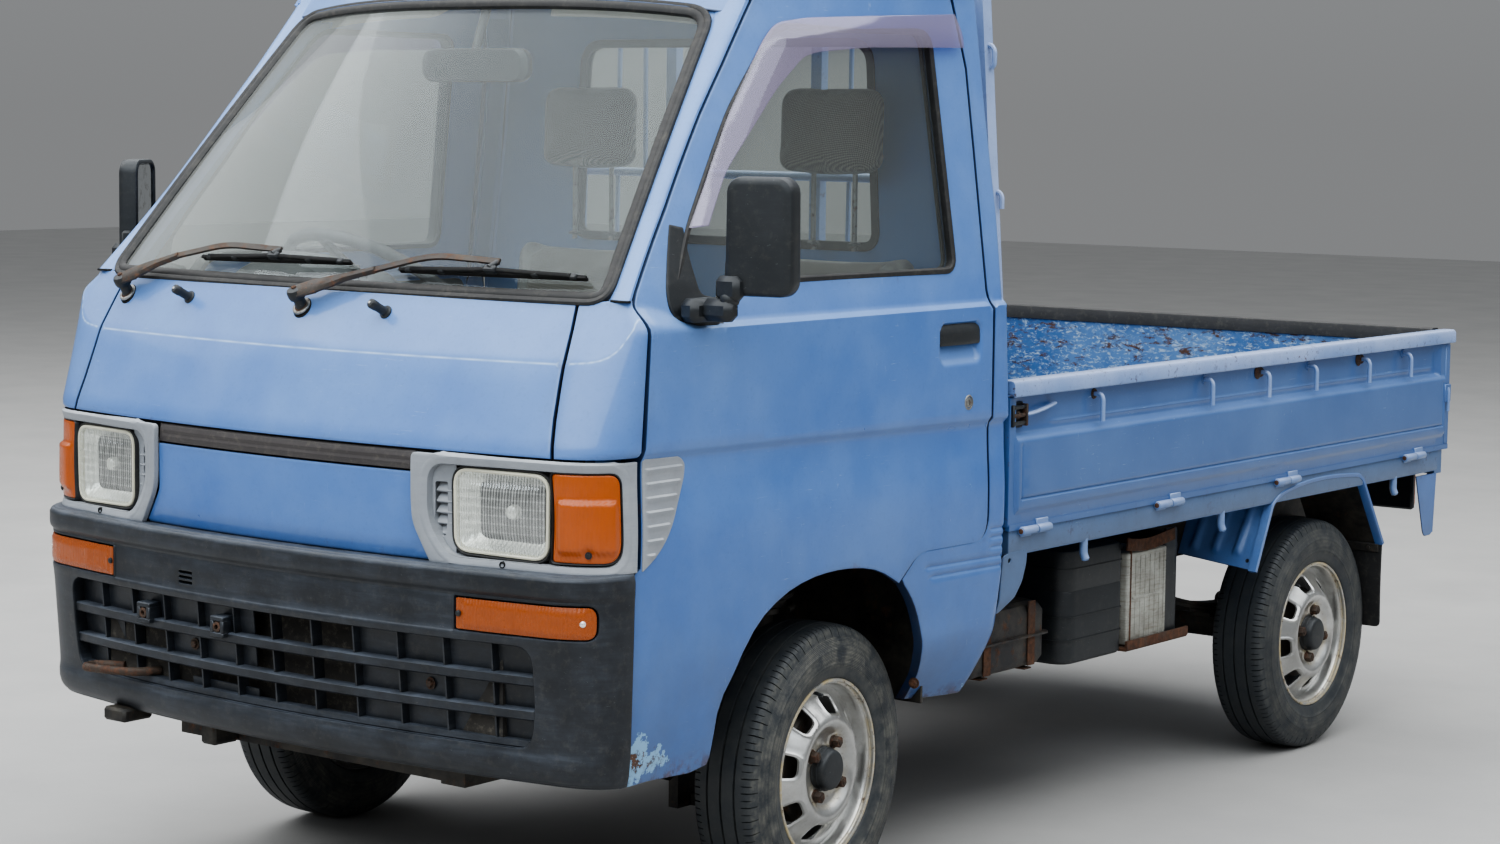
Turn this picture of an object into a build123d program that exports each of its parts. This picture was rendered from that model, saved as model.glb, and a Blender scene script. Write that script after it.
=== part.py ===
from build123d import *
import math
import os

# Light pick-up truck with a cab over the front wheels and a drop-side bed.
# Units are millimetres. Built with y = 0 at the front axle, x to the vehicle's
# left, y to the rear, z up; every piece is moved by Y_SHIFT when written, so that
# the origin is on the ground under the middle of the vehicle.

# ---- driving sizes -------------------------------------------------------
Y_FRONT, Y_REAR = -775.0, 2520.0          # bumper tip, tailgate hinge
Y_SHIFT = -(Y_FRONT + Y_REAR) / 2.0       # -872.5
HALF_W = 697.5                            # half of the body width
H_TOP = 1780.0                            # roof
WHEELBASE = 1900.0
TYRE_R, TYRE_W, RIM_R = 265.0, 145.0, 166.0
TRACK_X = 600.0                           # wheel centre plane
STEER_REST = 5.0                          # degrees to the left, as parked
KING_TOP, KING_LOW = (497.0, 0.0, 640.0), (562.0, 0.0, 180.0)
BELT_Z = 1095.0                           # shoulder ledge under the side window
DOOR_Y0, DOOR_Y1 = -566.0, 452.0          # shut lines of the door
GAP = 6.0                                 # gap round doors and gates
HINGE_DOOR = (676.0, -545.0)              # x, y of the door's hinge pins
HINGE_DOOR_Z = [515.0, 830.0]             # middle heights of the two door hinges
DOOR_TOP_Z = 1684.0
BED_Y0, BED_Y1 = 531.0, 2514.0            # side gates
BED_Z = 660.0                             # top of the load floor
GATE_X0, GATE_X1 = 664.0, 690.0
GATE_Z0, GATE_Z1 = 656.0, 942.0
GATE_PIN = (690.0, 645.0)                 # x, z of the side gate's hinge pins
TAIL_PIN = (2514.0, 645.0)                # y, z of the tailgate's hinge pins
RAIL_X0, RAIL_X1 = 300.0, 356.0           # frame rails

os.makedirs("parts", exist_ok=True)


# ---- small helpers -------------------------------------------------------
def box(x0, x1, y0, y1, z0, z1):
    return Pos((x0 + x1) / 2, (y0 + y1) / 2, (z0 + z1) / 2) * Box(x1 - x0, y1 - y0, z1 - z0)


def cyl(p, q, r):
    """Round bar of radius r from point p to point q."""
    a, b = Vector(*p), Vector(*q)
    d = b - a
    pl = Plane(origin=a, z_dir=d.normalized())
    return pl * (Pos(0, 0, d.length / 2) * Cylinder(r, d.length))


def side_prism(pts, x0, x1):
    """Closed outline of (y, z) points, swept from x0 to x1."""
    w = Polyline(*[(0, y, z) for y, z in pts], close=True)
    return Pos(x0, 0, 0) * extrude(make_face(w), amount=x1 - x0, dir=(1, 0, 0))


def plan_prism(pts, z0, z1):
    """Closed outline of (x, y) points, swept from z0 to z1."""
    w = Polyline(*[(x, y, z0) for x, y in pts], close=True)
    return extrude(make_face(w), amount=z1 - z0, dir=(0, 0, 1))


def front_prism(pts, y0, y1):
    """Closed outline of (x, z) points, swept from y0 to y1."""
    w = Polyline(*[(x, y0, z) for x, z in pts], close=True)
    return extrude(make_face(w), amount=y1 - y0, dir=(0, 1, 0))


def quad_loft(low, high, z0, z1):
    """Straight-sided solid between two plan outlines at two heights."""
    f0 = make_face(Polyline(*[(x, y, z0) for x, y in low], close=True))
    f1 = make_face(Polyline(*[(x, y, z1) for x, y in high], close=True))
    return loft([f0, f1], ruled=True)


def mirrored(shape):
    return mirror(shape, about=Plane.YZ)


def both(shape):
    return [shape, mirrored(shape)]


def fused(first, *rest):
    out = first
    for r in rest:
        out = out + r
    return out


NODES = {}


def node(name, *shapes):
    flat = []
    for s in shapes:
        for t in (s if isinstance(s, (list, tuple)) else [s]):
            flat += list(t.solids())
    NODES[name] = flat


# ---- frame ---------------------------------------------------------------
rail = side_prism([(-640, 300), (470, 300), (640, 430), (2440, 430), (2440, 520), (600, 520),
                   (430, 385), (-640, 385)], RAIL_X0, RAIL_X1)
# everything that stands on or hangs from the rails: x0, x1, y0, y1, z0, z1 (left side)
CROSS_SILLS = [600, 925, 1250, 1575, 1880, 2180, 2400]
LEFT_LUGS = [(356, 400, 950, 1010, 432, 500), (356, 400, 1330, 1380, 432, 500),
             (356, 380, 600, 640, 432, 460), (356, 380, 780, 820, 432, 460)]
RIGHT_LUGS = [(-380, -356, 700, 740, 432, 500), (-380, -356, 1000, 1040, 432, 500)]
risers = [box(RAIL_X0, RAIL_X1, y - 22, y + 22, 520, 598) for y in CROSS_SILLS]
node("frame_rails", fused(rail, *risers, *[box(*b) for b in LEFT_LUGS]),
     fused(mirrored(rail), *[mirrored(r) for r in risers], *[box(*b) for b in RIGHT_LUGS]))

# cross members: y0, y1, z0, z1
CROSS = [(-640, -590, 305, 380), (-150, -90, 290, 340), (700, 760, 440, 510),
         (1240, 1300, 440, 510), (1700, 1750, 470, 518), (2380, 2440, 440, 510)]
node("frame_crossmembers", [box(-RAIL_X0, RAIL_X0, y0, y1, z0, z1) for y0, y1, z0, z1 in CROSS])

# ---- cab floor, wheelhouses, seat platform --------------------------------
FLOOR_Z = 395.0
floor = fused(plan_prism([(-598, -382), (-598, -620), (-520, -690), (520, -690), (598, -620), (598, -382)],
                         FLOOR_Z, FLOOR_Z + 12),
              box(-362, 362, -383, -196, FLOOR_Z, FLOOR_Z + 12),
              box(-495, 495, -698, -686, FLOOR_Z, 698),
              *[box(x - 30, x + 30, -716, -698, 590, 640) for x in (-300, 300)])
node("cab_floor", floor)

WH_IN, WH_F, WH_R, WH_TOP = 366.0, -376.0, 310.0, 642.0
wheelhouse = fused(box(WH_IN, 640, WH_F, WH_R + 6, WH_TOP, WH_TOP + 6),
                   box(WH_IN, WH_IN + 6, WH_F, WH_R + 6, 386, WH_TOP),
                   box(WH_IN + 6, 612, WH_F, WH_F + 6, 340, WH_TOP),
                   box(WH_IN + 6, 640, WH_R, WH_R + 6, 340, WH_TOP))
node("front_wheelhouses", both(wheelhouse))

platform = fused(box(-630, 630, -190, 496, 650, 662),
                 box(-360, 360, -196, -184, FLOOR_Z, 662))
node("seat_platform", platform)

# ---- cab back wall and its window -----------------------------------------
WALL_Y0, WALL_Y1 = 498.0, 512.0
wall = front_prism([(-640, 600), (640, 600), (640, BELT_Z), (600, 1100), (560, 1690), (-560, 1690),
                    (-600, 1100), (-640, BELT_Z)], WALL_Y0, WALL_Y1)
wall = wall - front_prism([(-400, 1190), (400, 1190), (375, 1585), (-375, 1585)], 480, 540)
node("cab_back_wall", wall)
back_glass = front_prism([(-399, 1191), (399, 1191), (374.5, 1584), (-374.5, 1584)], 502, 507)

# ---- side quarter panels behind the doors -----------------------------------
lower_q = side_prism([(457, 1094), (517, 1094), (519, 575), (502, 497), (489, 461), (469, 411),
                      (446, 345), (300, 338), (298, 400), (252, 455), (240, 500), (206, 552),
                      (170, 584), (180, 596), (226, 631), (457, 627)], 655, 696)
under_tuck = side_prism([(280, 300), (560, 300), (560, 440), (280, 470)], 684, 720)
lower_q = lower_q - under_tuck
upper_q = quad_loft([(642, 456), (683, 456), (683, 514), (642, 514)],
                    [(570, 425), (612, 425), (612, 505), (570, 505)], 1094, 1690)
node("cab_quarter_panels", both(fused(lower_q, upper_q)))

# ---- roof ------------------------------------------------------------------
# section outline at a height: half widths at the front and the back, y front, y back
ROOF = [(1690, 520, 612, -205, 514), (1735, 500, 600, -190, 508), (1780, 400, 520, -60, 440)]


def roof_face(z, xf, xb, yf, yb, inset=0.0):
    pts = [(-xb + inset, yb - inset), (xb - inset, yb - inset), (xf - inset, yf + inset),
           (-xf + inset, yf + inset)]
    return make_face(Polyline(*[(x, y, z) for x, y in pts], close=True))


roof = fused(loft([roof_face(*ROOF[0]), roof_face(*ROOF[1])], ruled=True),
             loft([roof_face(*ROOF[1]), roof_face(*ROOF[2])], ruled=True))
hollow = loft([roof_face(1680, 520, 612, -205, 514, 45), roof_face(1750, 480, 560, -150, 480, 30)],
              ruled=True)
header = quad_loft([(-490, -232), (490, -232), (490, -170), (-490, -170)],
                   [(-494, -205), (494, -205), (494, -150), (-494, -150)], 1652, 1690)
node("cab_roof", fused(roof - hollow, header))

# ---- windscreen pillars --------------------------------------------------------
pillar = quad_loft([(630, -574), (644, -571), (636, -548), (602, -552)],
                   [(514, -172), (548, -152), (522, -122), (500, -136)], 1136, 1690)
# lower post with the two hinge arms that carry the door's pins
post_low = fused(box(584, 611, -600, -535, FLOOR_Z + 12, 1030), box(584, 611, -556, -535, 1030, 1136),
                 box(600, 622, -560, -540, 1100, 1136))
for z in HINGE_DOOR_Z:
    eye = cyl((HINGE_DOOR[0], HINGE_DOOR[1], z - 16), (HINGE_DOOR[0], HINGE_DOOR[1], z + 16), 11)
    arm_ = fused(box(605, HINGE_DOOR[0], HINGE_DOOR[1] - 6, HINGE_DOOR[1] + 6, z - 16, z + 16), eye)
    post_low = fused(post_low, arm_ - cyl((HINGE_DOOR[0], HINGE_DOOR[1], z - 20), (HINGE_DOOR[0], HINGE_DOOR[1], z + 20), 6.4))
node("windscreen_pillars", both(fused(pillar, post_low)))

# ---- front skin of the cab -------------------------------------------------------
BOW = 1.5e-4                                 # plan bow of the front: y = y0 + BOW x^2


def front_wire(z, y0, xc, wide, inset, yb):
    """Plan outline at height z: bowed front from -xc to xc, round corners, open back."""
    w = wide - inset
    ya = y0 + inset
    yc = ya + BOW * xc * xc
    ym = ya + 0.0
    front = ThreePointArc((-xc, yc, z), (0, ym, z), (xc, yc, z))
    right = ThreePointArc((xc, yc, z), (xc + 0.72 * (w - xc), yc + 0.34 * (yb - yc), z), (w, yb, z))
    left = ThreePointArc((-w, yb, z), (-xc - 0.72 * (w - xc), yc + 0.34 * (yb - yc), z), (-xc, yc, z))
    back = Line((w, yb, z), (-w, yb, z))
    return make_face(Wire([left, front, right, back]))


# sections of the front skin: z, y at the centre, half width of the bowed part, half width, y of the back edge
SKIN = [(700, -740, 596, 695, -587), (890, -738, 596, 695, -584), (1035, -688, 592, 690, -576),
        (1095, -660, 586, 680, -572), (1136, -636, 580, 652, -570)]
skin = None
for (za, ya, xa, wa, ea), (zb, yb_, xb_, wb, eb) in zip(SKIN[:-1], SKIN[1:]):
    s = loft([front_wire(za, ya, xa, wa, 0, ea), front_wire(zb, yb_, xb_, wb, 0, eb)], ruled=True)
    s = s - loft([front_wire(za, ya, xa - 20, wa, 22, -560), front_wire(zb, yb_, xb_ - 20, wb, 22, -560)], ruled=True)
    skin = s if skin is None else skin + s
lamp_gap = box(330, 760, -900, -560, 699, 882)
skin = skin - lamp_gap - mirrored(lamp_gap)
node("front_panel", skin)

# ---- glass of the cab -------------------------------------------------------------
def arc_strip(z, x1, y_end, y_mid, t):
    a = ThreePointArc((-x1, y_end, z), (0, y_mid, z), (x1, y_end, z))
    b = ThreePointArc((x1, y_end + t, z), (0, y_mid + t, z), (-x1, y_end + t, z))
    return make_face(Wire([a, Line((x1, y_end, z), (x1, y_end + t, z)), b,
                           Line((-x1, y_end + t, z), (-x1, y_end, z))]))


screen = loft([arc_strip(1139, 596, -580, -628, 8), arc_strip(1650, 500, -170, -240, 8)], ruled=True)
node("cab_glass", screen, back_glass)

# ---- lamps ------------------------------------------------------------------------
# a lamp body that follows the bowed front: x0, x1, z0, z1, y front, y back
surround = side_prism([(-752, 700), (-752, 880), (-680, 880), (-680, 700)], 331, 600)
surround = surround - box(408, 600, -800, -712, 716, 862) - box(331, 352, -800, -600, 640, 716)
corner = plan_prism([(600, -705), (652, -672), (686, -620), (688, -593), (660, -593), (600, -640)], 700, 880)
corner = corner - plan_prism([(583, -800), (800, -800), (800, -640), (668, -640), (640, -672), (583, -700)], 716, 866)
headlamp = box(410, 582, -724, -682, 720, 858)
turn = plan_prism([(584, -722), (640, -694), (676, -655), (682, -642), (669, -642), (640, -673), (601, -696),
                   (601, -706), (584, -706)], 720, 862)
node("lamp_surrounds", both(fused(surround, corner) - headlamp - turn))
node("headlamps", both(headlamp))
node("amber_lamps", both(turn), both(box(428, 600, -764, -738, 598, 647)))

# ---- bumper -------------------------------------------------------------------------
def bumper_band(z0, z1, grow, thick):
    xc, yb = 560.0, -609.0
    w = 695.0 + min(grow, 2.0)
    ya = -768.0 - grow
    yc = ya + 1.6e-4 * xc * xc
    wi, yai, xci = w - thick, ya + thick, xc - thick * 0.4
    yci = yai + 1.6e-4 * xci * xci
    out_f = ThreePointArc((-xc, yc, z0), (0, ya, z0), (xc, yc, z0))
    out_r = ThreePointArc((xc, yc, z0), (xc + 0.74 * (w - xc), yc + 0.36 * (yb - yc), z0), (w, yb, z0))
    out_l = ThreePointArc((-w, yb, z0), (-xc - 0.74 * (w - xc), yc + 0.36 * (yb - yc), z0), (-xc, yc, z0))
    in_f = ThreePointArc((xci, yci, z0), (0, yai, z0), (-xci, yci, z0))
    in_r = ThreePointArc((wi, yb, z0), (xci + 0.74 * (wi - xci), yci + 0.36 * (yb - yci), z0), (xci, yci, z0))
    in_l = ThreePointArc((-xci, yci, z0), (-xci - 0.74 * (wi - xci), yci + 0.36 * (yb - yci), z0), (-wi, yb, z0))
    wire = Wire([out_l, out_f, out_r, Line((w, yb, z0), (wi, yb, z0)), in_r, in_f, in_l,
                 Line((-wi, yb, z0), (-w, yb, z0))])
    return extrude(make_face(wire), amount=z1 - z0, dir=(0, 0, 1))


bumper = fused(bumper_band(350, 657, 0, 26), bumper_band(657, 698, 7, 30))
bumper = bumper - box(-560, 560, -900, -650, 403, 575) - box(426, 602, -900, -736, 596, 649) \
    - mirrored(box(426, 602, -900, -736, 596, 649))
bars = [bumper_band(z - 9, z + 9, -6, 18) & box(-565, 565, -900, -650, 300, 700) for z in (460, 520)]
ribs = [box(x - 5, x + 5, -758 + BOW * x * x, -738 + BOW * x * x, 400, 578) for x in range(-448, 449, 112)]
# two tabs that hold the front number plate
PLATE_PITCH, PLATE_HOLE_R = 210.0, 3.5
FRONT_PLATE_X, FRONT_PLATE_Z, FRONT_PLATE_Y = -230.0, 538.0, -768.0
tabs = []
for x in (FRONT_PLATE_X - PLATE_PITCH / 2, FRONT_PLATE_X + PLATE_PITCH / 2):
    tabs.append(box(x - 15, x + 15, FRONT_PLATE_Y, FRONT_PLATE_Y + 6, 505, 553)
                + box(x - 15, x + 15, FRONT_PLATE_Y + 6, -740, 505, 524))
bumper = fused(bumper, *bars, *ribs, *tabs)
for x in (FRONT_PLATE_X - PLATE_PITCH / 2, FRONT_PLATE_X + PLATE_PITCH / 2):
    bumper = bumper - cyl((x, -780, FRONT_PLATE_Z), (x, -755, FRONT_PLATE_Z), PLATE_HOLE_R)
node("bumper", bumper)

# ---- dashboard and steering ------------------------------------------------------------
COL_TOP = Vector(-290, -200, 1106)          # centre of the steering wheel
COL_DIR = Vector(0, -0.574, -0.819)         # down the column
dash = side_prism([(-572, 1060), (-552, 1118), (-440, 1122), (-372, 1086), (-352, 1010), (-372, 880),
                   (-430, 800), (-560, 780), (-590, 800)], -580, 580)
column = cyl(COL_TOP + COL_DIR * 38, COL_TOP + COL_DIR * 780, 21)
dash = dash - cyl(COL_TOP, COL_TOP + COL_DIR * 760, 24)
node("dashboard", dash)
node("steering_column", column)
wheel_pl = Plane(origin=COL_TOP, z_dir=COL_DIR * -1, x_dir=(1, 0, 0))
sw = fused(Torus(182, 13), Pos(0, 0, -8) * Cylinder(36, 40), *[
    Rot(0, 0, a) * (Pos(100, 0, 0) * Box(170, 24, 12)) for a in (0, 180, 270)])
node("steering_wheel", wheel_pl * sw)

# ---- seats: x centre of each seat ---------------------------------------------------------
SEATS = [-300, 322]
node("seat_cushions", [side_prism([(-130, 668), (330, 668), (345, 795), (-90, 815), (-135, 770)],
                                  x - 225, x + 225) for x in SEATS])
node("seat_backs", [side_prism([(352, 800), (470, 760), (484, 1165), (465, 1192), (425, 1192), (402, 1165)],
                               x - 220, x + 220) for x in SEATS])
node("headrests", [fused(side_prism([(392, 1345), (400, 1330), (466, 1330), (474, 1350), (478, 1480),
                                     (462, 1502), (420, 1500), (402, 1480)], x - 120, x + 120),
                         box(x - 55, x - 45, 442, 452, 1192.5, 1332), box(x + 45, x + 55, 442, 452, 1192.5, 1332))
                   for x in SEATS])

# ---- power train, tanks, exhaust -----------------------------------------------------------
node("engine", box(-230, 210, -60, 470, 240, 600))
shaft = fused(box(-120, 120, 472, 690, 290, 424), cyl((0, 680, 340), (0, 1748, 268), 28))
node("gearbox_and_shaft", shaft)
node("rear_axle", fused(cyl((-540, WHEELBASE, TYRE_R), (540, WHEELBASE, TYRE_R), 36),
                        cyl((-60, WHEELBASE, TYRE_R), (60, WHEELBASE, TYRE_R), 106),
                        cyl((-105, WHEELBASE, TYRE_R), (105, WHEELBASE, TYRE_R), 70),
                        cyl((0, WHEELBASE - 150, TYRE_R), (0, WHEELBASE, TYRE_R), 55)))
spring = side_prism([(1500, 380), (1900, 305), (2330, 380), (2330, 392), (1900, 330), (1500, 392)], 420, 470)
hangers = [box(356, 470, 1490, 1530, 392, 470), box(356, 470, 2300, 2340, 392, 470)]
node("leaf_springs", both(fused(spring, *hangers)))
muffler = cyl((-250, 1330, 330), (-250, 1640, 330), 72)
node("exhaust", fused(muffler, cyl((-250, 480, 330), (-250, 1340, 330), 22),
                      cyl((-250, 1630, 330), (-250, 1700, 330), 22)))
node("fuel_tank", box(380, 585, 560, 850, 330, 470), box(-600, -380, 620, 1120, 330, 520))

# battery tray with its battery
tray = fused(box(400, 596, 895, 1130, 322, 560), box(400, 560, 1130, 1390, 322, 334),
             box(400, 560, 1310, 1390, 334, 540))
node("battery_box", tray)
node("battery", box(440, 596, 1136, 1300, 334, 530))

# ---- bed ---------------------------------------------------------------------------------
node("bed_floor", box(-652, 652, 573, 2488, BED_Z - 14, BED_Z))
sills = []
for s in (1, -1):
    a, b = sorted((s * 640, s * 680))
    sills.append(box(a, b, 542, 2452, 598, BED_Z - 14))
sills += [box(-640, 640, y - 22, y + 22, 598, BED_Z - 14) for y in CROSS_SILLS]
sills.append(box(-680, 680, 2452, 2490, 590, BED_Z - 14))
# rear plate holder and towing bar under the rear sill
sills += [box(-180, 180, 2470, 2476, 470, 590), box(-300, 300, 2440, 2470, 440, 500),
          box(-300, -240, 2452, 2470, 500, 590), box(240, 300, 2452, 2470, 500, 590)]
sill_frame = fused(*sills)
REAR_PLATE_Z, TOW_PITCH, TOW_HOLE_R, TOW_Z = 556.0, 200.0, 8.5, 470.0
for x in (-PLATE_PITCH / 2, PLATE_PITCH / 2):
    sill_frame = sill_frame - cyl((x, 2465, REAR_PLATE_Z), (x, 2480, REAR_PLATE_Z), PLATE_HOLE_R)
for x in (-220 - TOW_PITCH / 2 + 100, 220 + TOW_PITCH / 2 - 100):
    sill_frame = sill_frame - cyl((x, 2430, TOW_Z), (x, 2480, TOW_Z), TOW_HOLE_R)
node("bed_sills", sill_frame)

# headboard with its guard frame; posts lean in with the cab
board = fused(box(-652, 652, 532, 548, 646, 950), box(-652, 652, 548, 573, BED_Z - 14, BED_Z))
post = quad_loft([(618, 534), (650, 534), (650, 572), (618, 572)],
                 [(555, 560), (585, 560), (585, 592), (555, 592)], 950, 1700)
post2 = box(604, 650, 548, 572, BED_Z, 960)
top_bar = cyl((-575, 576, 1690), (575, 576, 1690), 15)
mid = [box(x - 12, x + 12, 562, 586, 940, 1690) for x in (-188, 188)]
low_bar = box(-640, 640, 549, 572, 930, 958)
guard = fused(board, low_bar, post, mirrored(post), post2, mirrored(post2), top_bar, *mid)
node("headboard_guard", guard)

# ---- gates ---------------------------------------------------------------------------------
def side_gate():
    panel = box(GATE_X0, GATE_X1, BED_Y0, BED_Y1, GATE_Z0, GATE_Z1 - 30)
    panel = panel - box(GATE_X1 - 10, GATE_X1 + 5, BED_Y0 + 14, 2460, 830, 908)
    rail_ = box(655, 697, BED_Y0, BED_Y1, GATE_Z1 - 34, GATE_Z1)
    return fused(panel, rail_)


left_gate = side_gate()
# hinge leaves on the gate: y centre
HINGE_Y = [625, 1147, 1672, 2316]
knuckles = [cyl((GATE_PIN[0], y - 12, GATE_PIN[1]), (GATE_PIN[0], y + 50, GATE_PIN[1]), 7.5) for y in HINGE_Y]
leaves = [box(684, 690, y - 12, y + 50, 645, 660) for y in HINGE_Y]
gate_left = fused(left_gate, *knuckles, *leaves)
node("gate_left", gate_left)
node("gate_right", mirrored(gate_left))
# fixed halves of the side hinges on the sill
fixed = [fused(cyl((GATE_PIN[0], y - 50, GATE_PIN[1]), (GATE_PIN[0], y - 13, GATE_PIN[1]), 7.5),
               box(680, 686, y - 50, y - 13, 615, 645)) for y in HINGE_Y]

tail = fused(box(-648, 648, 2490, 2514, GATE_Z0, GATE_Z1 - 30), box(-648, 648, 2484, 2520, GATE_Z1 - 34, GATE_Z1))
tail = tail - box(-600, 600, 2504, 2530, 720, 880)
tail = fused(tail, *[cyl((x - 40, TAIL_PIN[0], TAIL_PIN[1]), (x + 40, TAIL_PIN[0], TAIL_PIN[1]), 6) for x in (-420, 420)],
             *[box(x - 40, x + 40, 2508, 2514, 645, 660) for x in (-420, 420)])
node("tailgate", tail)
node("gate_hinges", [s for f in fixed for s in both(f)], [fused(cyl((x + 41 * s, TAIL_PIN[0], TAIL_PIN[1]), (x + 75 * s, TAIL_PIN[0], TAIL_PIN[1]), 6),
                               box(min(x + 41 * s, x + 75 * s), max(x + 41 * s, x + 75 * s), 2490, 2504, 618, 645),
                               box(min(x + 41 * s, x + 75 * s), max(x + 41 * s, x + 75 * s), 2500, 2513, 640, 645))
                         for x in (-420, 420) for s in (-1, 1)])

# ---- rear wings, flaps, lamps ----------------------------------------------------------------
front_plate = side_prism([(1621, 598), (1548, 454), (1541, 454), (1614, 598)], 480, 680)
arch_top = side_prism([(1621, 598), (1660, 598), (2050, 598), (2060, 598), (2170, 450), (2177, 450), (2066, 598)], 660, 680)
rear_stay = side_prism([(2052, 598), (2170, 447), (2177, 447), (2060, 598)], 480, 680)
node("rear_wing_plates", both(front_plate), both(rear_stay), both(box(640, 680, 2352, 2452, 441, 590)))
node("mudflaps", both(box(500, 680, 2170, 2175, 248, 446)))
node("rear_lamps", both(box(440, 620, 2452, 2486, 500, 588)))


# ---- wheels -----------------------------------------------------------------------------------
def ring(profile):
    """Closed (offset from wheel centre plane, radius) outline, turned about the wheel's axis."""
    w = Polyline(*[(a, 0, r) for a, r in profile], close=True)
    return revolve(make_face(w), axis=Axis((0, 0, 0), (1, 0, 0)), revolution_arc=360)


RIM = [(60, 166), (55, 166), (50, 155), (22, 152.5), (14, 138), (-14, 138), (-22, 152.5), (-50, 155),
       (-55, 166), (-60, 166), (-60, 160), (-54, 149), (-26, 147), (-18, 133), (18, 133), (26, 147),
       (54, 149), (60, 160)]
DISC = [(27, 148), (27, 134), (24, 126), (32, 112), (46, 96), (50, 88), (47, 80), (38, 72), (36, 66), (36, 38),
        (51, 38), (51, 0), (-44, 0), (-44, 45), (29, 45), (30, 66), (32, 72), (40, 80), (43, 88), (40, 94), (26, 110), (18, 124),
        (21, 134), (21, 148)]
DRUM = [(-44, 40), (-44, 112), (-4, 112), (-4, 40)]
HOLES = 8


def wheel_steel():
    s = fused(ring(RIM), ring(DISC), ring(DRUM))
    for i in range(HOLES):
        s = s - Rot(360.0 * i / HOLES, 0, 0) * (Pos(30, 0, 115) * Box(40, 34, 22))
    return s


TYRE = [(-62, 153), (-68, 160), (-72.5, 190), (-72.5, 215), (-66, 246), (-58, 258), (-46, TYRE_R), (46, TYRE_R),
        (58, 258), (66, 246), (72.5, 215), (72.5, 190), (68, 160), (62, 153), (62, 168), (53, 168), (48, 157),
        (-48, 157), (-53, 168), (-62, 168)]
TYRE = [(-72.5, 190), (-72.5, 215), (-66, 246), (-58, 258), (-46, TYRE_R), (46, TYRE_R), (58, 258), (66, 246),
        (72.5, 215), (72.5, 190), (64, 167), (53.5, 166.6), (48.5, 156), (21, 154), (-21, 154), (-48.5, 156),
        (-53.5, 166.6), (-64, 167)]

steel_l, tyre_l = wheel_steel(), ring(TYRE)
king = Axis(KING_LOW, (KING_TOP[0] - KING_LOW[0], 0, KING_TOP[2] - KING_LOW[2]))
king_r = Axis((-KING_LOW[0], 0, KING_LOW[2]), (-KING_TOP[0] + KING_LOW[0], 0, KING_TOP[2] - KING_LOW[2]))


def place(shape, left, y):
    s = Pos(TRACK_X, y, TYRE_R) * shape
    return s if left else mirrored(s)


for side, left, ax in (("left", True, king), ("right", False, king_r)):
    node("rim_front_" + side, place(steel_l, left, 0).rotate(ax, STEER_REST))
    node("tyre_front_" + side, place(tyre_l, left, 0).rotate(ax, STEER_REST))
    node("rim_rear_" + side, place(steel_l, left, WHEELBASE))
    node("tyre_rear_" + side, place(tyre_l, left, WHEELBASE))

# ---- front suspension ----------------------------------------------------------------------------
kn = fused(box(512, 550, -45, 45, 200, 330), cyl((497, 0, 290), (497, 0, 546), 21), box(490, 515, -20, 20, 285, 330),
           cyl((540, 0, 188), (540, 0, 202), 16))
# bearing cup at the strut's top, in line with the steering axis
king_at = lambda z: (KING_LOW[0] + (z - KING_LOW[2]) * (KING_TOP[0] - KING_LOW[0]) / (KING_TOP[2] - KING_LOW[2]), 0, z)
kn = fused(kn, cyl(king_at(535), king_at(545), 20))
for side, left, ax in (("left", True, king), ("right", False, king_r)):
    node("knuckle_" + side, (kn if left else mirrored(kn)).rotate(ax, STEER_REST))
spring_top = cyl((497, 0, 552), (497, 0, 642), 46)
arm = fused(box(330, 536, -22, 22, 160, 182), box(330, 352, -60, 60, 160, 300))
rack = fused(cyl((-380, -120, 248), (380, -120, 248), 20), box(-330, -300, -140, -100, 262, 290),
             box(300, 330, -140, -100, 262, 290))
node("front_suspension", both(spring_top), both(arm), rack)

# ---- doors ----------------------------------------------------------------------------------------
# outline of the lower door, y and z: front edge, arch, rear edge
ARCH = [(-368, 345), (-361, 429), (-327, 490), (-275, 560), (-212, 602), (-139, 627), (-64, 638), (3, 637),
        (82, 626), (143, 601), (165, 590)]
low = [(-563, 1095), (-576, 889), (-580, 703), (-593, 695), (-602, 345)] + ARCH + [
    (222, 641), (DOOR_Y1, 639), (DOOR_Y1, 1095)]
low_outer = side_prism(low, 640, 695.5)
# thinner ahead of the wheel, so that it swings clear
low_outer = low_outer - box(600, 662, -700, -330, 300, 645) - box(600, 662, -700, -575, 600, 1095)
# plan corner: the skin turns in at the very front
low_outer = low_outer - plan_prism([(690, -640), (700, -640), (700, -480), (695, -560)], 300, 1100)
frame_up = fused(plan_prism([(650, -558), (683, -520), (683, DOOR_Y1), (650, DOOR_Y1)], 1094, 1130),
                 quad_loft([(650, -556), (681, -500), (681, DOOR_Y1 - 2), (650, DOOR_Y1 - 2)],
                           [(544, -132), (566, -122), (611, 418), (578, 418)], 1130, DOOR_TOP_Z))
window = side_prism([(-410, 1165), (345, 1165), (335, 1600), (-85, 1600)], 500, 720)
frame_up = frame_up - window
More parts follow.
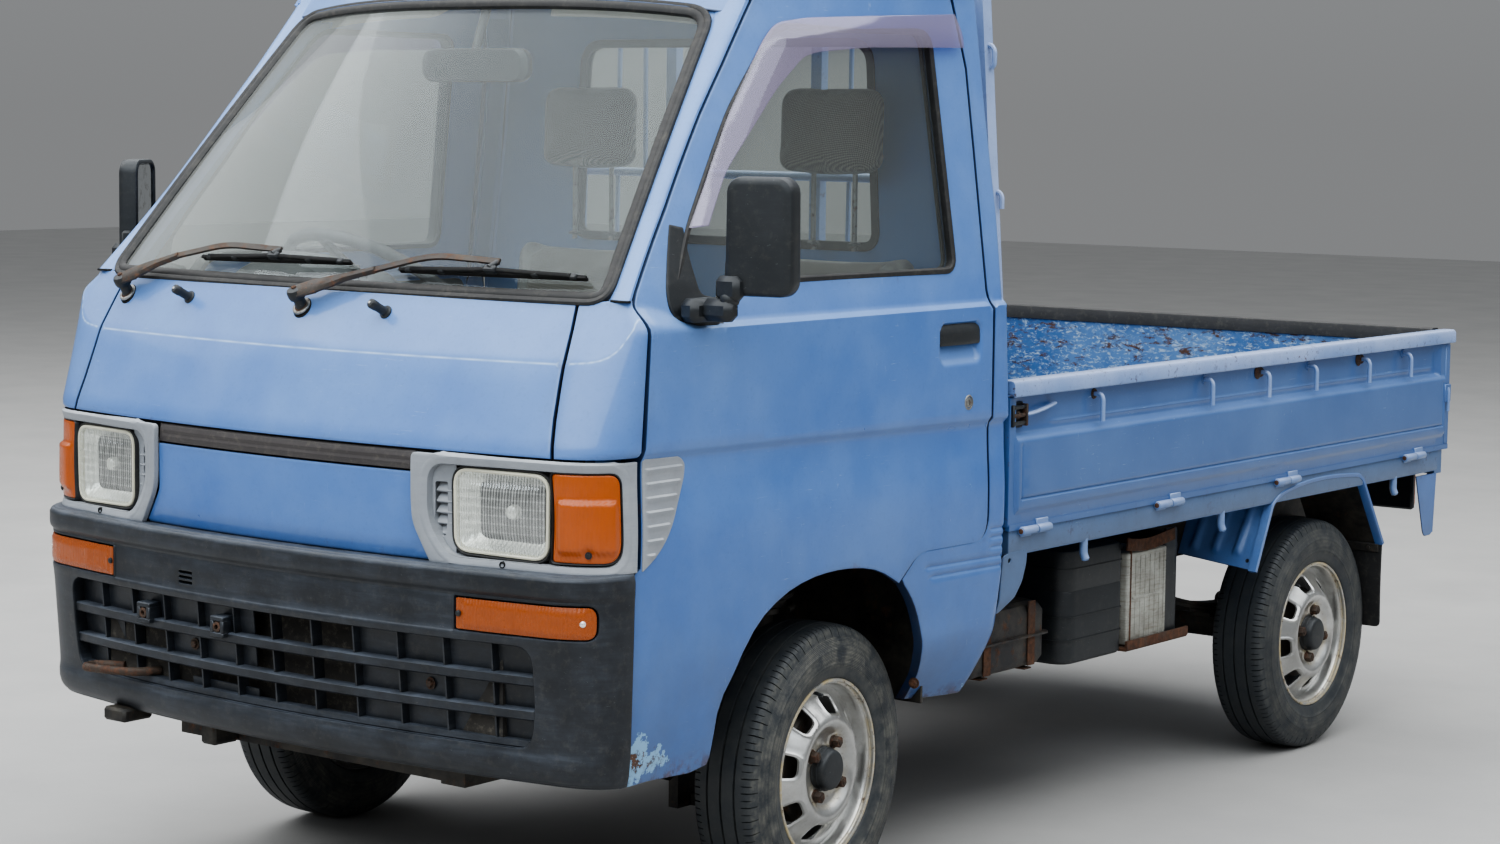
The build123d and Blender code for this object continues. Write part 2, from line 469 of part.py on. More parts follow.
# pockets in the door's front edge, each crossed by a hinge pin
for z in HINGE_DOOR_Z:
    low_outer = low_outer - box(600, 688.5, -640, -526, z - 30, z + 30)
    low_outer = fused(low_outer, cyl((HINGE_DOOR[0], HINGE_DOOR[1], z - 34), (HINGE_DOOR[0], HINGE_DOOR[1], z + 34), 6))
door = fused(low_outer, frame_up)
node("door_left", door)
node("door_right", mirrored(door))
glass = quad_loft([(656, -550), (661, -500), (661, DOOR_Y1), (656, DOOR_Y1)],
                  [(544, -128), (549, -122), (597, 418), (592, 418)], 1094, DOOR_TOP_Z)
glass = glass & side_prism([(-409, 1166), (344, 1166), (334, 1599), (-84.5, 1599)], 500, 720)
node("door_glass_left", glass)
node("door_glass_right", mirrored(glass))

# mirror head turned out for use, on its foot
mirror_foot = fused(box(683.5, 768, -440, -424, 1101, 1144), box(727, 777, -442, -418, 1140, 1180))
mirror_head = fused(Pos(807, -422, 0) * Rot(0, 0, 11.9) * box(-58.25, 58.25, 0, 38, 1150, 1340), mirror_foot)
node("mirror_left", mirror_head)
node("mirror_right", mirrored(mirror_head))

# ---- write -----------------------------------------------------------------------------------------
for name, solids in NODES.items():
    moved = [Pos(0, Y_SHIFT, 0) * s for s in solids]
    shape = moved[0] if len(moved) == 1 else Compound(children=moved)
    export_step(shape, os.path.join("parts", name + ".step"))
print(len(NODES), "nodes")
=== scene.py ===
import bpy
import math
import numpy as np
from mathutils import Vector, Matrix
from mathutils.geometry import delaunay_2d_cdt


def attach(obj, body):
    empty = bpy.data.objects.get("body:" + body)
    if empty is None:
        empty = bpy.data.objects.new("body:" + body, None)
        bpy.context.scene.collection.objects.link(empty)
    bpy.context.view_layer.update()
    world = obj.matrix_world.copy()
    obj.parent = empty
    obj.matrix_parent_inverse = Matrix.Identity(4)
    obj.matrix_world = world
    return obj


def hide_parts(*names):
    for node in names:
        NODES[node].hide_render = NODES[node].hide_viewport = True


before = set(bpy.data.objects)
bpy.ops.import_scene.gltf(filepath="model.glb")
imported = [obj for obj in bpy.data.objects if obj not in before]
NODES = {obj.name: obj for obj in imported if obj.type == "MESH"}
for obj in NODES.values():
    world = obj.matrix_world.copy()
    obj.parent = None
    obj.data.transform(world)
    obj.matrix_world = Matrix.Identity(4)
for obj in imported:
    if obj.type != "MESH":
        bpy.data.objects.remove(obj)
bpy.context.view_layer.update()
RNG = np.random.default_rng(7)

# Lengths in this script are millimetres with y = 0 at the front axle, x to the
# vehicle's left, y to the rear and z up. They become metres in the shared frame here.
YS = -872.5


def metres(P):
    P = np.array(P, float).reshape(-1, 3)
    P[:, 1] += YS
    return P * 0.001


# =============================================================================
# materials
# =============================================================================
def srgb(r, g, b):
    f = lambda c: (c / 255 / 12.92) if c / 255 <= 0.04045 else ((c / 255 + 0.055) / 1.055) ** 2.4
    return (f(r), f(g), f(b), 1.0)


class Mat:
    """A node material and short names for the nodes that it is made of."""

    def __init__(s, name):
        s.m = bpy.data.materials.new(name)
        s.m.use_nodes = True
        s.t = s.m.node_tree
        s.b = s.t.nodes["Principled BSDF"]
        s.co = s.new("ShaderNodeTexCoord").outputs["Object"]
        s.geo = s.new("ShaderNodeNewGeometry")

    def new(s, kind, **kw):
        n = s.t.nodes.new(kind)
        for k, v in kw.items():
            setattr(n, k, v)
        return n

    def put(s, sock, val):
        if isinstance(val, bpy.types.NodeSocket):
            s.t.links.new(val, sock)
        else:
            sock.default_value = val

    def noise(s, scale, detail=4, rough=0.55, vec=None, dist=0.0, stretch=None):
        n = s.new("ShaderNodeTexNoise")
        v = vec or s.co
        if stretch:
            v = s.vscale(v, stretch)
        s.put(n.inputs["Vector"], v)
        n.inputs["Scale"].default_value = scale
        n.inputs["Detail"].default_value = detail
        n.inputs["Roughness"].default_value = rough
        n.inputs["Distortion"].default_value = dist
        return n.outputs["Fac"]

    def voronoi(s, scale, feature="F1", stretch=None):
        n = s.new("ShaderNodeTexVoronoi", feature=feature)
        s.put(n.inputs["Vector"], s.vscale(s.co, stretch) if stretch else s.co)
        n.inputs["Scale"].default_value = scale
        return n.outputs["Distance"]

    def wave(s, scale, axis="X", dist=0.0, profile="SIN", vec=None):
        n = s.new("ShaderNodeTexWave", wave_type="BANDS", bands_direction=axis, wave_profile=profile)
        s.put(n.inputs["Vector"], vec or s.co)
        n.inputs["Scale"].default_value = scale
        n.inputs["Distortion"].default_value = dist
        return n.outputs["Fac"]

    def vscale(s, v, k):
        n = s.new("ShaderNodeVectorMath", operation="MULTIPLY")
        s.put(n.inputs[0], v)
        n.inputs[1].default_value = k
        return n.outputs[0]

    def math(s, op, a, b=0.0, c=None, clamp=False):
        n = s.new("ShaderNodeMath", operation=op, use_clamp=clamp)
        s.put(n.inputs[0], a)
        s.put(n.inputs[1], b)
        if c is not None:
            s.put(n.inputs[2], c)
        return n.outputs[0]

    def ramp(s, fac, *stops):
        """(position, value or colour) stops."""
        n = s.new("ShaderNodeValToRGB")
        s.put(n.inputs[0], fac)
        e = n.color_ramp.elements
        while len(e) < len(stops):
            e.new(0.5)
        for el, (p, c) in zip(e, stops):
            el.position = p
            el.color = c if isinstance(c, tuple) else (c, c, c, 1)
        return n.outputs[0]

    def span(s, val, lo, hi, a=0.0, b=1.0):
        n = s.new("ShaderNodeMapRange", clamp=True)
        s.put(n.inputs["Value"], val)
        n.inputs["From Min"].default_value = lo
        n.inputs["From Max"].default_value = hi
        n.inputs["To Min"].default_value = a
        n.inputs["To Max"].default_value = b
        return n.outputs[0]

    def mix(s, fac, a, b, mode="MIX"):
        n = s.new("ShaderNodeMix", data_type="RGBA", blend_type=mode)
        s.put(n.inputs[0], fac)
        s.put(n.inputs[6], a)
        s.put(n.inputs[7], b)
        return n.outputs[2]

    def xyz(s, v=None):
        n = s.new("ShaderNodeSeparateXYZ")
        s.put(n.inputs[0], v or s.co)
        return n.outputs

    def up(s, lo=0.2, hi=0.95):
        return s.span(s.xyz(s.geo.outputs["Normal"])[2], lo, hi)

    def attr(s, name):
        n = s.new("ShaderNodeAttribute", attribute_name=name)
        return n.outputs["Fac"]

    def spot(s, x, y, z, r, soft=0.5):
        """1 inside a ball round a place given in mm, falling to 0 at r mm."""
        n = s.new("ShaderNodeVectorMath", operation="DISTANCE")
        s.put(n.inputs[0], s.co)
        n.inputs[1].default_value = (x / 1000, (y + YS) / 1000, z / 1000)
        return s.span(n.outputs["Value"], r / 1000 * soft, r / 1000, 1.0, 0.0)

    def bump(s, *pairs):
        """(height, strength, distance in metres) from fine to coarse."""
        prev = None
        for h, st, d in pairs:
            n = s.new("ShaderNodeBump")
            s.put(n.inputs["Height"], h)
            n.inputs["Strength"].default_value = st
            n.inputs["Distance"].default_value = d
            if prev is not None:
                s.put(n.inputs["Normal"], prev)
            prev = n.outputs[0]
        s.put(s.b.inputs["Normal"], prev)

    def done(s, color=None, rough=None, metal=None, **kw):
        if color is not None:
            s.put(s.b.inputs["Base Color"], color)
        if rough is not None:
            s.put(s.b.inputs["Roughness"], rough)
        if metal is not None:
            s.put(s.b.inputs["Metallic"], metal)
        for k, v in kw.items():
            s.put(s.b.inputs[k.replace("_", " ")], v)
        return s.m


RUST_A, RUST_B = srgb(100, 66, 46), srgb(58, 40, 32)


def rust_colour(g):
    return g.mix(g.ramp(g.noise(90, 5, 0.7), (0.35, 0.0), (0.65, 1.0)), RUST_A, RUST_B)


def paint(name, base, faded, fade=0.35, rust=0.5, dirt=0.5, rough=0.3, spots=(), scratch=0.35, low=0.0, edge=0.6, gap_shade=0.0):
    """Weathered enamel: base and faded tones, rust held to edges and to (x, y, z, r, amount) spots; painted light makes
    it lighter higher up, painted shade darker low down and at the panels' rims, and a painted highlight runs along
    marked folds.
    """
    g = Mat(name)
    big = g.noise(1.7, 5, 0.6)
    mid = g.noise(9, 5, 0.6)
    fine = g.noise(140, 3, 0.6)
    upf = g.up(-0.1, 0.9)
    f = g.math("ADD", g.math("MULTIPLY", g.span(big, 0.35, 0.65), 0.50), g.math("MULTIPLY", upf, 0.95))
    f = g.math("ADD", f, g.math("MULTIPLY", g.span(mid, 0.42, 0.62), 0.18))
    z = g.xyz()[2]
    # painted light: the faded tone grows with height, so upper panels read lighter
    f = g.math("ADD", f, g.span(z, 0.5, 1.15, -0.10, 0.16))
    col = g.mix(g.math("MULTIPLY", f, fade * 2, clamp=True), base, faded)
    # painted shade: darker towards the bottom, below about 0.8 m
    col = g.mix(g.math("MULTIPLY", g.span(z, 0.36, 0.80, 1.0, 0.0), 0.42), col, tuple(0.45 * c for c in base[:3]) + (1,))
    col = g.mix(g.math("MULTIPLY", g.span(fine, 0.55, 0.75), 0.12), col, srgb(60, 78, 105))
    # fine pale scratches along and across the surface
    s1 = g.noise(16, 4, 0.7, stretch=(1.0, 1.2, 22.0), dist=0.4)
    s2 = g.noise(12, 4, 0.7, stretch=(14.0, 9.0, 2.0), dist=0.8)
    sc = g.math("MAXIMUM", g.span(s1, 0.66, 0.71), g.span(s2, 0.68, 0.73))
    sc = g.math("MULTIPLY", sc, g.span(g.noise(3.1, 2), 0.45, 0.6))
    col = g.mix(g.math("MULTIPLY", sc, scratch), col, srgb(176, 199, 224))
    # dust film that settles low down and in the seams
    dz = g.span(z, 0.30, 0.75, 1.0, 0.0)
    dn = g.span(g.noise(7, 6, 0.7), 0.35, 0.7)
    edge_a = g.attr("edge")
    dmask = g.math("MULTIPLY", g.math("ADD", g.math("MULTIPLY", dz, 0.5), g.math("MULTIPLY", edge_a, 0.35)), g.math("MULTIPLY", dn, dirt), clamp=True)
    col = g.mix(dmask, col, srgb(74, 78, 82))
    # rust: chips at edges, runs, and the given spots
    chip = g.span(g.noise(46, 6, 0.72), 0.585, 0.63)
    chip2 = g.span(g.noise(170, 4, 0.7), 0.63, 0.67)
    rm = g.math("MULTIPLY", g.math("MULTIPLY", edge_a, edge), g.math("MAXIMUM", chip, chip2))
    rm = g.math("MULTIPLY", rm, g.span(g.noise(4.3, 3), 0.4, 0.6))
    rm = g.math("MULTIPLY", rm, rust)
    if low:
        lz = g.math("MULTIPLY", g.span(z, 0.335, 0.375, 1.0, 0.0), g.span(g.noise(24, 6, 0.7), 0.46, 0.56))
        rm = g.math("MAXIMUM", rm, g.math("MULTIPLY", lz, low))
    flake = None
    for x, y, zz, r, a in spots:
        sp = g.spot(x, y, zz, r, 0.25)
        nn = g.noise(55, 6, 0.75)
        rm = g.math("MAXIMUM", rm, g.math("MULTIPLY", g.span(g.math("ADD", g.math("MULTIPLY", sp, 0.34), nn), 0.80, 0.86), a))
        fl = g.span(g.math("ADD", g.math("MULTIPLY", sp, 0.40), g.noise(30, 5, 0.7)), 0.74, 0.77)
        flake = fl if flake is None else g.math("MAXIMUM", flake, fl)
    if flake is not None:
        col = g.mix(flake, col, srgb(128, 172, 206))
    # painted highlight: a pale line on the points marked along the front panel's fold
    col = g.mix(g.math("MULTIPLY", g.attr("line"), 0.75), col, srgb(196, 222, 246))
    # painted shade: the panels' rolled rims darken to near-black blue, standing in for the shade in the gaps between
    # panels
    col = g.mix(g.math("MULTIPLY", g.span(edge_a, 0.90, 0.985), gap_shade), col, srgb(14, 26, 50))
    col = g.mix(rm, col, rust_colour(g))
    ro = g.math("ADD", g.math("MULTIPLY", f, 0.22), rough)
    ro = g.math("ADD", ro, g.math("MULTIPLY", rm, 0.5))
    ro = g.math("ADD", ro, g.math("MULTIPLY", dmask, 0.35), clamp=True)
    g.bump((g.noise(420, 2, 0.5), 0.05, 0.0006), (g.noise(5, 3, 0.5), 0.25, 0.002), (rm, 0.5, 0.0006))
    return g.done(col, ro, 0.0, Coat_Weight=0.55, Coat_Roughness=0.09, IOR=1.5)


def plastic(name, base, worn, rough=0.5, chalk=0.6, grain=700, dust=0.3, scratch=0.3):
    """Moulded plastic that has gone chalky where the sun reaches it."""
    g = Mat(name)
    n = g.span(g.noise(11, 6, 0.68), 0.35, 0.68)
    f = g.math("MULTIPLY", g.math("ADD", g.math("MULTIPLY", g.up(0.0, 0.9), 0.85), g.math("MULTIPLY", n, 0.35)), chalk, clamp=True)
    streak = g.span(g.noise(22, 5, 0.7, stretch=(0.6, 0.6, 5.0)), 0.42, 0.62)
    f = g.math("MULTIPLY", f, g.math("ADD", g.math("MULTIPLY", streak, 0.6), 0.55), clamp=True)
    col = g.mix(f, base, worn)
    s = g.math("MULTIPLY", g.span(g.noise(34, 5, 0.75, stretch=(3.0, 2.0, 9.0), dist=1.2), 0.66, 0.70), scratch)
    col = g.mix(s, col, srgb(150, 152, 152))
    d = g.math("MULTIPLY", g.span(g.noise(60, 6, 0.75), 0.52, 0.7), dust)
    col = g.mix(d, col, srgb(118, 112, 100))
    g.bump((g.noise(grain, 2, 0.5), 0.22, 0.0005), (g.noise(45, 4, 0.6), 0.12, 0.001))
    return g.done(col, g.math("ADD", g.math("MULTIPLY", f, 0.25), rough, clamp=True), 0.0)


def rusty(name, steel, amount=0.5, rough=0.55, metal=0.6, dust=0.3, scale=26):
    """Bare or thinly painted steel with rust blooms and dust."""
    g = Mat(name)
    n = g.noise(scale, 7, 0.75)
    r = g.span(n, 0.62 - amount * 0.3, 0.70 - amount * 0.25)
    col = g.mix(r, g.mix(g.span(g.noise(7, 4), 0.35, 0.65), steel, tuple(c * 0.7 for c in steel[:3]) + (1,)), rust_colour(g))
    d = g.math("MULTIPLY", g.span(g.noise(15, 6, 0.7), 0.4, 0.7), dust)
    d = g.math("MULTIPLY", d, g.math("ADD", g.math("MULTIPLY", g.up(), 0.6), 0.5), clamp=True)
    col = g.mix(d, col, srgb(120, 112, 98))
    g.bump((g.noise(220, 4, 0.7), 0.35, 0.0006), (r, 0.5, 0.0008))
    return g.done(col, g.math("ADD", g.math("MULTIPLY", r, 0.3), rough, clamp=True), g.math("MULTIPLY", g.math("SUBTRACT", 1.0, r), metal))


BLUE, BLUE_F = srgb(56, 103, 172), srgb(122, 158, 210)
M = {}
M["body"] = paint("body_paint", BLUE, BLUE_F, fade=0.30, rust=0.55, dirt=0.75, rough=0.25, low=0.75, gap_shade=0.85,
                  spots=[(690, -570, 375, 70, 1.0), (690, -520, 372, 55, 0.8), (668, 300, 352, 40, 1.0),
                         (668, 440, 350, 36, 1.0), (690, -596, 350, 40, 1.0), (-690, -560, 372, 60, 1.0), (-668, 300, 352, 40, 1.0)])
M["gate"] = paint("gate_paint", srgb(56, 94, 150), srgb(110, 142, 192), fade=0.26, rust=0.8, dirt=0.35, rough=0.32, scratch=0.5)
M["rail"] = paint("rail_paint", srgb(96, 130, 182), srgb(158, 176, 212), fade=0.55, rust=1.0, dirt=0.3, rough=0.36, scratch=0.6, edge=1.0)
M["sill"] = paint("sill_paint", srgb(70, 102, 146), srgb(112, 136, 172), fade=0.30, rust=0.8, dirt=0.9, rough=0.42, scratch=0.3)
M["cab_in"] = paint("cab_inner_paint", srgb(60, 105, 160), srgb(100, 140, 188), fade=0.2, rust=0.2, dirt=0.4, rough=0.42, scratch=0.2)


def bed_paint():
    g = Mat("bed_inner_paint")
    a = g.noise(5, 5, 0.65)
    col = g.mix(g.span(a, 0.35, 0.65), srgb(54, 94, 144), srgb(92, 128, 170))
    sc = g.noise(20, 6, 0.75, stretch=(3.0, 0.7, 7.0), dist=0.6)
    sm = g.span(sc, 0.525, 0.61)
    col = g.mix(g.math("MULTIPLY", sm, 0.80), col, srgb(176, 192, 204))
    rn = g.noise(17, 8, 0.78, stretch=(1.0, 0.6, 2.5), dist=0.5)
    r = g.span(rn, 0.545, 0.605)
    col = g.mix(r, col, rust_colour(g))
    d = g.math("MULTIPLY", g.span(g.noise(3, 6, 0.7), 0.4, 0.7), g.math("MULTIPLY", g.up(), 0.6))
    col = g.mix(d, col, srgb(120, 112, 100))
    g.bump((g.noise(90, 5, 0.7), 0.3, 0.0008), (r, 0.6, 0.0008), (g.noise(6, 3), 0.4, 0.004))
    return g.done(col, g.math("ADD", g.math("MULTIPLY", r, 0.3), 0.45, clamp=True), 0.0)


M["bed"] = bed_paint()
M["bumper"] = plastic("bumper_plastic", srgb(26, 29, 34), srgb(98, 106, 118), rough=0.40, chalk=0.55, dust=0.12)
M["grey"] = plastic("weathered_grey_plastic", srgb(142, 146, 152), srgb(182, 185, 188), rough=0.52, chalk=0.8, dust=0.18, scratch=0.2)
M["dkgrey"] = plastic("dark_grey_trim", srgb(62, 58, 58), srgb(96, 90, 88), rough=0.45, chalk=0.5)
M["black"] = plastic("black_plastic", srgb(30, 33, 36), srgb(72, 75, 78), rough=0.42, chalk=0.40, dust=0.1, scratch=0.6)
M["void"] = plastic("shadow_black", srgb(14, 14, 15), srgb(26, 26, 27), rough=0.8, chalk=0.2, dust=0.1)
M["vinyl"] = plastic("cab_vinyl", srgb(54, 56, 60), srgb(88, 88, 88), rough=0.55, chalk=0.4, grain=380, dust=0.2, scratch=0.1)
M["headlining"] = plastic("headlining", srgb(196, 194, 184), srgb(214, 210, 198), rough=0.8, chalk=0.3, grain=240, dust=0.2, scratch=0.0)
M["mat"] = plastic("floor_mat", srgb(48, 46, 44), srgb(92, 84, 74), rough=0.85, chalk=0.9, grain=150, dust=0.6, scratch=0.0)
M["rubber"] = plastic("rubber_seal", srgb(30, 30, 31), srgb(88, 86, 84), rough=0.6, chalk=0.45, grain=500, dust=0.2, scratch=0.0)
M["chassis"] = rusty("chassis_paint", srgb(34, 33, 33), amount=0.16, rough=0.6, metal=0.1, dust=0.6)
M["cast"] = rusty("cast_metal", srgb(92, 88, 84), amount=0.3, rough=0.6, metal=0.5, dust=0.55)
M["nut"] = rusty("wheel_nut_steel", srgb(66, 54, 46), amount=0.5, rough=0.55, metal=0.35, dust=0.3, scale=70)
M["rust"] = rusty("rusted_steel", srgb(78, 58, 48), amount=0.85, rough=0.7, metal=0.2, dust=0.25, scale=40)
M["wiper"] = rusty("wiper_arm_steel", srgb(72, 66, 62), amount=0.42, rough=0.5, metal=0.35, dust=0.35, scale=60)
M["zinc"] = rusty("plated_steel", srgb(168, 168, 164), amount=0.28, rough=0.38, metal=0.9, dust=0.2, scale=60)
M["tank"] = rusty("tank_steel", srgb(48, 48, 50), amount=0.25, rough=0.55, metal=0.2, dust=0.6)


def wheel_steel():
    g = Mat("wheel_silver")
    base = g.mix(g.span(g.noise(9, 5), 0.35, 0.65), srgb(176, 176, 174), srgb(206, 206, 204))
    cream = g.math("MULTIPLY", g.attr("stain"), g.span(g.noise(24, 6, 0.7), 0.38, 0.58), clamp=True)
    col = g.mix(cream, base, srgb(186, 170, 132))
    r = g.math("MULTIPLY", g.span(g.noise(60, 7, 0.76), 0.56, 0.62), g.math("ADD", g.math("MULTIPLY", g.attr("stain"), 0.95), 0.12), clamp=True)
    col = g.mix(r, col, rust_colour(g))
    d = g.math("MULTIPLY", g.span(g.noise(13, 6, 0.7), 0.45, 0.7), 0.35)
    col = g.mix(d, col, srgb(120, 114, 104))
    g.bump((g.noise(300, 3, 0.6), 0.12, 0.0005), (r, 0.4, 0.0005))
    m = g.math("SUBTRACT", 0.88, g.math("MULTIPLY", g.math("MAXIMUM", r, cream), 0.8))
    return g.done(col, g.math("ADD", g.math("MULTIPLY", r, 0.35), 0.29), m)


M["wheel"] = wheel_steel()


def tyre_mat():
    """Worn rubber: fine moulded rings round the side wall, dry dust on the shoulder's edges."""
    g = Mat("tyre_rubber")
    a = g.attr("dust")
    rad = g.attr("rad")
    n = g.span(g.noise(30, 6, 0.72), 0.38, 0.66)
    n2 = g.noise(7, 5, 0.7)
    wall = g.math("MULTIPLY", g.span(rad, 186, 190), g.span(rad, 241, 245, 1.0, 0.0))
    ring = g.math("SINE", g.math("MULTIPLY", rad, 2.35))
    ring2 = g.math("SINE", g.math("MULTIPLY", rad, 0.71))
    rr = g.math("MULTIPLY", g.span(g.math("ADD", ring, g.math("MULTIPLY", ring2, 0.6)), -0.9, 1.3), wall)
    f = g.math("MULTIPLY", g.math("ADD", a, 0.10), n, clamp=True)
    f = g.math("MULTIPLY", f, g.math("ADD", g.math("MULTIPLY", rr, 0.75), 0.38), clamp=True)
    shoulder = g.math("MULTIPLY", g.span(rad, 243, 250), g.span(rad, 256, 262, 1.0, 0.0))
    f = g.math("MAXIMUM", f, g.math("MULTIPLY", g.math("MULTIPLY", shoulder, a), g.span(g.noise(50, 5, 0.7), 0.4, 0.62)))
    col = g.mix(f, srgb(41, 46, 51), srgb(114, 112, 104))
    col = g.mix(g.math("MULTIPLY", g.span(n2, 0.45, 0.7), 0.25), col, srgb(58, 57, 55))
    g.bump((g.noise(260, 4, 0.7), 0.2, 0.0005), (g.math("MULTIPLY", ring, wall), 0.55, 0.0006), (g.noise(60, 4, 0.6), 0.12, 0.001))
    return g.done(col, g.math("ADD", g.math("MULTIPLY", f, 0.25), 0.52), 0.0)


M["tyre"] = tyre_mat()


def glass(name, tint, rough=0.0, haze=0.05, film=(0.60, 0.61, 0.58, 1), gloss=0.85, glare_veil=0.0, mirror=0.05):
    """Clear sheet glass under an even film of dust, a little thicker in soft patches and specks; veil adds a painted
    reflection, a milky glare that grows towards -x.
    """
    g = Mat(name)
    n = g.span(g.noise(2.0, 4, 0.55), 0.3, 0.7, 0.8, 1.25)
    n2 = g.math("MULTIPLY", g.span(g.noise(130, 4, 0.7), 0.62, 0.7), 0.3)
    d = g.math("MULTIPLY", g.math("ADD", n, n2), haze, clamp=True)
    # painted reflection: a milky glare over the screen, strongest towards -x
    if glare_veil:
        x, y, z = g.xyz()
        v = g.math("MULTIPLY", g.span(x, -0.62, 0.05, 1.0, 0.06), g.span(g.noise(1.6, 3, 0.5), 0.3, 0.7, 0.7, 1.1))
        d = g.math("MULTIPLY_ADD", v, glare_veil, d, clamp=True)
    out = g.t.nodes["Material Output"]
    g.t.nodes.remove(g.b)
    tr = g.new("ShaderNodeBsdfTransparent")
    tr.inputs[0].default_value = tint
    gl = g.new("ShaderNodeBsdfGlossy")
    gl.inputs["Roughness"].default_value = 0.02 + rough
    gl.inputs["Color"].default_value = (0.92 * gloss, 0.96 * gloss, gloss, 1)
    lw = g.new("ShaderNodeLayerWeight")
    lw.inputs[0].default_value = 0.5
    fr = g.math("MULTIPLY_ADD", g.math("POWER", lw.outputs["Facing"], 5.0), 0.85, mirror)
    m1 = g.new("ShaderNodeMixShader")
    g.put(m1.inputs[0], fr)
    g.put(m1.inputs[1], tr.outputs[0])
    g.put(m1.inputs[2], gl.outputs[0])
    df = g.new("ShaderNodeBsdfDiffuse")
    df.inputs[0].default_value = film
    m2 = g.new("ShaderNodeMixShader")
    g.put(m2.inputs[0], d)
    g.put(m2.inputs[1], m1.outputs[0])
    g.put(m2.inputs[2], df.outputs[0])
    g.put(out.inputs[0], m2.outputs[0])
    return g.m


def lens(name, tint, rough=0.12, ribs=None, trans=0.9, depth=0.0006, spec=0.5):
    """Moulded lamp lens: tinted, ribbed, a little dusty."""
    g = Mat(name)
    n = g.span(g.noise(30, 6, 0.7), 0.45, 0.72)
    col = g.mix(g.math("MULTIPLY", n, 0.22), tint, tuple(0.55 * c for c in tint[:3]) + (1,))
    if ribs:
        g.bump((g.wave(ribs[0], ribs[1]), 0.8, depth), (g.noise(120, 3), 0.1, 0.0004))
    else:
        g.bump((g.noise(160, 3), 0.12, 0.0004), (g.noise(20, 3), 0.1, 0.001))
    g.b.inputs["IOR"].default_value = 1.49
    g.b.inputs["Transmission Weight"].default_value = trans
    return g.done(col, g.math("ADD", g.math("MULTIPLY", n, 0.15), rough), 0.0)


M["glass"] = glass("cab_glass_clear", (0.95, 0.975, 0.965, 1), haze=0.018, glare_veil=0.21, mirror=0.028)
M["side_glass"] = glass("side_glass_clear", (0.93, 0.95, 0.94, 1), haze=0.045)
M["visor"] = glass("visor_purple_acrylic", (0.74, 0.67, 0.84, 1), haze=0.17, rough=0.05, film=(0.55, 0.50, 0.60, 1), gloss=0.95, mirror=0.10)
M["amber"] = lens("amber_lens", srgb(206, 104, 44), ribs=(52.0, "X"), trans=0.35, rough=0.14, depth=0.0004)
M["amber_old"] = lens("amber_lens_dull", srgb(176, 88, 36), ribs=(52.0, "X"), trans=0.25, rough=0.26, depth=0.0004)
M["red"] = lens("red_lens", srgb(150, 14, 12), ribs=(60.0, "X"), trans=0.3, rough=0.15)
M["clearlens"] = lens("clear_lens", srgb(238, 239, 235), ribs=(60.0, "X"), trans=0.36, rough=0.12)


def chrome():
    g = Mat("reflector_chrome")
    n = g.span(g.noise(40, 5, 0.7), 0.4, 0.7)
    g.bump((g.wave(34, "X"), 0.55, 0.0015), (g.wave(21, "Z"), 0.3, 0.001), (g.noise(60, 3), 0.15, 0.001))
    return g.done(g.mix(n, srgb(252, 252, 250), srgb(240, 240, 234)), g.math("ADD", g.math("MULTIPLY", n, 0.10), 0.16), 0.55)


M["chrome"] = chrome()


def mirror_glass():
    g = Mat("mirror_glass")
    n = g.span(g.noise(50, 5, 0.7), 0.5, 0.75)
    g.bump((g.noise(120, 2), 0.02, 0.0003))
    return g.done(g.mix(n, srgb(210, 214, 216), srgb(150, 150, 146)), g.math("MULTIPLY", n, 0.3), 1.0)


M["mirror"] = mirror_glass()


def cloth():
    """Grey-brown seat weave of small diagonal cells."""
    g = Mat("seat_weave")
    x, y, z = g.xyz()
    u = g.math("ADD", g.math("MULTIPLY", x, 1.0), g.math("MULTIPLY", y, 0.35))
    v = g.math("ADD", g.math("MULTIPLY", z, 1.0), g.math("MULTIPLY", y, 1.0))
    a = g.math("SINE", g.math("MULTIPLY", g.math("ADD", u, v), 640.0))
    b = g.math("SINE", g.math("MULTIPLY", g.math("SUBTRACT", u, v), 900.0))
    w = g.math("MULTIPLY", g.math("ADD", g.math("MULTIPLY", a, b), 1.0), 0.5)
    col = g.mix(g.span(w, 0.35, 0.7), srgb(70, 66, 62), srgb(138, 132, 122))
    col = g.mix(g.math("MULTIPLY", g.span(g.noise(9, 6, 0.7), 0.4, 0.7), 0.4), col, srgb(104, 92, 78))
    fuzz = g.noise(900, 3, 0.6)
    g.bump((fuzz, 0.35, 0.0006), (w, 0.7, 0.0011), (g.noise(18, 4), 0.4, 0.004))
    return g.done(col, 0.92, 0.0, Sheen_Weight=0.35, Sheen_Roughness=0.5)


M["cloth"] = cloth()


def vinyl_seat():
    g = Mat("seat_vinyl")
    n = g.noise(12, 6, 0.7)
    col = g.mix(g.span(n, 0.35, 0.7), srgb(92, 92, 92), srgb(150, 148, 142))
    g.bump((g.voronoi(420), 0.4, 0.0007), (g.noise(25, 5, 0.6), 0.3, 0.003))
    return g.done(col, 0.5, 0.0)


M["seat_vinyl"] = vinyl_seat()


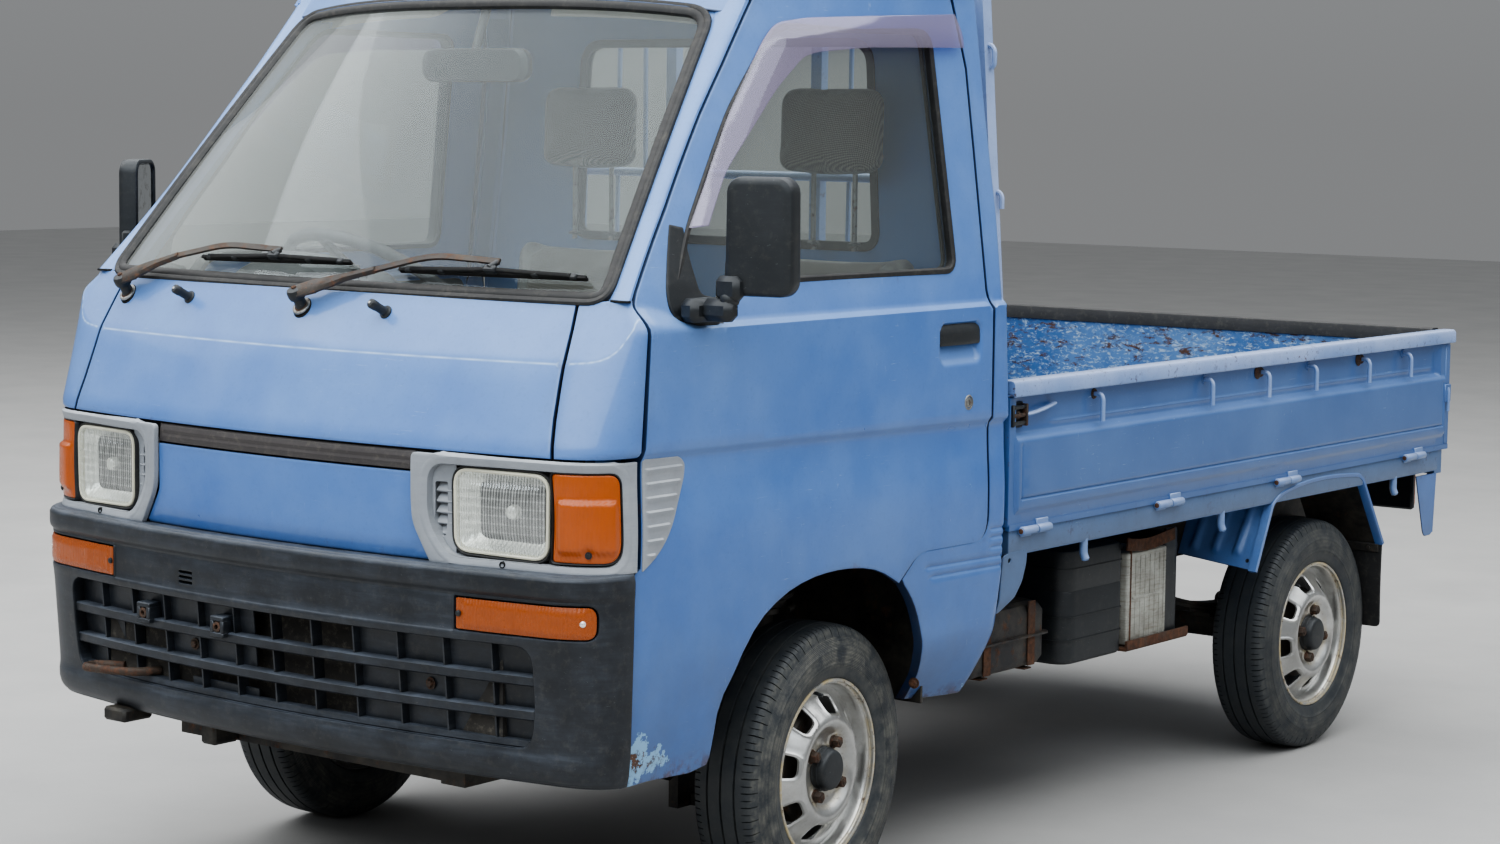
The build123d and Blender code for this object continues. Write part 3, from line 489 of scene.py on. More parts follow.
def battery_mat():
    g = Mat("battery_case_white")
    n = g.noise(18, 7, 0.75)
    s = g.noise(30, 5, 0.7, stretch=(0.5, 0.5, 7.0))
    col = g.mix(g.span(n, 0.35, 0.65), srgb(176, 176, 168), srgb(136, 134, 126))
    col = g.mix(g.math("MULTIPLY", g.span(s, 0.5, 0.66), 0.5), col, srgb(110, 100, 84))
    g.bump((g.noise(160, 4, 0.7), 0.25, 0.0008))
    return g.done(col, 0.6, 0.0)


M["battery"] = battery_mat()


def floor_mat():
    g = Mat("studio_floor")
    n = g.noise(2.5, 6, 0.6)
    g.bump((g.noise(60, 5, 0.6), 0.15, 0.002))
    return g.done(g.mix(g.span(n, 0.3, 0.7), srgb(160, 158, 156), srgb(169, 167, 164)), 0.75, 0.0)


M["floor"] = floor_mat()


# =============================================================================
# mesh tools
# =============================================================================
class MB:
    """Collects points (mm) and faces of one piece, each face with a material index."""

    def __init__(s):
        s.v, s.f, s.m, s.n, s.at = [], [], [], 0, {}

    def add(s, VF, m=0, **attrs):
        V, F = VF[0], VF[1]
        V = np.asarray(V, float).reshape(-1, 3)
        at = dict(VF[2]) if len(VF) > 2 else {}
        at.update(attrs)
        for k in set(at) | set(s.at):
            if k not in s.at:
                s.at[k] = [np.zeros(s.n)]
            a = at.get(k, 0.0)
            s.at[k].append(np.full(len(V), float(a)) if np.isscalar(a) else np.asarray(a, float))
        s.v.append(V)
        s.f += [tuple(int(i) + s.n for i in f) for f in F]
        s.m += [m] * len(F)
        s.n += len(V)
        return s

    def merge(s, o, m=None):
        V = np.concatenate(o.v)
        at = {k: np.concatenate(a) for k, a in o.at.items()}
        for k in set(at) | set(s.at):
            if k not in s.at:
                s.at[k] = [np.zeros(s.n)]
            s.at[k].append(at.get(k, np.zeros(len(V))))
        s.f += [tuple(i + s.n for i in f) for f in o.f]
        s.m += o.m if m is None else [m] * len(o.m)
        s.v.append(V)
        s.n += len(V)
        return s

    def mirror(s):
        o = MB()
        V = np.concatenate(s.v).copy()
        V[:, 0] *= -1
        o.v, o.n = [V], s.n
        o.f = [tuple(reversed(f)) for f in s.f]
        o.m = list(s.m)
        o.at = {k: [np.concatenate(a)] for k, a in s.at.items()}
        return o

    def both(s):
        return MB().merge(s).merge(s.mirror())

    def obj(s, name, mats, body, replaces=(), slot=None, angle=38):
        V = metres(np.concatenate(s.v))
        me = bpy.data.meshes.new(name)
        me.from_pydata(V.tolist(), [], s.f)
        me.polygons.foreach_set("material_index", np.array(s.m, np.int32))
        for k, a in s.at.items():
            at = me.attributes.new(k, "FLOAT", "POINT")
            at.data.foreach_set("value", np.concatenate(a).astype(np.float32))
        me.update()
        me.validate()
        for m in (mats if isinstance(mats, (list, tuple)) else [mats]):
            me.materials.append(M[m])
        shade(me, angle)
        ob = bpy.data.objects.new(name, me)
        bpy.context.scene.collection.objects.link(ob)
        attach(ob, body)
        if replaces:
            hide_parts(*([replaces] if isinstance(replaces, str) else replaces))
        return ob


def shade(me, angle):
    """Smooth faces, with edges sharper than angle (degrees) kept hard."""
    me.polygons.foreach_set("use_smooth", np.ones(len(me.polygons), bool))
    if angle >= 180 or not len(me.polygons):
        return
    ne, nl = len(me.edges), len(me.loops)
    le = np.empty(nl, np.int32)
    me.loops.foreach_get("edge_index", le)
    lt = np.empty(len(me.polygons), np.int32)
    me.polygons.foreach_get("loop_total", lt)
    pn = np.empty(len(me.polygons) * 3)
    me.polygons.foreach_get("normal", pn)
    pn = pn.reshape(-1, 3)
    lp = np.repeat(np.arange(len(lt)), lt)
    order = np.argsort(le, kind="stable")
    es, ps = le[order], lp[order]
    cnt = np.bincount(es, minlength=ne)
    first = np.searchsorted(es, np.arange(ne))
    sharp = np.zeros(ne, bool)
    two = np.where(cnt == 2)[0]
    a, b = ps[first[two]], ps[first[two] + 1]
    sharp[two] = (pn[a] * pn[b]).sum(1) < math.cos(math.radians(angle))
    sharp[cnt != 2] = True
    at = me.attributes.get("sharp_edge") or me.attributes.new("sharp_edge", "BOOLEAN", "EDGE")
    at.data.foreach_set("value", sharp)


def smooth(x, a, b):
    """0 at a, 1 at b, with flat ends."""
    t = np.clip((np.asarray(x, float) - a) / (b - a), 0, 1)
    return t * t * (3 - 2 * t)


def cbox(x0, x1, y0, y1, z0, z1, b=1.0):
    """Box with chamfered edges."""
    b = min(b, (x1 - x0) * 0.45, (y1 - y0) * 0.45, (z1 - z0) * 0.45)
    X, Y, Z = (x0, x1), (y0, y1), (z0, z1)
    V, idx = [], {}
    for i in (0, 1):
        for j in (0, 1):
            for k in (0, 1):
                p = (X[i], Y[j], Z[k])
                sx, sy, sz = (b if i == 0 else -b), (b if j == 0 else -b), (b if k == 0 else -b)
                for a, q in enumerate(((p[0], p[1] + sy, p[2] + sz), (p[0] + sx, p[1], p[2] + sz), (p[0] + sx, p[1] + sy, p[2]))):
                    idx[i, j, k, a] = len(V)
                    V.append(q)
    F = []
    for a in range(3):
        u, w = (a + 1) % 3, (a + 2) % 3
        for s_ in (0, 1):
            c = [(0, 0), (1, 0), (1, 1), (0, 1)]
            if s_ == 0:
                c = c[::-1]
            f = []
            for p, q in c:
                t = [0, 0, 0]
                t[a], t[u], t[w] = s_, p, q
                f.append(idx[t[0], t[1], t[2], a])
            F.append(tuple(f))
    C = np.array([(x0 + x1) / 2, (y0 + y1) / 2, (z0 + z1) / 2])
    VA = np.array(V)

    def out(f):
        P = VA[list(f)]
        n = np.cross(P[1] - P[0], P[2] - P[0])
        return f if n @ (P.mean(0) - C) > 0 else f[::-1]
    for a in range(3):
        u, w = (a + 1) % 3, (a + 2) % 3
        for p in (0, 1):
            for q in (0, 1):
                t0, t1 = [0, 0, 0], [0, 0, 0]
                t0[a], t1[a] = 0, 1
                t0[u] = t1[u] = p
                t0[w] = t1[w] = q
                F.append(out((idx[t0[0], t0[1], t0[2], u], idx[t1[0], t1[1], t1[2], u],
                              idx[t1[0], t1[1], t1[2], w], idx[t0[0], t0[1], t0[2], w])))
    for i in (0, 1):
        for j in (0, 1):
            for k in (0, 1):
                F.append(out((idx[i, j, k, 0], idx[i, j, k, 1], idx[i, j, k, 2])))
    return VA, F


def frames(P, closed=False):
    """Tangent, side and up vectors along a path, without twist."""
    P = np.asarray(P, float)
    n = len(P)
    if closed:
        T = np.roll(P, -1, 0) - np.roll(P, 1, 0)
    else:
        T = np.gradient(P, axis=0)
    T /= np.linalg.norm(T, axis=1)[:, None]
    a = np.array([0, 0, 1.0]) if abs(T[0][2]) < 0.9 else np.array([1.0, 0, 0])
    u = np.cross(T[0], a)
    u /= np.linalg.norm(u)
    U = [u]
    for i in range(1, n):
        u = U[-1] - T[i] * (U[-1] @ T[i])
        U.append(u / np.linalg.norm(u))
    U = np.array(U)
    return T, U, np.cross(T, U)


def bend(P, r=12, n=6, closed=False):
    """Rounds the corners of a polyline with arcs that start r from each corner."""
    P = [np.array(p, float) for p in P]
    out = []
    N = len(P)
    rng = range(N) if closed else range(1, N - 1)
    if not closed:
        out.append(P[0])
    for i in rng:
        a, b, c = P[i - 1], P[i], P[(i + 1) % N]
        la, lc = np.linalg.norm(a - b), np.linalg.norm(c - b)
        rr = r[i] if isinstance(r, (list, tuple)) else r
        d = min(rr, la * 0.49, lc * 0.49)
        if d < 1e-6:
            out.append(b)
            continue
        p, q = b + (a - b) / la * d, b + (c - b) / lc * d
        for k in range(n + 1):
            t = k / n
            out.append((1 - t) ** 2 * p + 2 * t * (1 - t) * b + t * t * q)
    if not closed:
        out.append(P[-1])
    return np.array(out)


def tube(P, r, n=10, caps=True, closed=False, flat=1.0):
    """Round bar along a path; r is one radius or one for each point."""
    P = np.asarray(P, float)
    T, U, W = frames(P, closed)
    R = np.full(len(P), float(r)) if np.isscalar(r) else np.asarray(r, float)
    a = np.linspace(0, 2 * math.pi, n, endpoint=False)
    V = (P[:, None] + R[:, None, None] * (np.cos(a)[None, :, None] * U[:, None] + np.sin(a)[None, :, None] * W[:, None] * flat)).reshape(-1, 3)
    F = []
    m = len(P)
    for i in range(m if closed else m - 1):
        for j in range(n):
            i2 = (i + 1) % m
            F.append((i * n + j, i * n + (j + 1) % n, i2 * n + (j + 1) % n, i2 * n + j))
    if caps and not closed:
        F.append(tuple(range(n))[::-1])
        F.append(tuple((m - 1) * n + j for j in range(n)))
    return V, F


def lathe(prof, origin, axis, n=48, closed=False, arc=None, caps=False):
    """(offset along axis, radius) outline turned about an axis."""
    A = np.array(axis, float)
    A /= np.linalg.norm(A)
    h = np.array([0, 0, 1.0]) if abs(A[2]) < 0.9 else np.array([1.0, 0, 0])
    U = np.cross(A, h)
    U /= np.linalg.norm(U)
    W = np.cross(A, U)
    pr = np.array(prof, float)
    full = arc is None
    th = np.linspace(0, 2 * math.pi, n, endpoint=False) if full else np.linspace(arc[0], arc[1], n)
    V = (np.array(origin, float) + pr[None, :, 0, None] * A + pr[None, :, 1, None] * (np.cos(th)[:, None, None] * U + np.sin(th)[:, None, None] * W)).reshape(-1, 3)
    m = len(pr)
    F = []
    for i in range(n if full else n - 1):
        i2 = (i + 1) % n
        for j in range(m if closed else m - 1):
            j2 = (j + 1) % m
            F.append((i * m + j, i2 * m + j, i2 * m + j2, i * m + j2))
    if caps:
        F.append(tuple(i * m for i in range(n)))
        F.append(tuple(i * m + m - 1 for i in range(n))[::-1])
    return V, F


def bolt(p, axis, r=6, h=4, n=6, washer=True):
    """Hexagon head on a washer."""
    a = np.array(axis, float)
    a /= np.linalg.norm(a)
    b = MB()
    if washer:
        b.add(lathe([(0, 0.5), (0, r * 1.5), (1.2, r * 1.5), (1.2, 0.5)], p, a, 20, closed=True))
    b.add(lathe([(0.5, 0.3), (0.5, r), (h * 0.75, r), (h, r * 0.8), (h, 0.3)], p, a, n, closed=True))
    return np.concatenate(b.v), b.f


def inside(P, loops):
    """Even-odd test of points against closed loops."""
    P = np.asarray(P, float)
    res = np.zeros(len(P), bool)
    for L in loops:
        L = np.asarray(L, float)
        x0, y0 = L[:, 0], L[:, 1]
        x1, y1 = np.roll(x0, -1), np.roll(y0, -1)
        for a, b, c, d in zip(x0, y0, x1, y1):
            if b == d:
                continue
            hit = ((b > P[:, 1]) != (d > P[:, 1])) & (P[:, 0] < (c - a) * (P[:, 1] - b) / (d - b) + a)
            res ^= hit
    return res


def area(L):
    L = np.asarray(L, float)
    return 0.5 * np.sum(L[:, 0] * np.roll(L[:, 1], -1) - np.roll(L[:, 0], -1) * L[:, 1])


def resample(L, step, closed=True):
    L = np.asarray(L, float)
    out = []
    n = len(L)
    for i in range(n if closed else n - 1):
        a, b = L[i], L[(i + 1) % n]
        d = np.linalg.norm(b - a)
        if d < 0.05:
            continue
        k = max(1, int(math.ceil(d / step)))
        for j in range(k):
            out.append(a + (b - a) * j / k)
    if not closed:
        out.append(L[-1])
    return np.array(out)


def inset(L, d):
    """Closed loop (counter-clockwise) moved inwards by d."""
    L = np.asarray(L, float)
    e1 = L - np.roll(L, 1, 0)
    e2 = np.roll(L, -1, 0) - L
    n1 = np.stack([-e1[:, 1], e1[:, 0]], 1) / np.maximum(np.linalg.norm(e1, axis=1), 1e-9)[:, None]
    n2 = np.stack([-e2[:, 1], e2[:, 0]], 1) / np.maximum(np.linalg.norm(e2, axis=1), 1e-9)[:, None]
    m = n1 + n2
    k = np.maximum((m * m).sum(1) / 2, 0.5)
    return L + m / k[:, None] * d


def seg_dist(P, L, closed=True):
    """Distance of points to a polyline."""
    P, L = np.asarray(P, float), np.asarray(L, float)
    best = np.full(len(P), 1e9)
    n = len(L)
    for i in range(n if closed else n - 1):
        a, b = L[i], L[(i + 1) % n]
        ab = b - a
        t = np.clip(((P - a) @ ab) / max(ab @ ab, 1e-12), 0, 1)
        best = np.minimum(best, np.hypot(P[:, 0] - a[0] - t * ab[0], P[:, 1] - a[1] - t * ab[1]))
    return best


def sheet(outline, surf, holes=(), lines=(), pts=None, t=2.0, grid=14.0, roll=1.5, tdir=None, flip=False,
          back=True, edge_w=14.0, step=None):
    """Closed shell over a flat outline with holes.

    surf maps the plane's points to 3-D. The rim is rolled in by roll. lines are
    extra polylines that the mesh follows, so that creases stay crisp. t is the
    thickness, a number or a function of the plane's points; tdir its direction,
    or None for the surface's own normal.
    """
    out = resample(outline, step or grid * 0.8)
    if area(out) < 0:
        out = out[::-1]
    hs = []
    for h in holes:
        h = resample(h, step or grid * 0.8)
        hs.append(h if area(h) > 0 else h[::-1])
    V, E = [], []

    def loop(L, closed=True):
        k = len(V)
        n = len(L)
        V.extend([tuple(p) for p in L])
        for i in range(n if closed else n - 1):
            E.append((k + i, k + (i + 1) % n))
    loop(out)
    for h in hs:
        loop(h)
    loops = [out] + hs
    if roll:
        for d in (roll * 0.3, roll, roll * 2.2):
            for L, sgn in [(out, 1)] + [(h, -1) for h in hs]:
                I = inset(L, d * sgn)
                ok = inside(I, loops) & (np.min([seg_dist(I, q) for q in loops], axis=0) > d * 0.6)
                k = len(V)
                ids = {}
                for i, p in enumerate(I):
                    if ok[i]:
                        ids[i] = len(V)
                        V.append(tuple(p))
                for i in range(len(I)):
                    j = (i + 1) % len(I)
                    if i in ids and j in ids:
                        E.append((ids[i], ids[j]))
    for L in lines:
        L = resample(L, grid * 0.8, closed=False)
        ok = inside(L, loops) & (np.min([seg_dist(L, q) for q in loops], axis=0) > max(roll * 2.4, 1.2))
        prev = None
        for p, o in zip(L, ok):
            if o:
                V.append(tuple(p))
                if prev is not None:
                    E.append((prev, len(V) - 1))
                prev = len(V) - 1
            else:
                prev = None
    lo, hi = out.min(0), out.max(0)
    gx = np.arange(lo[0] + grid * 0.5, hi[0], grid)
    gy = np.arange(lo[1] + grid * 0.5, hi[1], grid)
    G = np.stack(np.meshgrid(gx, gy), -1).reshape(-1, 2)
    G = G[inside(G, loops)]
    if len(G):
        G = G[np.min([seg_dist(G, q) for q in loops], axis=0) > max(grid * 0.5, roll * 2.6)]
        if lines and len(G):
            dl = np.min([seg_dist(G, np.asarray(q, float), closed=False) for q in lines], axis=0)
            G = G[dl > grid * 0.35]
    if pts is not None and len(pts):
        pts = np.asarray(pts, float)
        pts = pts[inside(pts, loops)]
        pts = pts[np.min([seg_dist(pts, q) for q in loops], axis=0) > max(roll * 2.4, 0.8)]
        V.extend([tuple(p) for p in pts])
        if len(G) and len(pts):
            from mathutils import kdtree
            kd = kdtree.KDTree(len(pts))
            for i, p in enumerate(pts):
                kd.insert((p[0], p[1], 0), i)
            kd.balance()
            G = np.array([g for g in G if kd.find((g[0], g[1], 0))[2] > grid * 0.5]).reshape(-1, 2)
    V.extend([tuple(p) for p in G])
    r = delaunay_2d_cdt([Vector(p) for p in V], E, [], 0, 0.02)
    P2 = np.array([tuple(v) for v in r[0]])
    T = np.array([f for f in r[2]], int)
    C = P2[T].mean(1)
    T = T[inside(C, loops)]
    a, b, c = P2[T[:, 0]], P2[T[:, 1]], P2[T[:, 2]]
    cr = (b[:, 0] - a[:, 0]) * (c[:, 1] - a[:, 1]) - (b[:, 1] - a[:, 1]) * (c[:, 0] - a[:, 0])
    T = T[np.abs(cr) > 1e-4]
    cr = cr[np.abs(cr) > 1e-4]
    T[cr < 0] = T[cr < 0][:, ::-1]
    used = np.unique(T)
    remap = -np.ones(len(P2), int)
    remap[used] = np.arange(len(used))
    P2, T = P2[used], remap[T]
    P = surf(P2[:, 0], P2[:, 1])
    e = 0.6
    du = surf(P2[:, 0] + e, P2[:, 1]) - surf(P2[:, 0] - e, P2[:, 1])
    dv = surf(P2[:, 0], P2[:, 1] + e) - surf(P2[:, 0], P2[:, 1] - e)
    N = np.cross(du, dv)
    N /= np.maximum(np.linalg.norm(N, axis=1), 1e-9)[:, None]
    if flip:
        N = -N
    D = np.min([seg_dist(P2, q) for q in loops], axis=0)
    drop = np.zeros(len(P2))
    if roll:
        q = np.clip(roll - D, 0, roll)
        drop = roll - np.sqrt(np.maximum(roll * roll - q * q, 0))
    edge = np.clip(1 - D / edge_w, 0, 1)
    front = P - N * drop[:, None]
    F = [tuple(f[::-1]) if flip else tuple(f) for f in T.tolist()]
    if not back:
        return front, F, {"edge": edge}
    tt = t(P2[:, 0], P2[:, 1]) if callable(t) else np.full(len(P2), float(t))
    dirn = -N if tdir is None else np.array(tdir, float)[None]
    rear = P + dirn * tt[:, None]
    n = len(P2)
    ed = {}
    for f in F:
        for i in range(3):
            ed[(f[i], f[(i + 1) % 3])] = 1
    rim = [e_ for e_ in ed if (e_[1], e_[0]) not in ed]
    FF = F + [tuple(i + n for i in f[::-1]) for f in F] + [(b_, a_, a_ + n, b_ + n) for a_, b_ in rim]
    return np.concatenate([front, rear]), FF, {"edge": np.concatenate([edge, edge])}


def strip(P, prof, closed=False, up=None, caps=True):
    """Sweeps a closed (side, up) outline along a path; up(i) gives the up direction at each point."""
    P = np.asarray(P, float)
    n = len(P)
    if closed:
        T = np.roll(P, -1, 0) - np.roll(P, 1, 0)
    else:
        T = np.gradient(P, axis=0)
    T /= np.linalg.norm(T, axis=1)[:, None]
    Uv = np.asarray(up, float)
    if Uv.ndim == 1:
        Uv = np.tile(Uv, (n, 1))
    Uv = Uv - T * (Uv * T).sum(1)[:, None]
    Uv /= np.linalg.norm(Uv, axis=1)[:, None]
    S = np.cross(T, Uv)
    pr = np.asarray(prof, float)
    if area(pr) < 0:
        pr = pr[::-1]
    k = len(pr)
    V = (P[:, None] + pr[None, :, 0, None] * S[:, None] + pr[None, :, 1, None] * Uv[:, None]).reshape(-1, 3)
    F = []
    for i in range(n if closed else n - 1):
        i2 = (i + 1) % n
        for j in range(k):
            j2 = (j + 1) % k
            F.append((i * k + j, i2 * k + j, i2 * k + j2, i * k + j2))
    if caps and not closed:
        F.append(tuple(range(k)))
        F.append(tuple((n - 1) * k + j for j in range(k))[::-1])
    return V, F


def quads(G, close_u=False, close_v=False, flip=False):
    """Faces over a grid of points, shape (nu, nv, 3)."""
    nu, nv = G.shape[:2]
    F = []
    for i in range(nu if close_u else nu - 1):
        for j in range(nv if close_v else nv - 1):
            a, b = i * nv + j, ((i + 1) % nu) * nv + j
            c, d = ((i + 1) % nu) * nv + (j + 1) % nv, i * nv + (j + 1) % nv
            F.append((d, c, b, a) if flip else (a, b, c, d))
    return G.reshape(-1, 3), F


def slab(L, plane, d0, d1, b=1.2):
    """Flat plate with a chamfered rim. plane 'yz', 'xz' or 'xy'; d0 to d1 along the third axis."""
    L = np.asarray(L, float)
    if area(L) < 0:
        L = L[::-1]
    I = inset(L, b)
    lo, hi = min(d0, d1), max(d0, d1)
    rings = [(I, lo), (L, lo + b), (L, hi - b), (I, hi)]
    V = []
    for Q, d in rings:
        for u, v in Q:
            V.append({"yz": (d, u, v), "xz": (u, d, v), "xy": (u, v, d)}[plane])
    n = len(L)
    F = []
    for r in range(3):
        for i in range(n):
            j = (i + 1) % n
            F.append((r * n + i, r * n + j, (r + 1) * n + j, (r + 1) * n + i))
    F.append(tuple(range(n))[::-1])
    F.append(tuple(3 * n + i for i in range(n)))
    if plane == "xz":
        F = [f[::-1] for f in F]
    return np.array(V), F


def place(VF, mat):
    """Moves a shape by a 4x4 matrix (mm)."""
    V = np.asarray(VF[0], float)
    A = np.array(mat, float)
    return (V @ A[:3, :3].T + A[:3, 3],) + tuple(VF[1:])


def material_only(node, mat):
    """Gives a CAD node that stays a better material."""
    o = NODES[node]
    if not o.material_slots:
        o.data.materials.append(M[mat])
    else:
        for s_ in o.material_slots:
            s_.material = M[mat]


# =============================================================================
# body surfaces of the cab
# =============================================================================
BOW = 1.5e-4


def crease_z(y):
    return 892 - 17.0 * (np.asarray(y, float) + 537) / 994


def XS(y, z):
    """Half width of the cab's side at (y, z): tucked sill, crease, shoulder ledge, leaning upper part."""
    y, z = np.asarray(y, float), np.asarray(z, float)
    c = np.maximum(20 + 0.216 * (z - 1141), 2.0)
    up = 683 - 0.1232 * (z - 1100) - c * np.clip((500 - y) / 1000, 0, None) ** 2
    s = crease_z(y) - z
    D = 10.5 * smooth(s, -2, 12) - 5.5 * smooth(s, 16, 150)
    Df = 22 * np.clip((560 - z) / 215, 0, None) ** 1.6
    A = 81 - 35 * np.clip((y - 275) / 170, 0, 1)
    Dr = A * np.clip((480 - z) / 135, 0, None) ** 1.55
    D = D + np.where(y < 0, Df, Dr) + 5 * np.clip((-560 - y) / 45, 0, None) ** 1.5
    k = smooth(y, -560, -400)
    zc = 1094 + (1 - k) * 18
    half = 5 + (1 - k) * 21
    b = smooth((z - zc) / half, -1, 0.8)
    return (696 - D) * (1 - b) + up * b


def fold_z(s):
    """Height of the front panel's fold at plan distance s."""
    return np.interp(np.abs(s), [0, 560, 585, 600, 615, 630, 645, 657, 666, 674, 684, 700, 720, 746],
                     [1033.5, 1035, 1036.5, 1038, 1040, 1043.6, 1050, 1059, 1069, 1081, 1092, 1104, 1110, 1112])


def YF(z, s=0.0):
    """y of the front panel's middle profile at height z; the fold's height follows s."""
    z = np.asarray(z, float)
    zc = fold_z(s) + 0 * z
    yc = -736 + (zc - 905) * 0.357
    q = zc - z
    low = np.interp(z, [340, 690, 850, 885, 905], [-739, -740, -741, -740, -736])
    mid = -736 + (z - 905) * 0.357
    top = yc + (z - zc) / (1136 - zc) * (-633 - yc)
    y = np.where(z <= 905, low, np.where(z <= zc, mid, np.where(z <= 1136, top, -633 + (z - 1136) * 0.583)))
    return y + 0.5 * np.exp(-(q / 2.5) ** 2)


def seam_s(z):
    """Plan distance of the joint between the middle and corner panels."""
    return np.interp(z, [885, 947, 1002, 1042, 1090, 1133], [592, 582, 576.5, 573.5, 566, 558])


def plan(s, y0, w, yb, xc=596.0, bow=BOW):
    """Point of a bowed plan outline with rounded corners; s runs from the middle outwards (mm)."""
    s = np.asarray(s, float)
    a = np.abs(s)
    x = np.minimum(a, xc)
    yc = y0 + bow * xc * xc
    L = 150.0
    t = np.clip((a - xc) / L, 0, 1)
    p1y = yc + 2 * bow * xc * (w - xc)
    X = np.where(a <= xc, x, (1 - t) ** 2 * xc + 2 * t * (1 - t) * w + t * t * w)
    Y = np.where(a <= xc, y0 + bow * x * x, (1 - t) ** 2 * yc + 2 * t * (1 - t) * p1y + t * t * yb)
    return np.sign(s) * X, Y


def front(s, z, off=0.0):
    """Cab front at plan distance s and height z; off moves it outwards."""
    s, z = np.asarray(s, float), np.asarray(z, float)
    ye = np.interp(z, [690, 880, 1101, 1140], [-586, -582, -570, -566])
    w = XS(ye, z)
    X, Y = plan(s, YF(z, s) - off, w + off, ye)
    return np.stack([X, Y, z], -1)


def side(y, z, off=0.0):
    y, z = np.asarray(y, float), np.asarray(z, float)
    return np.stack([XS(y, z) + off, y, z], -1)


def lane(z0, ys, offs, f=None):
    """Lines along y at height f(y) + offset."""
    return [[(y, (f(y) if f else z0) + o) for y in ys] for o in offs]


ARCH_TOP = [(-361, 429), (-349, 460), (-327, 490), (-303, 527), (-275, 560), (-245, 584), (-212, 602), (-176, 617),
            (-139, 627), (-100, 634), (-64, 637), (-30, 638), (3, 637), (45, 633), (82, 626), (114, 615), (143, 601)]
DOOR_OUT = [(-575, 889), (-579, 720), (-580, 703), (-593, 695), (-602, 345), (-596, 336), (-530, 338), (-420, 333),
            (-374, 340), (-368, 352)] + ARCH_TOP + [(160, 592), (222, 640), (452, 638), (452, 880), (451, 1095),
            (446, 1118), (443, 1376), (440, 1534), (412, 1662), (404, 1684), (-108, 1684), (-139, 1640), (-227, 1532),
            (-304, 1443), (-430, 1287), (-552, 1149), (-563, 1132), (-563, 1095)]
r = [0] * len(DOOR_OUT)
for i_, p_ in enumerate(DOOR_OUT):
    if p_ == (452, 638):
        r[i_] = 52
    elif p_ == (222, 640):
        r[i_] = 26
    elif p_ in ((-552, 1149), (-563, 1132), (-368, 352)):
        r[i_] = 10
    elif p_ in ((404, 1684), (412, 1662)):
        r[i_] = 10
DOOR_OUT = bend([(a, b, 0) for a, b in DOOR_OUT], r, 6, closed=True)[:, :2]

WINDOW = bend([(a, b, 0) for a, b in [
    (-462, 1118), (-440, 1096), (-366, 1094), (-338, 1112), (-312, 1150), (-280, 1158), (349, 1158), (334, 1600),
    (-70, 1600), (-105, 1585), (-236, 1450), (-330, 1328), (-388, 1255), (-455, 1150)]],
    [20, 18, 16, 22, 20, 24, 30, 34, 40, 30, 30, 30, 30, 30], 5, closed=True)[:, :2]


def door_surf(y, z):
    y, z = np.asarray(y, float), np.asarray(z, float)
    X = XS(y, z)
    # hand scoop under the handle
    dy = np.abs(y - 342.5) - 50
    dz = np.abs(z - 1024) - 20
    d = np.hypot(np.maximum(dy, 0), np.maximum(dz, 0)) + np.minimum(np.maximum(dy, dz), 0)
    X = X - 17 * smooth(-d, -21, -8) * (0.45 + 0.55 * smooth(z, 990, 1030))
    return np.stack([X, y, z], -1)


def door_t(y, z):
    """Depth of the shell: two folded skins, only one thin flange along the wheel arch."""
    d = seg_dist(np.stack([np.ravel(y), np.ravel(z)], -1), ARCH_TOP, closed=False).reshape(np.shape(y))
    return np.where(z < 1100, 8.0 + 25.0 * smooth(d, 4, 60), 25.0)


ys_ = np.linspace(-575, 455, 60)
door_lines = lane(0, ys_, (3, -3, -9, -15, -21), crease_z)
yb_ = np.linspace(-395, 455, 50)
door_lines += lane(1094, yb_, (-5, -2.5, 0, 2.2, 4.2))
gy, gz = np.meshgrid(np.arange(262, 424, 4.5), np.arange(974, 1078, 4.5))
scoop_pts = np.stack([gy.ravel(), gz.ravel()], 1)
gy, gz = np.meshgrid(np.arange(-575, -400, 9.0), np.arange(1070, 1150, 5.0))
nose_pts = np.stack([gy.ravel() + (gz.ravel() % 2) * 2, gz.ravel()], 1)

# ---- door shell -----------------------------------------------------------------------
door = MB()
door.add(sheet(DOOR_OUT, door_surf, holes=[WINDOW], lines=door_lines, pts=np.concatenate([scoop_pts, nose_pts]),
               t=door_t, tdir=(-1, 0, 0), grid=15, roll=2.2))
# door card, arm rest, pull handle and winder
CARD = bend([(a, b, 0) for a, b in [(-545, 1085), (-550, 720), (-520, 700), (-330, 700), (-190, 690), (150, 690), (225, 660),
             (440, 655), (440, 1085)]], 25, 4, closed=True)[:, :2]
door.add(sheet(CARD, lambda y, z: np.stack([np.full_like(y, 655.0) + 4 * smooth(z, 900, 930), y, z], -1), t=7,
               tdir=(1, 0, 0), flip=True, grid=40, roll=3,
               lines=lane(0, np.linspace(-540, 440, 12), (900, 915, 930))), 1)
door.add(cbox(620, 657, -140, 200, 868, 908, 12), 1)
door.add(tube(bend([(655, -90, 820), (632, -90, 812), (632, 30, 812), (655, 30, 820)], 14), 8, 8), 1)
door.add(lathe([(0, 3), (0, 24), (-8, 26), (-14, 20), (-14, 3)], (655, -230, 800), (1, 0, 0), 24, closed=True), 1)
door.add(tube(bend([(641, -230, 800), (634, -230, 795), (632, -150, 735)], 8), 6, 8), 1)
door.add(lathe([(0, 2), (0, 11), (-26, 13), (-30, 8), (-30, 2)], (634, -150, 735), (1, 0, 0), 16, closed=True), 1)
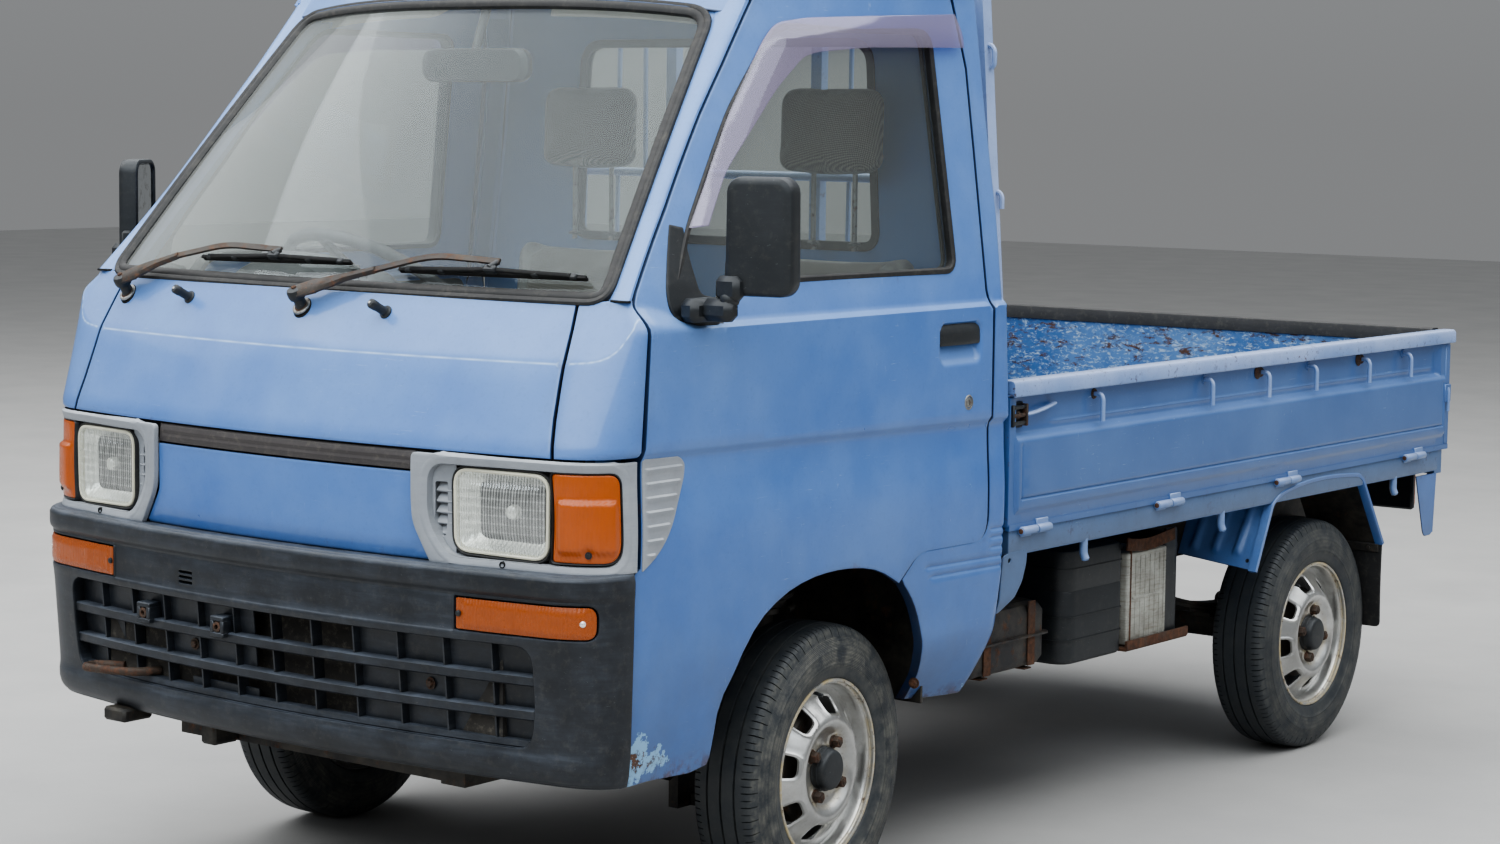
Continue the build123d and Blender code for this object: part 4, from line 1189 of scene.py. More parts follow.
door.add(cbox(640, 656, 250, 320, 985, 1012, 5), 1)

# louvred grey plate on the door's front edge
PL = bend([(a, b, 0) for a, b in [(-573, 882), (-476, 880), (-463, 867), (-466, 845), (-502, 762), (-533, 724), (-577, 697)]],
          [3, 14, 8, 10, 30, 30, 4], 5, closed=True)[:, :2]
RIBS = []
for i_ in range(7):
    z_ = 862 - i_ * 23.5
    y1 = np.interp(z_, [697, 724, 762, 845, 867], [-577, -533, -502, -466, -463]) - 11
    RIBS.append((z_, -565, y1))


def plate_surf(y, z):
    h = np.zeros_like(np.asarray(y, float))
    for z_, a, b in RIBS:
        ins = smooth(y, a - 4, a + 1) * (1 - smooth(y, b - 2, b + 5))
        h = np.maximum(h, ins * 3.6 * smooth(z, z_ - 9, z_ + 2.5) * (1 - smooth(z, z_ + 2.5, z_ + 5.5)))
    return side(y, z, 2.0) + np.stack([h, h * 0, h * 0], -1)


rl = []
for z_, a, b in RIBS:
    for o in (-9, -5, -1, 2.5, 4, 5.5):
        rl.append([(a - 4, z_ + o), ((a + b) / 2, z_ + o), (b + 5, z_ + o)])
door.add(sheet(PL, plate_surf, lines=rl, t=4, tdir=(-1, 0, 0), grid=8, roll=1.6), 2)

# window rubber, glass, lower black mirror plate
hole3 = side(WINDOW[:, 0], WINDOW[:, 1], -1.0)
door.add(strip(hole3, [(-7, -6), (-7, 1.5), (-4, 4), (3, 4), (6, 1), (6, -14), (-2, -14)], closed=True, up=(1, 0, 0)), 3)
door.add(strip(side(WINDOW[:, 0], WINDOW[:, 1], -22.0), [(-5, -4), (-5, 2), (5, 2), (5, -4)], closed=True, up=(1, 0, 0)), 3)
BASE = bend([(a, b, 0) for a, b in [(-482, 1124), (-472, 1106), (-457, 1100), (-352, 1094), (-345, 1112), (-350, 1137), (-398, 1144), (-402, 1200),
             (-400, 1256), (-434, 1262), (-459, 1204), (-480, 1150)]], [8, 8, 8, 10, 10, 12, 16, 14, 4, 4, 20, 12], 5, closed=True)[:, :2]
door.add(sheet(BASE, lambda y, z: side(y, z, 4.0 - 3.0 * smooth(z, 1150, 1240)), t=9, tdir=(-1, 0, 0), grid=12, roll=3), 4)
# handle with its flap, lock barrel
hx = float(XS(342, 1042)) - 1
door.add(sheet([(276, 1020), (409, 1020), (411, 1026), (411, 1058), (405, 1065), (281, 1065), (275, 1059), (274, 1026)],
               lambda y, z: np.stack([hx + 3.0 - 3.5 * ((y - 342) / 68) ** 2 - 5.0 * smooth(z, 1046, 1064) - 0.002 * (z - 1030) ** 2, y, z], -1),
               t=11, tdir=(-1, 0, 0), grid=8, roll=4), 4)
kx = float(XS(372, 911))
door.add(lathe([(-6, 2), (-6, 14.5), (1.2, 14.5), (2.4, 13), (2.4, 11.2), (0.6, 10.4), (0.6, 2)], (kx - 1, 372, 911), (1, 0, 0), 32, closed=True), 5)
door.add(lathe([(-4, 1), (-4, 9.6), (1.8, 9.6), (2.6, 8.2), (2.6, 1)], (kx - 1, 372, 911), (1, 0, 0), 24, closed=True), 5)
door.add(cbox(kx, kx + 2.2, 371, 373, 906, 916, 0.4), 4)
# hinge pins seen in the pockets of the front edge
for z_ in (515, 830):
    door.add(tube([(676, -545, z_ - 34), (676, -545, z_ + 34)], 6.2, 14), 5)
mats_door = ["body", "vinyl", "grey", "rubber", "black", "zinc"]
door.obj("door_left_shell", mats_door, "left_door", "door_left", "body_paint")
door.mirror().obj("door_right_shell", mats_door, "right_door", "door_right", "body_paint")

WIN_IN = inset(WINDOW, 3)
dglass = MB().add(sheet(WIN_IN, lambda y, z: side(y, z, -12.0), t=4, tdir=(-1, 0, 0), grid=40, roll=0))
dglass.obj("door_left_window", "side_glass", "left_door", "door_glass_left", "glass")
dglass.mirror().obj("door_right_window", "side_glass", "right_door", "door_glass_right", "glass")

# rain visor of tinted acrylic along the window's front and top edge
V_OUT = bend([(a, b, 0) for a, b in [(-392, 1254), (-338, 1318), (-244, 1443), (-126, 1578), (-92, 1606), (-15, 1617), (200, 1627), (414, 1636)]], 26, 5)[:, :2]
V_IN = bend([(a, b, 0) for a, b in [(-352, 1258), (-281, 1351), (-131, 1487), (-46, 1548), (-8, 1556), (128, 1567), (418, 1573)]], 26, 5)[:, :2]
V_L = np.concatenate([V_OUT, V_IN[::-1]])


def visor_surf(y, z):
    P = np.stack([y, z], -1).reshape(-1, 2)
    d = seg_dist(P, V_OUT, closed=False).reshape(np.shape(y))
    return side(y, z, 4.5 + 13 * np.sin(np.clip(d / 62, 0, 1) * math.pi * 0.62))


vis = MB().add(sheet(V_L, visor_surf, t=2.6, grid=11, roll=1.0))
vis.obj("door_left_visor", "visor", "left_door", slot="glass")
vis.mirror().obj("door_right_visor", "visor", "right_door", slot="glass")

# ---- door mirrors -----------------------------------------------------------------------
def rrect(cx, cz, w, h, r, n=7, taper=0.0):
    P = []
    for sx, sz, a0 in ((1, 1, 0), (-1, 1, 90), (-1, -1, 180), (1, -1, 270)):
        for k in range(n):
            a = math.radians(a0 + 90 * k / (n - 1))
            x, z = sx * (w / 2 - r) + r * math.cos(a), sz * (h / 2 - r) + r * math.sin(a)
            P.append((cx + x * (1 + taper * z / h), cz + z))
    return P


def mirror_head(origin, turn, x0, WH=123):
    """Housing and glass in the head's own axes, turned about z and moved to its pivot."""
    h = MB()
    rings = []
    for y_, gr, rr, dz in [(0, -14, 14, 0), (0.6, -8, 20, 0), (2.8, -3, 23, 0), (7, -0.8, 25, 0), (12.5, 0, 26, 0),
                           (31, 0, 26, 0), (35.6, -1.2, 25, 0), (38, -4.5, 22, 0), (38, -8.5, 18, 0), (32.8, -10.5, 16, 0)]:
        P = rrect(x0, 1245, WH + 2 * gr, 197 + 2 * gr, rr, taper=-0.03)
        rings.append([(x, y_ + (0.6 - 2.4 * math.cos((z - 1245) / 96 * 1.2) if y_ < 8 else 0), z) for x, z in P])
    V, F = quads(np.array(rings), close_v=True)
    h.add((V, F + [tuple(range(28)), tuple(9 * 28 + j for j in range(28))[::-1]]))
    P = rrect(x0, 1245, WH - 20, 176, 17, taper=-0.03)
    h.add((np.array([(x, 34.0, z) for x, z in P]), [tuple(range(28))[::-1]]), 1)
    # raised rib round the housing and the clamp at its inner edge
    h.add(cbox(x0 - 66, x0 - 50, 8, 30, 1152, 1206, 5))
    c_, s_ = math.cos(math.radians(turn)), math.sin(math.radians(turn))
    V = np.concatenate(h.v)
    h.v = [np.stack([origin[0] + V[:, 0] * c_ - V[:, 1] * s_, origin[1] + V[:, 0] * s_ + V[:, 1] * c_, V[:, 2]], -1)]
    return h


def mirror_foot():
    h = MB()
    h.add(cbox(674, 714, -474, -398, 1101, 1141, 11))
    h.add(cbox(704, 768, -454, -418, 1104, 1142, 11))
    h.add(cbox(727, 777, -445, -416, 1138, 1180, 9))
    h.add(lathe([(0, 1), (0, 15), (5, 17), (14, 17), (18, 14), (18, 1)], (752, -431, 1132), (0, 0, 1), 24, closed=True))
    h.add(bolt((690, -462, 1122), (0, -1, 0), 5, 3), 2)
    h.add(bolt((750, -450, 1122), (0, -1, 0), 4, 3), 2)
    return h


MM = ["black", "mirror", "zinc"]
mirror_head((802.3, -422), 11.9, 0).merge(mirror_foot()).obj("mirror_left_head", MM, "left_door", "mirror_left", "black_plastic")
# the far mirror is folded back
mirror_head((746, -448), 60, 58, 116).merge(mirror_foot()).mirror().obj("mirror_right_head", MM, "right_door", "mirror_right", "black_plastic")

# ---- quarter panel and rear post of the cab ------------------------------------------------
def notch(y, z, pts, depth, wide):
    d = np.full(np.shape(y), 1e9)
    P = np.stack([np.ravel(y), np.ravel(z)], -1)
    for a, b in pts:
        d = np.minimum(d, seg_dist(P, np.array([a, b], float), closed=False).reshape(np.shape(y)))
    return depth * np.exp(-(d / wide) ** 2)


GROOVES = [((251, 611), (509, 606)), ((266, 592), (508, 588)), ((466, 661), (519, 660)), ((466, 645), (518, 644)), ((466, 626), (517, 625))]


def quarter_surf(y, z):
    X = XS(y, z) - notch(y, z, GROOVES, 3.2, 3.6)
    # the rear edge rolls round to the back wall
    e = np.interp(z, [343, 411, 461, 502, 575, 697, 881, 1082, 1100, 1260, 1446, 1700], [446, 469, 489, 497, 512, 519, 519, 505, 508, 512, 503, 500])
    q = np.clip(y - (e - 14), 0, 14)
    X = X - (14 - np.sqrt(np.maximum(14 * 14 - q * q, 0))) * 0.9
    return np.stack([X, y, z], -1)


QUARTER = [(458, 1095), (457, 643), (228, 645), (170, 598), (177, 587), (190, 573), (201, 560), (212, 543), (222, 523), (230, 502), (236, 483), (242, 466),
           (250, 445), (262, 422), (274, 400), (282, 372), (290, 347), (340, 343), (400, 341), (440, 341), (446, 345), (469, 411), (489, 461), (497, 502), (512, 575), (519, 650), (519, 881),
           (514, 1000), (505, 1082), (508, 1110), (512, 1200), (512, 1260), (503, 1446), (500, 1620), (498, 1688), (416, 1688), (418, 1668), (446, 1534),
           (449, 1376), (452, 1118)]
r = [0] * len(QUARTER)
for i_, p_ in enumerate(QUARTER):
    if p_ == (457, 643):
        r[i_] = 50
    elif p_ == (228, 645):
        r[i_] = 24
QUARTER = bend([(a, b, 0) for a, b in QUARTER], r, 6, closed=True)[:, :2]
ql = lane(0, np.linspace(458, 519, 6), (3, -3, -9, -15, -21), crease_z) + lane(1094, np.linspace(452, 515, 5), (-5, -2.5, 0, 2.2, 4.2))
for a, b in GROOVES:
    for o in (-6, -3.5, -1.5, 0, 1.5, 3.5, 6):
        ql.append([(a[0] - 4, a[1] + o), (b[0] + 2, b[1] + o)])
for o in (14, 10, 7, 4, 2):
    ql.append([(e - o, z) for z, e in zip([520, 575, 697, 881, 1000, 1082, 1200, 1260, 1446, 1680], [499, 512, 519, 519, 514, 505, 512, 512, 503, 498.5])])
gy, gz = np.meshgrid(np.arange(170, 500, 9.0), np.arange(345, 480, 9.0))
quarter = MB()
quarter.add(sheet(QUARTER, quarter_surf, lines=ql, pts=np.stack([gy.ravel() + (gz.ravel() % 2) * 3, gz.ravel()], 1),
                  t=lambda y, z: np.where(z < 1100, 20.0, 30.0), tdir=(-1, 0, 0), grid=12, roll=2.2))
# folded flange inside the arch's rear edge, with a rusted bolt
fl = bend([(a, b, 0) for a, b in [(177, 587), (190, 573), (201, 560), (212, 543), (222, 523), (230, 502), (236, 483), (242, 466), (250, 445), (262, 422), (274, 400), (282, 372), (290, 347)]], 6, 3)[:, :2]
rows = []
for k in (0, 1, 2, 3):
    rows.append([(float(XS(y, z)) - 3 - k * 5.5, y + (2 + k * 3) * 0.6, z + k) for y, z in fl])
V, F = quads(np.array(rows))
quarter.add((np.concatenate([V, V + [0, 2.0, 0.5]]), F + [tuple(i + len(V) for i in f[::-1]) for f in F]))
quarter.add(bolt((648, 276, 385), (0.2, -1, 0), 7, 6), 1)
# inner post trim
quarter.add(sheet([(462, 1100), (500, 1100), (496, 1640), (424, 1640), (452, 1530)], lambda y, z: side(y, z, -31.0), t=3, tdir=(-1, 0, 0), grid=40, roll=1), 2)
quarter.both().obj("cab_side_quarters", ["body", "rust", "cab_in"], "chassis", "cab_quarter_panels", "body_paint")

# ---- front panels ------------------------------------------------------------------------
fp = MB()
zl = [1000, 1066, 1100]
EDGE_R = [(588, 885), (578, 947), (573, 1002), (570, 1042), (563, 1090), (555, 1133)]
CEN = [(-588, 885)] + EDGE_R + [(300, 1135), (0, 1135), (-300, 1135)] + [(-a, b) for a, b in EDGE_R[::-1][:-1]]
FOLD = np.linspace(-746, 746, 600)
FOLD3 = front(FOLD, fold_z(FOLD))


def with_fold_highlight(S, half=2.2):
    """Marks the points that lie on the fold, where the paint gets a painted highlight line."""
    d = np.array([np.min(np.hypot(np.hypot(FOLD3[:, 0] - p[0], FOLD3[:, 1] - p[1]), FOLD3[:, 2] - p[2])) for p in S[0]])
    S[2]["line"] = np.clip(1 - d / half, 0, 1)
    return S




def cen_surf(x, z):
    return front(x, z)


fold_c = [[(x, float(fold_z(x)) + o) for x in np.linspace(-568, 568, 60)] for o in (-2.6, -1.1, 0.0, 1.1, 2.6)]
fp.add(with_fold_highlight(sheet(CEN, cen_surf, lines=fold_c + [[(x, z) for x in np.linspace(-550, 550, 30)] for z in zl + [890, 896, 905]], t=6, grid=22, roll=2.5)))
LOWP = bend([(a, b, 0) for a, b in [(-352, 699), (352, 699), (352, 705), (318, 762), (318, 846), (-318, 846), (-318, 762), (-352, 705)]], [0, 0, 4, 10, 3, 3, 10, 4], 4, closed=True)[:, :2]
fp.add(sheet(LOWP, lambda x, z: front(x, z, -2.0 - 3 * smooth(z, 706, 699)), t=5, grid=24, roll=2.5))


def corner_surf(s, z):
    xs = seam_s(z)
    # plan distance measured from the seam, so that the corner keeps its edge on it
    return front(xs + s * (746 - xs) / 150.0, z)


CORN = bend([(a, b, 0) for a, b in [(1.5, 885), (147.5, 885), (148.5, 1090), (148, 1128), (138, 1141), (60, 1140), (1.5, 1134)]], [0, 4, 0, 10, 12, 10, 0], 5, closed=True)[:, :2]
fold_k = []
for s_ in np.linspace(2, 147.5, 40):
    z_ = 1040.0
    for _ in range(12):
        xs = float(seam_s(z_))
        z_ = float(fold_z(xs + s_ * (746 - xs) / 150.0))
    fold_k.append((s_, z_))
fold_k = np.array(fold_k)
fold_n = np.gradient(fold_k, axis=0)
fold_n = np.stack([-fold_n[:, 1], fold_n[:, 0]], 1) / np.linalg.norm(fold_n, axis=1)[:, None]
cor = MB().add(with_fold_highlight(sheet(CORN, corner_surf, lines=[(fold_k + fold_n * o)[1:-1].tolist() for o in (-2.6, -1.1, 0.0, 1.1, 2.6)], t=6, grid=8, roll=2.5)))
fp.merge(cor.both())
# near-black strips behind the seams and the joint at 883 mm: painted shade, a dark sheet standing in for the shade in
# the gaps
for s_ in (1, -1):
    P = []
    for z in np.linspace(700, 1138, 12):
        xs = float(seam_s(z))
        q = front(np.array([s_ * xs]), np.array([z]), -9.0)[0]
        P.append(q)
    fp.add(strip(np.array(P), [(-14, -2), (14, -2), (14, 1), (-14, 1)], up=(0, -1, 0)), 1)
fp.add(strip(front(np.linspace(-585, 585, 30), np.full(30, 883.0), -10.0), [(-10, -2), (10, -2), (10, 1), (-10, 1)], up=(0, -1, 0)), 1)
# dark trim strip between the lamps, with two ridges
def strip_surf(x, z):
    h = 2.0 * np.exp(-((z - 870) / 2.2) ** 2) + 2.0 * np.exp(-((z - 859) / 2.2) ** 2) - 3.5 * smooth(z, 876, 883)
    return front(x, z, -3.0) + np.stack([h * 0, -h, h * 0], -1)


fp.add(sheet([(-317, 849), (317, 849), (317, 882), (-317, 882)], strip_surf,
             lines=[[(x, z) for x in np.linspace(-317, 317, 22)] for z in (853, 856, 858, 860, 863, 866, 869, 871, 874, 877, 880)], t=5, grid=24, roll=1.6), 2)
fp.obj("cab_front_skin", ["body", "void", "dkgrey"], "chassis", "front_panel", "body_paint")

# ---- windscreen, its rubber, pillars, header ---------------------------------------------------
def wscreen(a, b, off=0.0):
    """a from -1 to 1 across, b from 0 to 1 up the screen."""
    a, b = np.asarray(a, float), np.asarray(b, float)
    xb, xt = 606 * a, 503 * a
    yb = -627 + 51 * a * a
    yt = -250 + 74 * a * a
    zb, zt = 1139 + 0 * a, 1645 - 22 * np.abs(a) ** 3
    bul = 9 * np.sin(math.pi * b) * (1 - 0.5 * a * a)
    x = xb + (xt - xb) * b
    y = yb + (yt - yb) * b - bul * 0.79 - off * 0.79
    z = zb + (zt - zb) * b + bul * 0.61 + off * 0.61
    return np.stack([x, y, z], -1)


def wmap(u, v, off=0.0):
    return wscreen(np.asarray(u) / 560.0, np.asarray(v) / 630.0, off)


WS = bend([(a, b, 0) for a, b in [(-560, 0), (560, 0), (560, 630), (-560, 630)]], [34, 34, 48, 48], 8, closed=True)[:, :2]
gl = MB().add(sheet(inset(resample(WS, 40), 10), lambda u, v: wmap(u, v, -4.0), t=5, grid=48, roll=0))
# rear window
BW = bend([(a, b, 0) for a, b in [(-390, 1186), (390, 1186), (368, 1588), (-368, 1588)]], [34, 34, 48, 48], 7, closed=True)[:, :2]
gl.add(sheet(inset(resample(BW, 40), 4), lambda x, z: np.stack([x, np.full_like(x, 505.0), z], -1), t=4, grid=60, roll=0))
gl.obj("cab_windscreen_and_rear_glass", "glass", "chassis", "cab_glass", "glass")

PATH = resample(WS, 24)
W3 = wmap(PATH[:, 0], PATH[:, 1], 1.0)
wn = np.array([0, -0.79, 0.61])
rub = MB().add(strip(W3, [(-15, -7), (-14, 0), (-9, 3.2), (-2, 3.6), (1, 1.8), (4, 3.4), (9, 3.0), (12, 0), (12, -7)], closed=True, up=wn))
rub.obj("windscreen_rubber", "rubber", "chassis", slot="rubber")
# painted corners above the screen's rounded top
tc_ = MB()
tc_.add(sheet([(486, 624), (486, 642), (574, 642), (574, 566), (552, 566), (546, 598), (530, 616)], lambda u, v: wmap(u, v, -3.0), t=6, grid=12, roll=0.6))
tc_.both().obj("windscreen_top_corners", "body", "chassis", slot="body_paint")

# pillars: closed sections from the windscreen's edge round to the door's edge
seam_y = lambda z: np.interp(z, [1137, 1149, 1287, 1443, 1532, 1640, 1690], [-569, -559, -436.5, -310, -233, -145, -114])
pil = MB()
rows = []
for z in list(np.linspace(1138, 1622, 26)) + [1640, 1660, 1680, 1694]:
    b = (z - 1139) / (1623 - 1139)
    E = wscreen(np.array([1.018]), np.array([b]), -2.0)[0]
    sy = float(seam_y(z))
    S = np.array([float(XS(sy, z)), sy, z])
    E[2] = z
    t1 = np.array([1.0, 0.14, 0.0])
    dy = (float(XS(sy + 10, z)) - float(XS(sy - 10, z))) / 20
    t2 = np.array([dy, 1.0, 0.0])
    L = np.linalg.norm(S - E)
    c1, c2 = E + t1 * L * 0.42, S - t2 / np.linalg.norm(t2) * L * 0.42
    row = []
    for t in np.linspace(0, 1, 9):
        row.append((1 - t) ** 3 * E + 3 * t * (1 - t) ** 2 * c1 + 3 * t * t * (1 - t) * c2 + t ** 3 * S)
    row[-1] = row[-1] + np.array([-1.2, 0.6, 0])
    row.append(S + np.array([-6, 1.6, 0]))
    row.append(S + np.array([-24, 4, 0]))
    row.append(S + np.array([-46, 22, 0]))
    row.append(E + np.array([-20, 38, 0]))
    row.append(E + np.array([-16, 10, 0]))
    rows.append(row)
G = np.array(rows)
V, F = quads(G, close_v=True)
k = G.shape[1]
pil.add((V, F + [tuple(range(k))[::-1], tuple((len(rows) - 1) * k + j for j in range(k))]))
# dark joint at the foot, between the rubber and the door's edge
ft_ = np.array(rows[0][:9]) + np.array([0.3, -0.8, 0.2])
ft_[-1] = ft_[-2] * 0.35 + ft_[-1] * 0.65
pil.add(tube(ft_, 2.3, 10), 2)
# lower post and hinge arms behind the door's front edge
pil.add(cbox(584, 611, -600, -535, 407, 1030, 3))
pil.add(cbox(584, 620, -558, -536, 1026, 1142, 3))
for z in (515, 830):
    pil.add(cbox(600, 672, -551.5, -538.5, z - 16, z + 16, 2))
    pil.add(lathe([(-16, 6.8), (-16, 10), (-15, 11), (15, 11), (16, 10), (16, 6.8)], (676, -545, z), (0, 0, 1), 24, closed=True))
    for q in (-8, 8):
        pil.add(bolt((611, -567, z + q), (1, 0, 0), 5, 4), 1)
pil.both().obj("windscreen_pillar_skins", ["body", "zinc", "void"], "chassis", "windscreen_pillars", "body_paint")

# ---- roof ------------------------------------------------------------------------------------------
def smin(vals, k=7.0):
    m = np.min(vals, axis=0)
    return m - k * np.log(np.sum([np.exp(-(v - m) / k) for v in vals], axis=0))


def yfront(x):
    return -250 + 74 * (np.asarray(x, float) / 503) ** 2


def roof_surf(x, y):
    x, y = np.asarray(x, float), np.asarray(y, float)
    zt = 1782 - 16 * (x / 600) ** 2 - 26 * ((y - 170) / 380) ** 2
    zt = zt + 2.2 * sum(np.exp(-((x - c) / 9) ** 2) for c in (-330, -110, 110, 330)) * smooth(y, -60, 10) * (1 - smooth(y, 390, 450))
    xe = XS(y, np.full_like(y, 1690.0)) + 1
    d = np.maximum(xe - np.abs(x), 0)
    zs = 1690 + 58 * np.sqrt(np.maximum(1 - (1 - np.minimum(d / 58, 1)) ** 2, 0)) + np.maximum(d - 40, 0) * 0.45
    fr = np.maximum(y - yfront(x), 0)
    zf = 1650 - 22 * np.abs(x / 503) ** 3 + fr * 1.25
    zf = np.where(fr > 70, zf - (fr - 70) * 0.55, zf)
    dr = np.maximum(514 - y, 0)
    zr = 1690 + 58 * np.sqrt(np.maximum(1 - (1 - np.minimum(dr / 58, 1)) ** 2, 0)) + np.maximum(dr - 40, 0) * 0.45
    return np.stack([x, y, np.minimum(smin([zt, zs, zf, zr], 6.0), 1779.0)], -1)


out = []
for x in np.linspace(-512, 512, 24):
    out.append((x, float(yfront(x)) - 2))
for y in np.linspace(-165, 480, 26):
    out.append((float(XS(y, 1690.0)) + (0 if y > -110 else (y + 110) * 0.18), y))
out += [(608, 500), (600, 510), (588, 514)]
out += [(-588, 514), (-600, 510), (-608, 500)]
for y in np.linspace(480, -165, 26):
    out.append((-float(XS(y, 1690.0)) - (0 if y > -110 else (y + 110) * 0.18), y))
ringp = []
for d in (3, 7, 12, 18, 26, 36, 48):
    I = inset(resample(np.array(out), 24), d)
    ringp.append(I)
for c in (-330, -110, 110, 330):
    for o in (-14, -7, 0, 7, 14):
        ringp.append(np.stack([np.full(24, c + o), np.linspace(-70, 460, 24)], 1))
roof = MB().add(sheet(out, roof_surf, pts=np.concatenate(ringp), t=3.0, grid=26, roll=2.0, tdir=(0, 0, -1), step=24))
# drip rails over the doors
P = [(float(XS(y, 1690.0)) + 2.5, y, 1689 - (0 if y > -105 else (-105 - y) * 0.9)) for y in np.linspace(-150, 480, 30)]
rail = strip(np.array(P), [(-5, -5), (-5, 3), (-3, 5), (0, 3), (3, -1), (7, -2), (9, 0), (10, -3), (6, -6)], up=(0, 0, 1))
roof.merge(MB().add(rail).both())
# inner lining and header
LIN = [(x, float(yfront(x)) + 44) for x in np.linspace(-478, 478, 20)]
LIN += [(float(XS(y, 1690.0)) - 52, y) for y in np.linspace(-95, 478, 12)]
LIN += [(-float(XS(y, 1690.0)) + 52, y) for y in np.linspace(478, -95, 12)]
roof.add(sheet(LIN, lambda x, y: np.stack([x, y, np.minimum(1722 - 26 * (x / 560) ** 4, roof_surf(x, y)[..., 2] - 24)], -1), t=4, tdir=(0, 0, 1), flip=True, grid=40, roll=1), 1)
roof.add(strip(np.array([(x, float(yfront(x)) + 42, 1650 - 22 * abs(x / 503) ** 3) for x in np.linspace(-478, 478, 20)]), [(-14, -16), (16, -18), (18, 14), (-4, 10)], up=(0, 0, 1)), 1)
roof.obj("cab_roof_skin", ["body", "headlining"], "chassis", "cab_roof", "body_paint", angle=50)

# ---- back wall ----------------------------------------------------------------------------------------
def back_surf(x, z):
    x, z = np.asarray(x, float), np.asarray(z, float)
    y = np.full(np.shape(x), 510.5)
    for zc in (760, 900, 1040):
        y = y - 5 * smooth(np.abs(z - zc), 26, 16) * smooth(np.abs(x), 590, 560)
    return np.stack([x, y, z], -1)


BWALL = [(-640, 602), (640, 602), (655, 700), (655, 1085), (640, 1100), (600, 1400), (578, 1694), (-578, 1694), (-600, 1400), (-640, 1100), (-655, 1085), (-655, 700)]
bl = []
for zc in (760, 900, 1040):
    for o in (-26, -21, -16, 16, 21, 26):
        bl.append([(x, zc + o) for x in np.linspace(-640, 640, 30)])
wall = MB().add(sheet(BWALL, back_surf, holes=[BW], lines=bl, t=11, tdir=(0, -1, 0), flip=True, grid=40, roll=1.6), 0)
wall.add(sheet(inset(resample(np.array(BWALL, float), 60), 12), lambda x, z: np.stack([x, np.full_like(x, 497.0), z], -1), holes=[BW], t=2, tdir=(0, 1, 0), grid=60, roll=0.8), 1)
B3 = resample(BW, 30)
wall.add(strip(np.stack([B3[:, 0], np.full(len(B3), 512.0), B3[:, 1]], 1), [(-13, -3), (-12, 2), (-5, 4), (5, 4), (9, 1), (9, -3)], closed=True, up=(0, 1, 0)), 2)
wall.add(strip(np.stack([B3[:, 0], np.full(len(B3), 496.5), B3[:, 1]], 1), [(-10, -3), (-9, 3), (8, 3), (9, -3)], closed=True, up=(0, -1, 0)), 2)
wall.obj("cab_back_skin", ["body", "cab_in", "rubber"], "chassis", "cab_back_wall", "body_paint")


# =============================================================================
# lamps, bumper and grille
# =============================================================================
def ribbed_glass(name):
    """Pressed headlamp glass: fine upright flutes over clear glass, with their glints painted on as pale diffuse bands.
    """
    g = Mat(name)
    n = g.span(g.noise(60, 5, 0.7), 0.5, 0.75)
    w = g.wave(56, "X")
    w2 = g.wave(23, "Z")
    out = g.t.nodes["Material Output"]
    g.t.nodes.remove(g.b)
    bp = g.new("ShaderNodeBump")
    bp.inputs["Strength"].default_value = 0.7
    bp.inputs["Distance"].default_value = 0.0012
    g.put(bp.inputs["Height"], w)
    tr = g.new("ShaderNodeBsdfTransparent")
    tr.inputs[0].default_value = (0.93, 0.95, 0.92, 1)
    gl = g.new("ShaderNodeBsdfGlossy")
    gl.inputs["Roughness"].default_value = 0.08
    gl.inputs["Color"].default_value = (0.95, 0.97, 0.97, 1)
    g.put(gl.inputs["Normal"], bp.outputs[0])
    m1 = g.new("ShaderNodeMixShader")
    m1.inputs[0].default_value = 0.2
    g.put(m1.inputs[1], tr.outputs[0])
    g.put(m1.inputs[2], gl.outputs[0])
    df = g.new("ShaderNodeBsdfDiffuse")
    df.inputs[0].default_value = (0.90, 0.91, 0.87, 1)
    m2 = g.new("ShaderNodeMixShader")
    # painted highlight: pale diffuse bands along the flutes stand in for their glints, over a faint even milkiness
    f = g.math("ADD", g.math("MULTIPLY", g.span(w, 0.4, 0.95), 0.22), g.math("MULTIPLY", g.span(w2, 0.8, 1.0), 0.10))
    f = g.math("ADD", f, g.math("ADD", g.math("MULTIPLY", n, 0.08), 0.07))
    g.put(m2.inputs[0], f)
    g.put(m2.inputs[1], m1.outputs[0])
    g.put(m2.inputs[2], df.outputs[0])
    g.put(out.inputs[0], m2.outputs[0])
    return g.m


M["headglass"] = ribbed_glass("headlamp_fluted_glass")
M["lamprim"] = lens("headlamp_glass_rim", srgb(226, 222, 202), trans=0.1, rough=0.12)

HOLE = bend([(a, b, 0) for a, b in [(351, 768), (395, 711), (714, 711), (714, 864), (351, 864)]], [30, 26, 34, 24, 36], 8, closed=True)[:, :2]
SUR = bend([(a, b, 0) for a, b in [(358, 698), (742, 698), (742, 880), (318, 880), (318, 800), (321, 762)]], [3, 2, 2, 10, 30, 20], 5, closed=True)[:, :2]
HOLE_R = resample(HOLE, 8)


def sur_surf(s, z):
    P = np.stack([np.ravel(s), np.ravel(z)], -1)
    d = seg_dist(P, HOLE_R).reshape(np.shape(s))
    h = 4.5 + 4.5 * (1 - smooth(s, 400, 520)) - 3.5 * smooth(d, 15, 1) - 1.2 * np.exp(-((d - 15.5) / 1.6) ** 2)
    base = front(s, z)
    n = front(s, z, 1.0) - base
    return base + n * h[..., None]


def off_surf(o):
    return lambda s, z: front(s, z, o)


